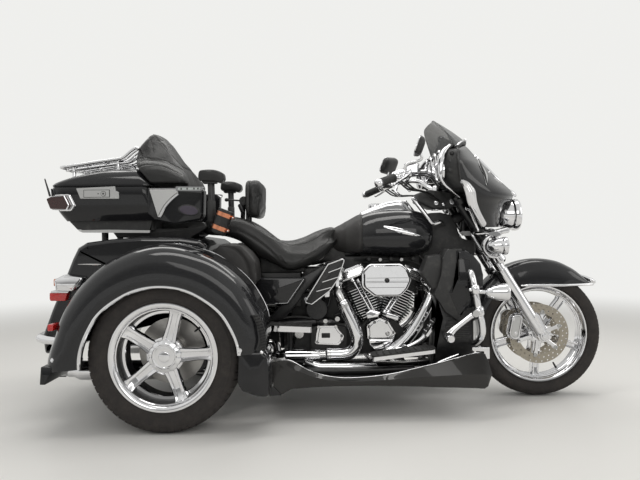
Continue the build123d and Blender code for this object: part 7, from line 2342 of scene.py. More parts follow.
def makeTrunk():
    shell = Shape(paintDeep, blackPlastic, chromeDull)
    profile = [(-1.306, 0.300), (-1.316, 0.385), (-1.272, 0.500), (-1.212, 0.640), (-1.176, 0.730),
               (-1.150, 0.782), (-1.110, 0.806), (-1.000, 0.820), (-0.860, 0.829), (-0.690, 0.826),
               (-0.600, 0.812), (-0.566, 0.790), (-0.552, 0.700), (-0.548, 0.460), (-1.150, 0.455),
               (-1.180, 0.320)]
    rows = [(-0.4145, 0.030), (-0.4145, 0.018), (-0.408, 0.008), (-0.395, 0.001), (-0.380, 0.0)]
    rows += [(-y, k) for y, k in reversed(rows)]
    outline = rounded(profile, 0.016, 3)
    count = len(outline)
    middle = Vector((-0.90, 0.60))
    rings = []
    for y, inset in rows:
        ring = []
        for i, p in enumerate(outline):
            along = (outline[(i + 1) % count] - outline[i - 1]).normalized()
            inward = Vector((-along.y, along.x))
            if inward.dot(middle - p) < 0:
                inward = -inward
            ring.append(Vector((p.x + inward.x * inset, y, p.y + inward.y * inset)))
        rings.append(ring)
    shell.skin(rings)
    # lower and upper end of the door
    low, high = Vector((-1.300, 0, 0.4215)), Vector((-1.172, 0, 0.735))
    along = (high - low).normalized()
    out = Vector((-along.z, 0, along.x))
    # a dull chrome sliver along the crease on each side: a painted highlight where the crease catches the
    # light
    for sign in (-1, 1):
        crest = flowing([(-1.146, sign * 0.4150, 0.708), (-1.100, sign * 0.4170, 0.708),
                         (-1.040, sign * 0.4175, 0.706)], 5)
        shell.tube(crest, [0.0010] + [0.0014 + 0.0004 * i for i in range(len(crest) - 2)] + [0.002], sides=8,
                   slot=2)
    trunk = shell.piece("trunkShell", "chassis", ("trunk_body",), sharp=32)
    room = Shape(paintDeep, blackPlastic)
    room.prism(rounded([(-1.270, 0.470), (-1.158, 0.752), (-1.100, 0.792), (-1.000, 0.806), (-0.860, 0.815),
                        (-0.700, 0.812), (-0.610, 0.798), (-0.578, 0.778), (-0.566, 0.700), (-0.562, 0.472)],
                       0.012, 3),
               -0.398, 0.398, 1)
    mouth = Shape(paintDeep, blackPlastic)
    half, length = doorHalf - 0.012, (high - low).length
    edge = rounded([(-half, 0.014), (half, 0.014), (half, length - 0.014), (-half, length - 0.014)], 0.020, 5)
    mouth.skin([[low + along * v + Vector((0, u, 0)) + out * h for u, v in edge] for h in (-0.055, 0.030)], 1)
    carved(trunk, (mouth, room), 32)

    door = Shape(paintDeep, blackPlastic, chrome)
    half = doorHalf
    plate = rounded([(-half, 0.004), (half, 0.004), (half, length - 0.004), (-half, length - 0.004)], 0.022,
                    5)
    for lift, top, scale, slot in ((0.0004, 0.0090, 1.0, 0), (0.0088, 0.0120, 0.86, 0),
                                   (-0.0060, 0.0010, 0.92, 1)):
        base = low + along * length * (1 - scale) / 2 + out * 0.004
        door.skin([[base + Vector((0, 1, 0)) * (u * scale * k) + along * (v * scale) + out * h for u,
                    v in plate]
                   for h, k in ((lift, 1.0), (top - 0.002, 1.0), (top, 0.992))], slot)
    for y in (-0.180, 0.180):
        spot = low + along * 0.006 + out * 0.012
        door.tube([spot + Vector((0, y - 0.024, 0)), spot + Vector((0, y + 0.024, 0))], 0.007, sides=16,
                  slot=1)
    handle = low + along * (length * 0.80) + out * 0.014
    door.tube([handle + Vector((0, -0.070, 0)), handle + Vector((0, -0.055, 0)) + out * 0.014,
               handle + Vector((0, 0.055, 0)) + out * 0.014, handle + Vector((0, 0.070, 0))], 0.006,
              sides=12, slot=2)
    door.lathe([(0.0, -0.010), (0.012, -0.010), (0.014, -0.006), (0.014, 0.004), (0.0, 0.004)],
               low + along * (length * 0.62) + out * 0.016, axis="X", sides=24, slot=2)
    # a plain number-plate holder below the handle, bare
    base = low + along * (length * 0.22) + out * 0.016
    frameOut = rounded([(-0.100, 0.0), (0.100, 0.0), (0.100, 0.118), (-0.100, 0.118)], 0.008, 4)
    door.skin([[base + Vector((0, u, 0)) + along * v + out * h for u, v in frameOut] for h
               in (-0.006, 0.005)], 1)
    door.piece("trunkDoorPanel", "tail_door", ("trunk_door",), sharp=32)


def makeTailLamps():
    lamps = Shape(chrome, redLens, blackPlastic, amberLens)
    for sign in (-1, 1):
        body = [(-1.244, 0.640), (-1.196, 0.664), (-1.108, 0.652), (-1.122, 0.612), (-1.160, 0.588),
                (-1.236, 0.590)]
        soft(body, 0.318, 0.452, 0.012, 0, lamps, 0.010, sign=sign)
        soft([(-1.262, 0.584), (-1.182, 0.586), (-1.192, 0.546), (-1.262, 0.546)], 0.322, 0.446, 0.005, 1,
             lamps,
             0.006, sign=sign)
        soft([(-1.256, 0.592), (-1.170, 0.592), (-1.180, 0.582), (-1.256, 0.582)], 0.320, 0.450, 0.003, 0,
             lamps,
             0.003, sign=sign)
        # rear faces of the cluster
        for z, x, slot in ((0.628, -1.243, 3), (0.566, -1.262, 1)):
            rearFace = rounded([(0.334, -0.016), (0.436, -0.016), (0.436, 0.016), (0.334, 0.016)], 0.008, 4)
            lamps.skin([[(x - dx, sign * y, z + dz) for y, dz in rearFace] for dx in (-0.010, 0.004)], slot)
        # small side marker low on the fender's tail
        soft([(-1.192, 0.468), (-1.166, 0.468), (-1.168, 0.440), (-1.192, 0.440)], 0.560, 0.640, 0.004, 1,
             lamps,
             0.005, sign=sign)
    lamps.piece("tailLampPair", "chassis", ("tail_lamps",), sharp=34)


def makeBumper():
    shape = Shape(chrome, blackPlastic)
    path = flowing([(-1.218, -0.440, 0.366), (-1.262, -0.430, 0.368), (-1.318, -0.398, 0.370),
                    (-1.342, -0.330, 0.372), (-1.345, 0.0, 0.372), (-1.342, 0.330, 0.372),
                    (-1.318, 0.398, 0.370), (-1.262, 0.430, 0.368), (-1.218, 0.440, 0.366)], 7)
    shape.tube(path, 0.0195, sides=24)
    for y in (-0.240, 0.240):
        shape.tube(bent([(-1.340, y, 0.370), (-1.338, y, 0.252), (-1.200, y, 0.244)], 0.05), 0.013, sides=16)
        shape.box((-1.302, y, 0.372), (0.080, 0.024, 0.028), 0)
    shape.piece("bumperTube", "chassis", ("rear_bumper",), sharp=50)


def makeFlaps():
    shape = Shape(paintDeep, rubberBlack, chrome)
    for sign in (-1, 1):
        # flap behind the tyre: a sheet cut to a point
        outer = [(-1.202, 0.300), (-1.208, 0.226), (-1.186, 0.226), (-1.150, 0.298)]
        soft(outer, 0.440, 0.684, 0.004, 0, shape, 0.004, sign=sign)
        # guard ahead of the tyre: a bent panel with a lip
        soft([(-0.392, 0.352), (-0.398, 0.226), (-0.380, 0.192), (-0.316, 0.168), (-0.268, 0.165),
              (-0.266, 0.270), (-0.276, 0.330),
              (-0.300, 0.352)], 0.636, 0.684, 0.010, 0, shape, 0.020, sign=sign)
        soft([(-0.300, 0.352), (-0.276, 0.330), (-0.266, 0.270), (-0.268, 0.165), (-0.290, 0.170),
              (-0.300, 0.300)],
             0.440, 0.650, 0.006, 0, shape, 0.008, sign=sign)
        # grip strip on the fender's front edge
        rings = []
        for t in np.linspace(0, 1, 12):
            x, z = -0.322 + 0.046 * t - 0.020 * t * t + 0.010 * math.sin(math.pi * t), 0.505 - 0.152 * t
            rings.append([(x + dx, sign * (0.682 + dy), z) for dx, dy in
                          ((-0.012, -0.006), (-0.012, 0.004), (0.000, 0.007), (0.014, 0.004),
                           (0.014, -0.010))])
        shape.skin(rings, 1)
        for i in range(13):
            t = (i + 0.5) / 13
            x, z = -0.322 + 0.046 * t - 0.020 * t * t + 0.010 * math.sin(math.pi * t), 0.505 - 0.152 * t
            shape.tube([(x - 0.011, sign * 0.6895, z - 0.003), (x + 0.012, sign * 0.6885, z + 0.004)],
                       0.0018, sides=6,
                       slot=0)
        for x, z in ((-0.384, 0.350), (-0.297, 0.352)):
            shape.lathe([(0.0, 0.0), (0.0075, 0.0), (0.0075, 0.004), (0.004, 0.008), (0.0, 0.008)]
                        if sign > 0 else
                        [(0.0, 0.0), (0.0075, 0.0), (0.0075, -0.004), (0.004, -0.008), (0.0, -0.008)],
                        (x, sign * 0.686, z), sides=20, slot=2)
    shape.piece("splashGuards", "chassis", ("mud_flaps",), sharp=34)


# skirt stations along X: x, top z, chine z, bottom z, depth of the chine outwards
skirtLook = [(-0.268, 0.262, 0.250, 0.118, 0.000), (-0.230, 0.272, 0.244, 0.118, 0.002),
             (-0.190, 0.270, 0.236, 0.140, 0.006), (-0.150, 0.248, 0.224, 0.144, 0.010),
             (-0.110, 0.226, 0.208, 0.147, 0.014), (-0.040, 0.202, 0.190, 0.150, 0.018),
             (0.050, 0.190, 0.180, 0.152, 0.020), (0.160, 0.194, 0.182, 0.152, 0.020),
             (0.268, 0.207, 0.188, 0.150, 0.020), (0.380, 0.232, 0.196, 0.147, 0.020),
             (0.467, 0.252, 0.200, 0.143, 0.019), (0.560, 0.276, 0.204, 0.140, 0.018),
             (0.642, 0.296, 0.206, 0.137, 0.016), (0.684, 0.288, 0.204, 0.136, 0.012),
             (0.702, 0.232, 0.201, 0.156, 0.006), (0.709, 0.206, 0.200, 0.190, 0.001)]


def makeSkirts():
    # the skirt paint's lifted tone is a painted floor reflection
    shape = Shape(skirtReflectionPaint, chrome, blackMetal)
    for sign in (-1, 1):
        rings = []
        for x in np.linspace(-0.268, 0.709, 66):
            top, chine, low, depth = columns(skirtLook, x)
            y = 0.440
            rings.append([(x, sign * py, pz) for py, pz in
                          ((y, top - 0.004), (y + 0.003, top), (y + 0.008, top + 0.0015),
                           (y + 0.013, top - 0.002), (y + 0.012 + depth * 0.55, top * 0.4 + chine * 0.6),
                           (y + 0.012 + depth, chine),
                           (y + 0.010 + depth * 0.8, chine * 0.75 + low * 0.25), (y + 0.004, low + 0.004),
                           (y, low), (y - 0.004, low + 0.004), (y - 0.003, chine))])
        shape.skin(rings, 0)
        # a chrome bead along the skirt's rounded top edge: a painted highlight on that edge
        rim = [(row[0], sign * 0.4455, row[1] + 0.0012) for row in skirtLook[1:-2]]
        shape.tube(flowing(rim, 5), 0.0017, sides=8, slot=1)
        # thin bright strip and the angle bracket at the front end
        shape.tube([(0.470, sign * 0.436, 0.254), (0.515, sign * 0.436, 0.272), (0.562, sign * 0.436, 0.290)],
                   [0.003, 0.0055, 0.003], sides=8, slot=1)
        soft([(0.624, 0.320), (0.702, 0.320), (0.702, 0.268), (0.688, 0.268), (0.684, 0.304), (0.624, 0.306)],
             0.396, 0.440, 0.002, 1, shape, 0.003, sign=sign)
        for x in (-0.110, 0.484):
            shape.tube([(x, sign * 0.130, 0.190), (x, sign * 0.444, 0.196)], 0.012, sides=12, slot=2)
        # rubber-like end flap
        soft([(-0.285, 0.112), (-0.284, 0.160), (-0.262, 0.150), (-0.229, 0.116)], 0.440, 0.452, 0.002, 2,
             shape,
             0.003, sign=sign)
    shape.piece("skirtPair", "chassis", ("side_skirts",), sharp=22)


def makeLowerFairings():
    shape = Shape(paintDeep, blackPlastic, silverPaint, blackMetal)
    for sign in (-1, 1):
        # radiator shroud at the back, matt glove box in the middle, gloss leg shield ahead
        soft([(0.414, 0.650), (0.446, 0.726), (0.508, 0.736), (0.532, 0.640), (0.500, 0.568), (0.462, 0.576)],
             0.226, 0.346, 0.010, 1, shape, 0.014, sign=sign)
        soft([(0.508, 0.716), (0.534, 0.760), (0.596, 0.762), (0.630, 0.690), (0.630, 0.560), (0.640, 0.470),
              (0.590, 0.420), (0.520, 0.470), (0.470, 0.552), (0.500, 0.640)], 0.222, 0.3665, 0.006, 1,
             shape, 0.008,
             sign=sign)
        soft([(0.566, 0.760), (0.610, 0.756), (0.650, 0.732), (0.684, 0.690), (0.696, 0.640), (0.694, 0.560),
              (0.676, 0.500), (0.622, 0.480), (0.586, 0.436), (0.570, 0.470), (0.532, 0.560), (0.568, 0.640)],
             0.220, 0.3722, 0.016, 0, shape, 0.014, steps=5, sign=sign)
        # hatch line of the glove box lid
        hatch = rounded([(0.578, 0.716), (0.634, 0.712), (0.630, 0.606), (0.582, 0.610)], 0.014, 5)
        hatch.append(hatch[0])
        shape.tube([(p.x, sign * 0.3724, p.y) for p in hatch], 0.0016, sides=6, slot=1)
        # radiator with slats below
        soft([(0.474, 0.548), (0.516, 0.560), (0.600, 0.520), (0.682, 0.520), (0.686, 0.430), (0.684, 0.348),
              (0.652, 0.262), (0.560, 0.226), (0.456, 0.214), (0.470, 0.360), (0.506, 0.440)], 0.224, 0.340,
             0.008, 3,
             shape, 0.010, sign=sign)
        soft([(0.650, 0.428), (0.688, 0.448), (0.688, 0.352), (0.650, 0.332)], 0.250, 0.350, 0.004, 2, shape,
             0.006,
             sign=sign)
        for i in range(9):
            z = 0.350 + i * 0.0165
            shape.box((0.578, sign * 0.342, z), (0.118 - i * 0.004, 0.008, 0.0045), 1,
                      Matrix.Rotation(sign * math.radians(24), 3, "X"))
        # stay to the frame
        shape.tube([(0.620, sign * 0.222, 0.610), (0.630, sign * 0.050, 0.600)], 0.014, sides=12, slot=3)
    shape.piece("legShields", "chassis", ("lower_fairings",), sharp=30)


def makeSideCovers():
    shape = Shape(paint, chrome, blackPlastic, blackMetal)
    for sign in (-1, 1):
        soft([(-0.360, 0.626), (-0.118, 0.624), (-0.208, 0.494), (-0.344, 0.492), (-0.366, 0.540)], 0.150,
             0.205,
             0.008, 0, shape, 0.010, sign=sign)
        # bright line just inside the cover's edge
        edge = [(-0.134, sign * 0.2055, 0.616), (-0.214, sign * 0.2055, 0.502),
                (-0.338, sign * 0.2055, 0.500)]
        shape.tube(bent(edge, 0.012, 4), 0.0014, sides=6, slot=1)
        # dark strut from the seat rail to the rear fork
        soft([(-0.140, 0.626), (-0.038, 0.682), (-0.020, 0.660), (-0.120, 0.560), (-0.230, 0.418),
              (-0.316, 0.418), (-0.180, 0.560)], 0.120, 0.176, 0.008, 3, shape, 0.010, sign=sign)
        # heat shield: a dark panel with bright rims and three ribs
        panel = [(0.066, 0.718), (-0.016, 0.688), (-0.130, 0.508), (-0.096, 0.498), (-0.010, 0.562),
                 (0.030, 0.616)]
        soft(panel, 0.186, 0.236, 0.006, 2, shape, 0.008, sign=sign)
        rim = rounded(panel, 0.010, 4)
        rim.append(rim[0])
        shape.tube([(p.x, sign * 0.237, p.y) for p in rim], 0.0030, sides=8, slot=1)
        for a, b in (((-0.014, 0.650), (0.046, 0.672)), ((-0.044, 0.604), (0.032, 0.628)),
                     ((-0.072, 0.560), (-0.004, 0.578))):
            shape.tube([(a[0], sign * 0.237, a[1]), ((a[0] + b[0]) / 2, sign * 0.2385, (a[1] + b[1]) / 2),
                        (b[0], sign * 0.237, b[1])], 0.0026, sides=8, slot=1)
        shape.box((0.030, sign * 0.180, 0.600), (0.014, 0.050, 0.040), 1)
    shape.piece("sideCoverPair", "chassis", ("side_covers",), sharp=32)


def makeInnards():
    # battery, wiring boxes, rear fork, floor pan and loose hoses that close the view through the frame
    shape = Shape(blackPlastic, blackMetal, chromeDull, rubberBlack)
    for centre, size in (((-0.250, 0, 0.560), (0.200, 0.250, 0.170)),
                         ((-0.240, 0, 0.690), (0.220, 0.220, 0.090)),
                         ((-0.080, 0, 0.610), (0.120, 0.180, 0.110)),
                         ((0.300, 0, 0.690), (0.300, 0.090, 0.070)),
                         ((-0.120, 0, 0.480), (0.160, 0.170, 0.120)),
                         ((0.120, 0, 0.690), (0.120, 0.100, 0.060)),
                         ((0.530, 0, 0.560), (0.060, 0.150, 0.150)),
                         ((0.560, 0, 0.400), (0.070, 0.240, 0.160))):
        x, y, z = (s / 2 for s in size)
        outline = [(centre[0] - x, centre[2] - z), (centre[0] + x, centre[2] - z),
                   (centre[0] + x, centre[2] + z), (centre[0] - x, centre[2] + z)]
        soft(outline, -y, y, 0.006, 0, shape, 0.010)
    neck = [(0.440, 0.745), (0.470, 0.880), (0.500, 0.936), (0.560, 0.939), (0.612, 0.925), (0.640, 0.880),
            (0.658, 0.812), (0.700, 0.796), (0.734, 0.800), (0.738, 0.750), (0.724, 0.680),
            (0.706, 0.620), (0.660, 0.560), (0.560, 0.600)]
    soft(neck, -0.048, 0.048, 0.008, 0, shape, 0.020)
    # starter side, frame and mounts between the side cover, the rear cylinder and the pipes
    soft([(-0.060, 0.420), (-0.050, 0.580), (0.060, 0.590), (0.140, 0.400), (0.060, 0.380)], -0.050, 0.050,
         0.006, 0, shape,
         0.010)
    soft([(-0.060, 0.700), (-0.040, 0.775), (0.060, 0.775), (0.080, 0.700)], -0.050, 0.050, 0.006, 0, shape,
         0.010)
    soft([(0.060, 0.170), (0.060, 0.236), (0.240, 0.236), (0.240, 0.170)], -0.110, 0.110, 0.006, 0, shape,
         0.010)
    # floor of the box and its mount down to the trunk
    soft([(-1.070, 0.866), (-0.690, 0.870), (-0.620, 0.900), (-0.600, 0.870), (-0.690, 0.818),
          (-1.040, 0.826)], -0.190,
         0.190, 0.006, 0, shape, 0.010)
    # rear fork and floor pan
    for sign in (-1, 1):
        shape.tube(flowing([(-0.080, sign * 0.120, 0.400), (-0.240, sign * 0.140, 0.392),
                            (-0.420, sign * 0.150, 0.360),
                            (-0.560, sign * 0.150, 0.330)], 5), 0.022, sides=16, slot=1)
        soft([(-0.250, 0.166), (0.600, 0.166), (0.640, 0.196), (0.600, 0.176), (-0.250, 0.174)], 0.140,
             0.420, 0.002,
             1, shape, 0.002, sign=sign)
        for i, (x, z) in enumerate(((0.520, 0.216), (0.440, 0.212), (0.330, 0.214), (0.250, 0.226))):
            shape.lathe([(0.0, 0.0), (0.020, 0.0), (0.024, sign * 0.006), (0.024, sign * 0.050),
                         (0.0, sign * 0.050)],
                        (x, sign * (0.150 + 0.02 * (i % 2)), z), sides=24, slot=i % 2)
        shape.tube(flowing([(-0.200, sign * 0.300, 0.196), (0.000, sign * 0.300, 0.190),
                            (0.180, sign * 0.300, 0.192),
                            (0.380, sign * 0.296, 0.198)], 5), 0.017, sides=14, slot=1)
    hoses = [[(0.120, -0.070, 0.705), (0.200, -0.095, 0.716), (0.300, -0.088, 0.705), (0.420, -0.070, 0.712)],
             [(0.160, -0.060, 0.690), (0.260, -0.100, 0.694), (0.380, -0.092, 0.700), (0.470, -0.080, 0.660),
              (0.500, -0.080, 0.580)],
             [(-0.360, -0.150, 0.450), (-0.300, -0.165, 0.420), (-0.180, -0.160, 0.430),
              (-0.100, -0.150, 0.420)],
             [(-0.420, -0.160, 0.560), (-0.400, -0.170, 0.500), (-0.360, -0.168, 0.430),
              (-0.330, -0.150, 0.380)]]
    for path in hoses:
        shape.tube(flowing(path, 6), 0.0055, sides=10, slot=3)
        shape.tube(flowing([(p[0], -p[1], p[2]) for p in path], 6), 0.0055, sides=10, slot=3)
    # small plugs and fittings under the tank
    for i, x in enumerate((0.190, 0.246, 0.300, 0.352, 0.410)):
        shape.lathe([(0.0, -0.118), (0.008, -0.118), (0.010, -0.112), (0.010, -0.060), (0.0, -0.060)],
                    (x, 0, 0.708 - 0.004 * (i % 2)), sides=16, slot=2 if i % 2 else 0)
    shape.piece("innerWorks", "chassis", sharp=34)


def makeGuard():
    barSide = 0.402
    shape = Shape(chrome, chromeDull, blackMetal, clearLens)
    for sign in (-1, 1):
        path = flowing([(0.628, sign * 0.060, 0.640), (0.630, sign * 0.200, 0.660),
                        (0.634, sign * 0.320, 0.664), (0.636, sign * 0.386, 0.640),
                        (0.650, sign * barSide, 0.556), (0.662, sign * barSide, 0.487),
                        (0.676, sign * 0.400, 0.430), (0.682, sign * 0.392, 0.380),
                        (0.672, sign * 0.366, 0.340), (0.650, sign * 0.310, 0.312),
                        (0.622, sign * 0.220, 0.298), (0.612, sign * 0.130, 0.290)], 7)
        shape.tube(path, 0.0155, sides=24)
        # clamp, highway peg with its arm, bolt and knurled foot bar
        shape.tube([(0.645, sign * barSide, 0.590), (0.650, sign * barSide, 0.562)], 0.0205, sides=24)
        shape.tube([(0.648, sign * barSide, 0.574), (0.620, sign * 0.410, 0.576)], 0.008, sides=14)
        shape.tube([(0.664, sign * barSide, 0.492), (0.668, sign * barSide, 0.462)], 0.0215, sides=24)
        arm = flowing([(0.664, sign * 0.414, 0.480), (0.630, sign * 0.416, 0.462),
                       (0.590, sign * 0.416, 0.432), (0.548, sign * 0.416, 0.398),
                       (0.522, sign * 0.416, 0.368)], 6)
        count = len(arm)
        shape.tube(arm, [0.013 + 0.006 * abs(2 * i / (count - 1) - 1) ** 2 for i in range(count)], sides=16)
        shape.lathe([(0.0, -0.016), (0.015, -0.016), (0.018, -0.010), (0.018, 0.010), (0.015, 0.016),
                     (0.0, 0.016)],
                    (0.643, sign * 0.420, 0.470), sides=28, slot=1)
        shape.lathe([(0.0, -0.030), (0.016, -0.030), (0.019, -0.022), (0.019, 0.080), (0.015, 0.086),
                     (0.0, 0.086)]
                    if sign > 0 else
                    [(0.0, 0.030), (0.016, 0.030), (0.019, 0.022), (0.019, -0.080), (0.015, -0.086),
                     (0.0, -0.086)],
                    (0.520, sign * 0.404, 0.366), sides=32, slot=0)
        for i in range(4):
            at = sign * (0.404 + 0.014 + i * 0.017)
            shape.lathe([(0.0190, -0.004), (0.0205, -0.002), (0.0205, 0.002), (0.0190, 0.004)],
                        (0.520, at, 0.366),
                        sides=28, slot=2, ring=True)
        # bullet lamp: a teardrop shell, its bezel and lens facing forward
        profile = [(0.0, 0.000), (0.012, 0.003), (0.022, 0.014), (0.031, 0.036), (0.0365, 0.060),
                   (0.0385, 0.082), (0.0400, 0.090), (0.0400, 0.106), (0.0370, 0.110), (0.0350, 0.106),
                   (0.0, 0.104)]
        shape.lathe([(r, x) for r, x in profile], (0.691, sign * 0.394, 0.562), axis="X", sides=44)
        shape.lathe([(0.0, 0.112), (0.020, 0.110), (0.034, 0.105), (0.034, 0.100), (0.0, 0.100)],
                    (0.691, sign * 0.394, 0.562), axis="X", sides=36, slot=3)
        shape.tube([(0.652, sign * 0.400, 0.566), (0.700, sign * 0.396, 0.563)], 0.009, sides=14)
    # bright stays beside the tank, on the frame so that the bar steers clear of them
    for sign in (-1, 1):
        stay = bent([(0.406, sign * 0.150, 1.006), (0.504, sign * 0.146, 0.878), (0.540, sign * 0.138, 0.890),
                     (0.560, sign * 0.090, 0.884), (0.580, sign * 0.040, 0.876)], 0.014, 6)
        shape.tube(stay, 0.0105, sides=16)
    shape.piece("guardTubes", "chassis", ("engine_guard",), sharp=44)


def makeCup():
    cup, metal = Shape(blackPlastic, rubberBlack), Shape(copper, chromeDull)
    lean = math.radians(21)
    axis = Vector((math.sin(lean), 0, math.cos(lean)))
    side = Vector((math.cos(lean), 0, -math.sin(lean)))
    foot = Vector((-0.522, -0.366, 0.838))

    def ringAt(height, radius, sides=48):
        return [foot + axis * height + (side * math.cos(a) + Vector((0, 1, 0)) * math.sin(a)) * radius
                for a in np.linspace(0, 2 * math.pi, sides, endpoint=False)]

    cup.skin([ringAt(h, r) for h, r in ((0.0, 0.027), (0.004, 0.031), (0.012, 0.0345), (0.104, 0.0358),
                                        (0.110, 0.0375), (0.116, 0.0375), (0.118, 0.0355),
                                        (0.116, 0.0325), (0.010, 0.0312), (0.006, 0.028))])
    start, end = Vector((-0.555, -0.330, 0.884)), foot + axis * 0.046
    cup.tube(flowing([start, start.lerp(end, 0.5) + Vector((0, 0, -0.006)), end], 5), 0.0085, sides=14,
             slot=0)
    for height in (0.030, 0.094):
        metal.skin([ringAt(height + h, r) for h, r in ((-0.0095, 0.0350), (-0.0095, 0.0382), (0.0095, 0.0386),
                                                       (0.0095, 0.0350))], 0)
        # clamp screw on the front of each band
        spot = foot + axis * height + side * 0.041 + Vector((0, -0.008, 0))
        metal.tube([spot + Vector((0, -0.012, 0)), spot + Vector((0, 0.020, 0))], 0.0058, sides=14, slot=0)
        metal.tube([spot + Vector((0, -0.018, 0)), spot + Vector((0, -0.012, 0))], 0.0046, sides=6, slot=1)
    cup.piece("cupHolder", "chassis", ("cup_holder",), sharp=40)
    metal.piece("cupBands", "chassis", sharp=40)


def makePosts():
    shape = Shape(blackMetal, rubberBlack, chrome)
    for sign in (-1, 1):
        post = [(-0.556, sign * 0.330, 1.084), (-0.554, sign * 0.330, 1.000), (-0.554, sign * 0.330, 0.905),
                (-0.556, sign * 0.322, 0.884), (-0.558, sign * 0.290, 0.878), (-0.560, sign * 0.060, 0.878)]
        shape.tube(bent(post, 0.020, 5), 0.0165, sides=18)
        shape.tube([(-0.555, sign * 0.330, 0.990), (-0.555, sign * 0.330, 0.900)], 0.0195, sides=18, slot=1)
        soft([(-0.600, 1.086), (-0.520, 1.086), (-0.530, 1.072), (-0.590, 1.072)], 0.312, 0.348, 0.003, 0,
             shape,
             0.004, sign=sign)
        # round adjuster on the post, seen as a dark disc
        shape.lathe([(0.0, sign * 0.0), (0.022, 0.0), (0.024, sign * 0.004), (0.024, sign * 0.012),
                     (0.018, sign * 0.016), (0.0, sign * 0.016)], (-0.548, sign * 0.200, 0.900), sides=28,
                    slot=1)
    # bracket, rod, knob and disc behind the rider's backrest
    shape.tube(bent([(-0.416, 0, 1.010), (-0.446, 0, 1.000), (-0.452, 0, 0.860)], 0.02, 5), 0.012, sides=14)
    shape.tube([(-0.418, -0.060, 0.990), (-0.418, -0.060, 0.905), (-0.440, -0.060, 0.850)], 0.009, sides=12)
    shape.tube([(-0.418, 0.060, 0.990), (-0.418, 0.060, 0.905), (-0.440, 0.060, 0.850)], 0.009, sides=12)
    shape.lathe([(0.0, -0.112), (0.020, -0.112), (0.023, -0.104), (0.023, -0.080), (0.0, -0.080)],
                (-0.432, 0, 1.004), sides=28, slot=1)
    shape.tube([(-0.432, -0.080, 1.004), (-0.432, 0.080, 1.004)], 0.008, sides=12)
    shape.tube([(-0.436, -0.100, 1.004), (-0.508, -0.100, 1.010)], 0.0042, sides=10)
    shape.lathe([(0.0, -0.528), (0.007, -0.526), (0.0095, -0.518), (0.007, -0.508), (0.0, -0.506)],
                (0, -0.100, 1.010), axis="X", sides=20, slot=1)
    shape.tube([(-0.450, -0.100, 0.984), (-0.436, -0.100, 0.950)], 0.013, sides=14, slot=0)
    shape.piece("armrestPosts", "chassis", ("armrest_posts",), sharp=44)


# black paint of the skirts, its tone lifted to a warm grey: a painted reflection of the pale floor
skirtReflectionPaint = paintFinish("skirtReflectionPaint", (0.020, 0.019, 0.018), 0.20, 0.24)
makeTrunk()
makeTailLamps()
makeBumper()
makeFlaps()
makeSkirts()
makeLowerFairings()
makeSideCovers()
makeInnards()
makeGuard()
makeCup()
makePosts()
print("body ready")


# small parts that repeat: screws set on points and stitches set along seams, by Geometry Nodes
def newTree(name, inputs):
    tree = bpy.data.node_groups.new(name, "GeometryNodeTree")
    tree.interface.new_socket("Geometry", in_out="INPUT", socket_type="NodeSocketGeometry")
    keys = {}
    for label, kind, value in inputs:
        item = tree.interface.new_socket(label, in_out="INPUT", socket_type="NodeSocket" + kind)
        item.default_value = value
        keys[label] = item.identifier
    finish = tree.interface.new_socket("Finish", in_out="INPUT", socket_type="NodeSocketMaterial")
    keys["Finish"] = finish.identifier
    tree.interface.new_socket("Geometry", in_out="OUTPUT", socket_type="NodeSocketGeometry")
    return tree, keys


def ended(tree, entry, instances):
    # realized, given its finish and handed out
    real = tree.nodes.new("GeometryNodeRealizeInstances")
    dressed = tree.nodes.new("GeometryNodeSetMaterial")
    leave = tree.nodes.new("NodeGroupOutput")
    tree.links.new(instances, real.inputs["Geometry"])
    tree.links.new(real.outputs["Geometry"], dressed.inputs["Geometry"])
    tree.links.new(entry.outputs["Finish"], dressed.inputs["Material"])
    tree.links.new(dressed.outputs["Geometry"], leave.inputs["Geometry"])


def cylinderNode(tree, sides, radius, depth):
    node = tree.nodes.new("GeometryNodeMeshCylinder")
    for label, source in (("Vertices", sides), ("Radius", radius), ("Depth", depth)):
        if isinstance(source, int):
            node.inputs[label].default_value = source
        else:
            tree.links.new(source, node.inputs[label])
    return node.outputs["Mesh"]


def placed(tree, points, model, direction):
    turn = tree.nodes.new("FunctionNodeAlignRotationToVector")
    turn.axis = "Z"
    spread = tree.nodes.new("GeometryNodeInstanceOnPoints")
    tree.links.new(direction, turn.inputs["Vector"])
    tree.links.new(points, spread.inputs["Points"])
    tree.links.new(model, spread.inputs["Instance"])
    tree.links.new(turn.outputs["Rotation"], spread.inputs["Rotation"])
    return spread.outputs["Instances"]


def screwTree():
    tree, keys = newTree("screwTree", [("Sides", "Int", 6), ("Radius", "Float", 0.005),
                                       ("Depth", "Float", 0.006), ("Washer", "Float", 0.007)])
    entry = tree.nodes.new("NodeGroupInput")
    half = tree.nodes.new("ShaderNodeMath")
    half.operation = "MULTIPLY"
    half.inputs[1].default_value = 0.4
    tree.links.new(entry.outputs["Depth"], half.inputs[0])
    both = tree.nodes.new("GeometryNodeJoinGeometry")
    head = cylinderNode(tree, entry.outputs["Sides"], entry.outputs["Radius"], entry.outputs["Depth"])
    washer = cylinderNode(tree, 24, entry.outputs["Washer"], half.outputs["Value"])
    for mesh in (head, washer):
        tree.links.new(mesh, both.inputs["Geometry"])
    facing = tree.nodes.new("GeometryNodeInputNamedAttribute")
    facing.data_type = "FLOAT_VECTOR"
    facing.inputs["Name"].default_value = "facing"
    ended(tree, entry, placed(tree, entry.outputs["Geometry"], both.outputs["Geometry"],
                              facing.outputs["Attribute"]))
    return tree, keys


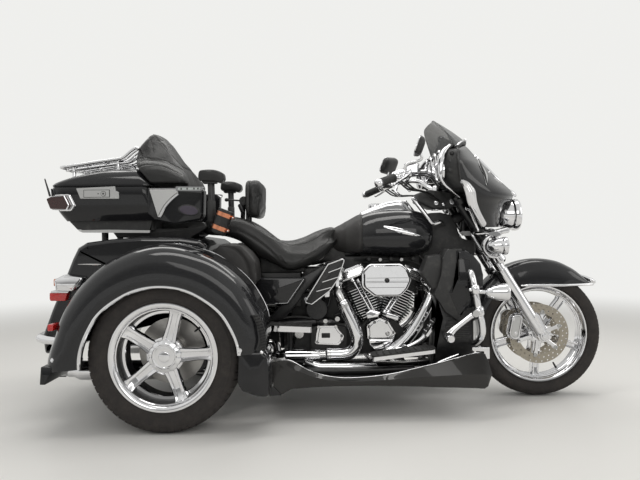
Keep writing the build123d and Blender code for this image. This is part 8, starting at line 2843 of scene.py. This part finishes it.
def stitchTree():
    tree, keys = newTree("stitchTree", [("Spacing", "Float", 0.007), ("Radius", "Float", 0.0009),
                                        ("Length", "Float", 0.0042)])
    entry = tree.nodes.new("NodeGroupInput")
    curve = tree.nodes.new("GeometryNodeMeshToCurve")
    even = tree.nodes.new("GeometryNodeResampleCurve")
    even.mode = "LENGTH"
    along = tree.nodes.new("GeometryNodeInputTangent")
    tree.links.new(entry.outputs["Geometry"], curve.inputs["Mesh"])
    tree.links.new(curve.outputs["Curve"], even.inputs["Curve"])
    tree.links.new(entry.outputs["Spacing"], even.inputs["Length"])
    thread = cylinderNode(tree, 6, entry.outputs["Radius"], entry.outputs["Length"])
    ended(tree, entry, placed(tree, even.outputs["Curve"], thread, along.outputs["Tangent"]))
    return tree, keys


def repeated(name, body, tree, keys, mesh, settings, finish):
    # the tree run over a mesh of points or lines, made a plain mesh
    carrier = bpy.data.objects.new(name + "Carrier", mesh)
    scene.collection.objects.link(carrier)
    modifier = carrier.modifiers.new("repeats", "NODES")
    modifier.node_group = tree
    for label, value in settings.items():
        modifier[keys[label]] = value
    modifier[keys["Finish"]] = finish
    result = bpy.data.meshes.new_from_object(carrier.evaluated_get(bpy.context.evaluated_depsgraph_get()))
    carrier.modifiers.remove(modifier)
    bpy.data.objects.remove(carrier)
    result.name = name
    thing = bpy.data.objects.new(name, result)
    scene.collection.objects.link(thing)
    settle(thing, body)
    return thing


def facingPoints(name, spots):
    # points on the skins of pieces, each with the direction it faces
    places, normals = [], []
    for piece, points in spots:
        source = bpy.data.objects[piece].data
        skin = BVHTree.FromPolygons([v.co for v in source.vertices], [p.vertices for p in source.polygons])
        for point in points:
            spot, normal = skin.find_nearest(Vector(point))[:2]
            places.append(spot)
            normals.append(normal)
    mesh = bpy.data.meshes.new(name)
    mesh.from_pydata(places, [], [])
    facing = mesh.attributes.new("facing", "FLOAT_VECTOR", "POINT")
    for i, normal in enumerate(normals):
        facing.data[i].vector = normal
    return mesh


def mirrored(points):
    return [(x, sign * y, z) for x, y, z in points for sign in (-1, 1)]


# per set: body, finish, head sides, radius, depth, washer radius, then pieces with places near their skins
screwSets = {
    "coverScrews": ("chassis", chromeDull, 6, 0.0055, 0.0100, 0.0076, [
        ("engineChrome", [(0.178, -0.18, 0.382), (0.208, -0.18, 0.406), (0.270, -0.18, 0.404),
                          (0.306, -0.18, 0.354), (0.292, -0.18, 0.322), (0.182, -0.18, 0.324)]),
        ("gearCovers", [(-0.064, -0.17, 0.378), (0.020, -0.17, 0.380), (0.052, -0.17, 0.306),
                        (-0.074, -0.17, 0.304), (0.052, -0.17, 0.336), (-0.150, 0.17, 0.300),
                        (-0.085, 0.17, 0.360), (0.090, 0.17, 0.380),
                        (0.170, 0.17, 0.376), (0.170, 0.17, 0.224), (0.090, 0.17, 0.220),
                        (-0.085, 0.17, 0.240)])]),
    "fenderScrews": ("chassis", chrome, 16, 0.0062, 0.0110, 0.0086, [
        ("rearFenderShellRight", [(-0.384, -0.70, 0.362), (-1.165, -0.70, 0.330)]),
        ("rearFenderShellLeft", [(-0.384, 0.70, 0.362), (-1.165, 0.70, 0.330)]),
        ("sideCoverPair", mirrored([(-0.180, 0.30, 0.560)]))]),
    "shieldScrews": ("front_end", chrome, 16, 0.0058, 0.0100, 0.0080, [
        ("fairingShell", [(0.800, -0.140, 1.140), (0.820, 0.0, 1.150), (0.800, 0.140, 1.140)]),
        ("frontCaliperPair", mirrored([(0.910, 0.16, 0.400), (0.922, 0.16, 0.330)]))])}
stitchLook = {"lift": 0.0012, "Spacing": 0.0068, "Radius": 0.0007, "Length": 0.0040}


def makeScrews():
    tree, keys = screwTree()
    for name, (body, finish, sides, radius, depth, washer, spots) in screwSets.items():
        settings = {"Sides": sides, "Radius": radius, "Depth": depth, "Washer": washer}
        repeated(name, body, tree, keys, facingPoints(name + "Points", spots), settings, finish)


def makeStitches():
    tree, keys = stitchTree()
    settings = {label: stitchLook[label] for label in ("Spacing", "Radius", "Length")}
    for name, body, cover, seams in (("seatStitches", "chassis", seatCover, seatSeams),
                                     ("backrestStitches", "box_lid", backCover, backSeams)):
        points, edges = [], []
        for seam in seams:
            path = onSkin(cover, [Vector(p) + Vector((0, 0, 0.005)) for p in seam], stitchLook["lift"])
            edges += [(len(points) + i, len(points) + i + 1) for i in range(len(path) - 1)]
            points += path
        mesh = bpy.data.meshes.new(name + "Lines")
        mesh.from_pydata(points, edges, [])
        repeated(name, body, tree, keys, mesh, settings, thread)


makeScrews()
makeStitches()
print("repeats ready")
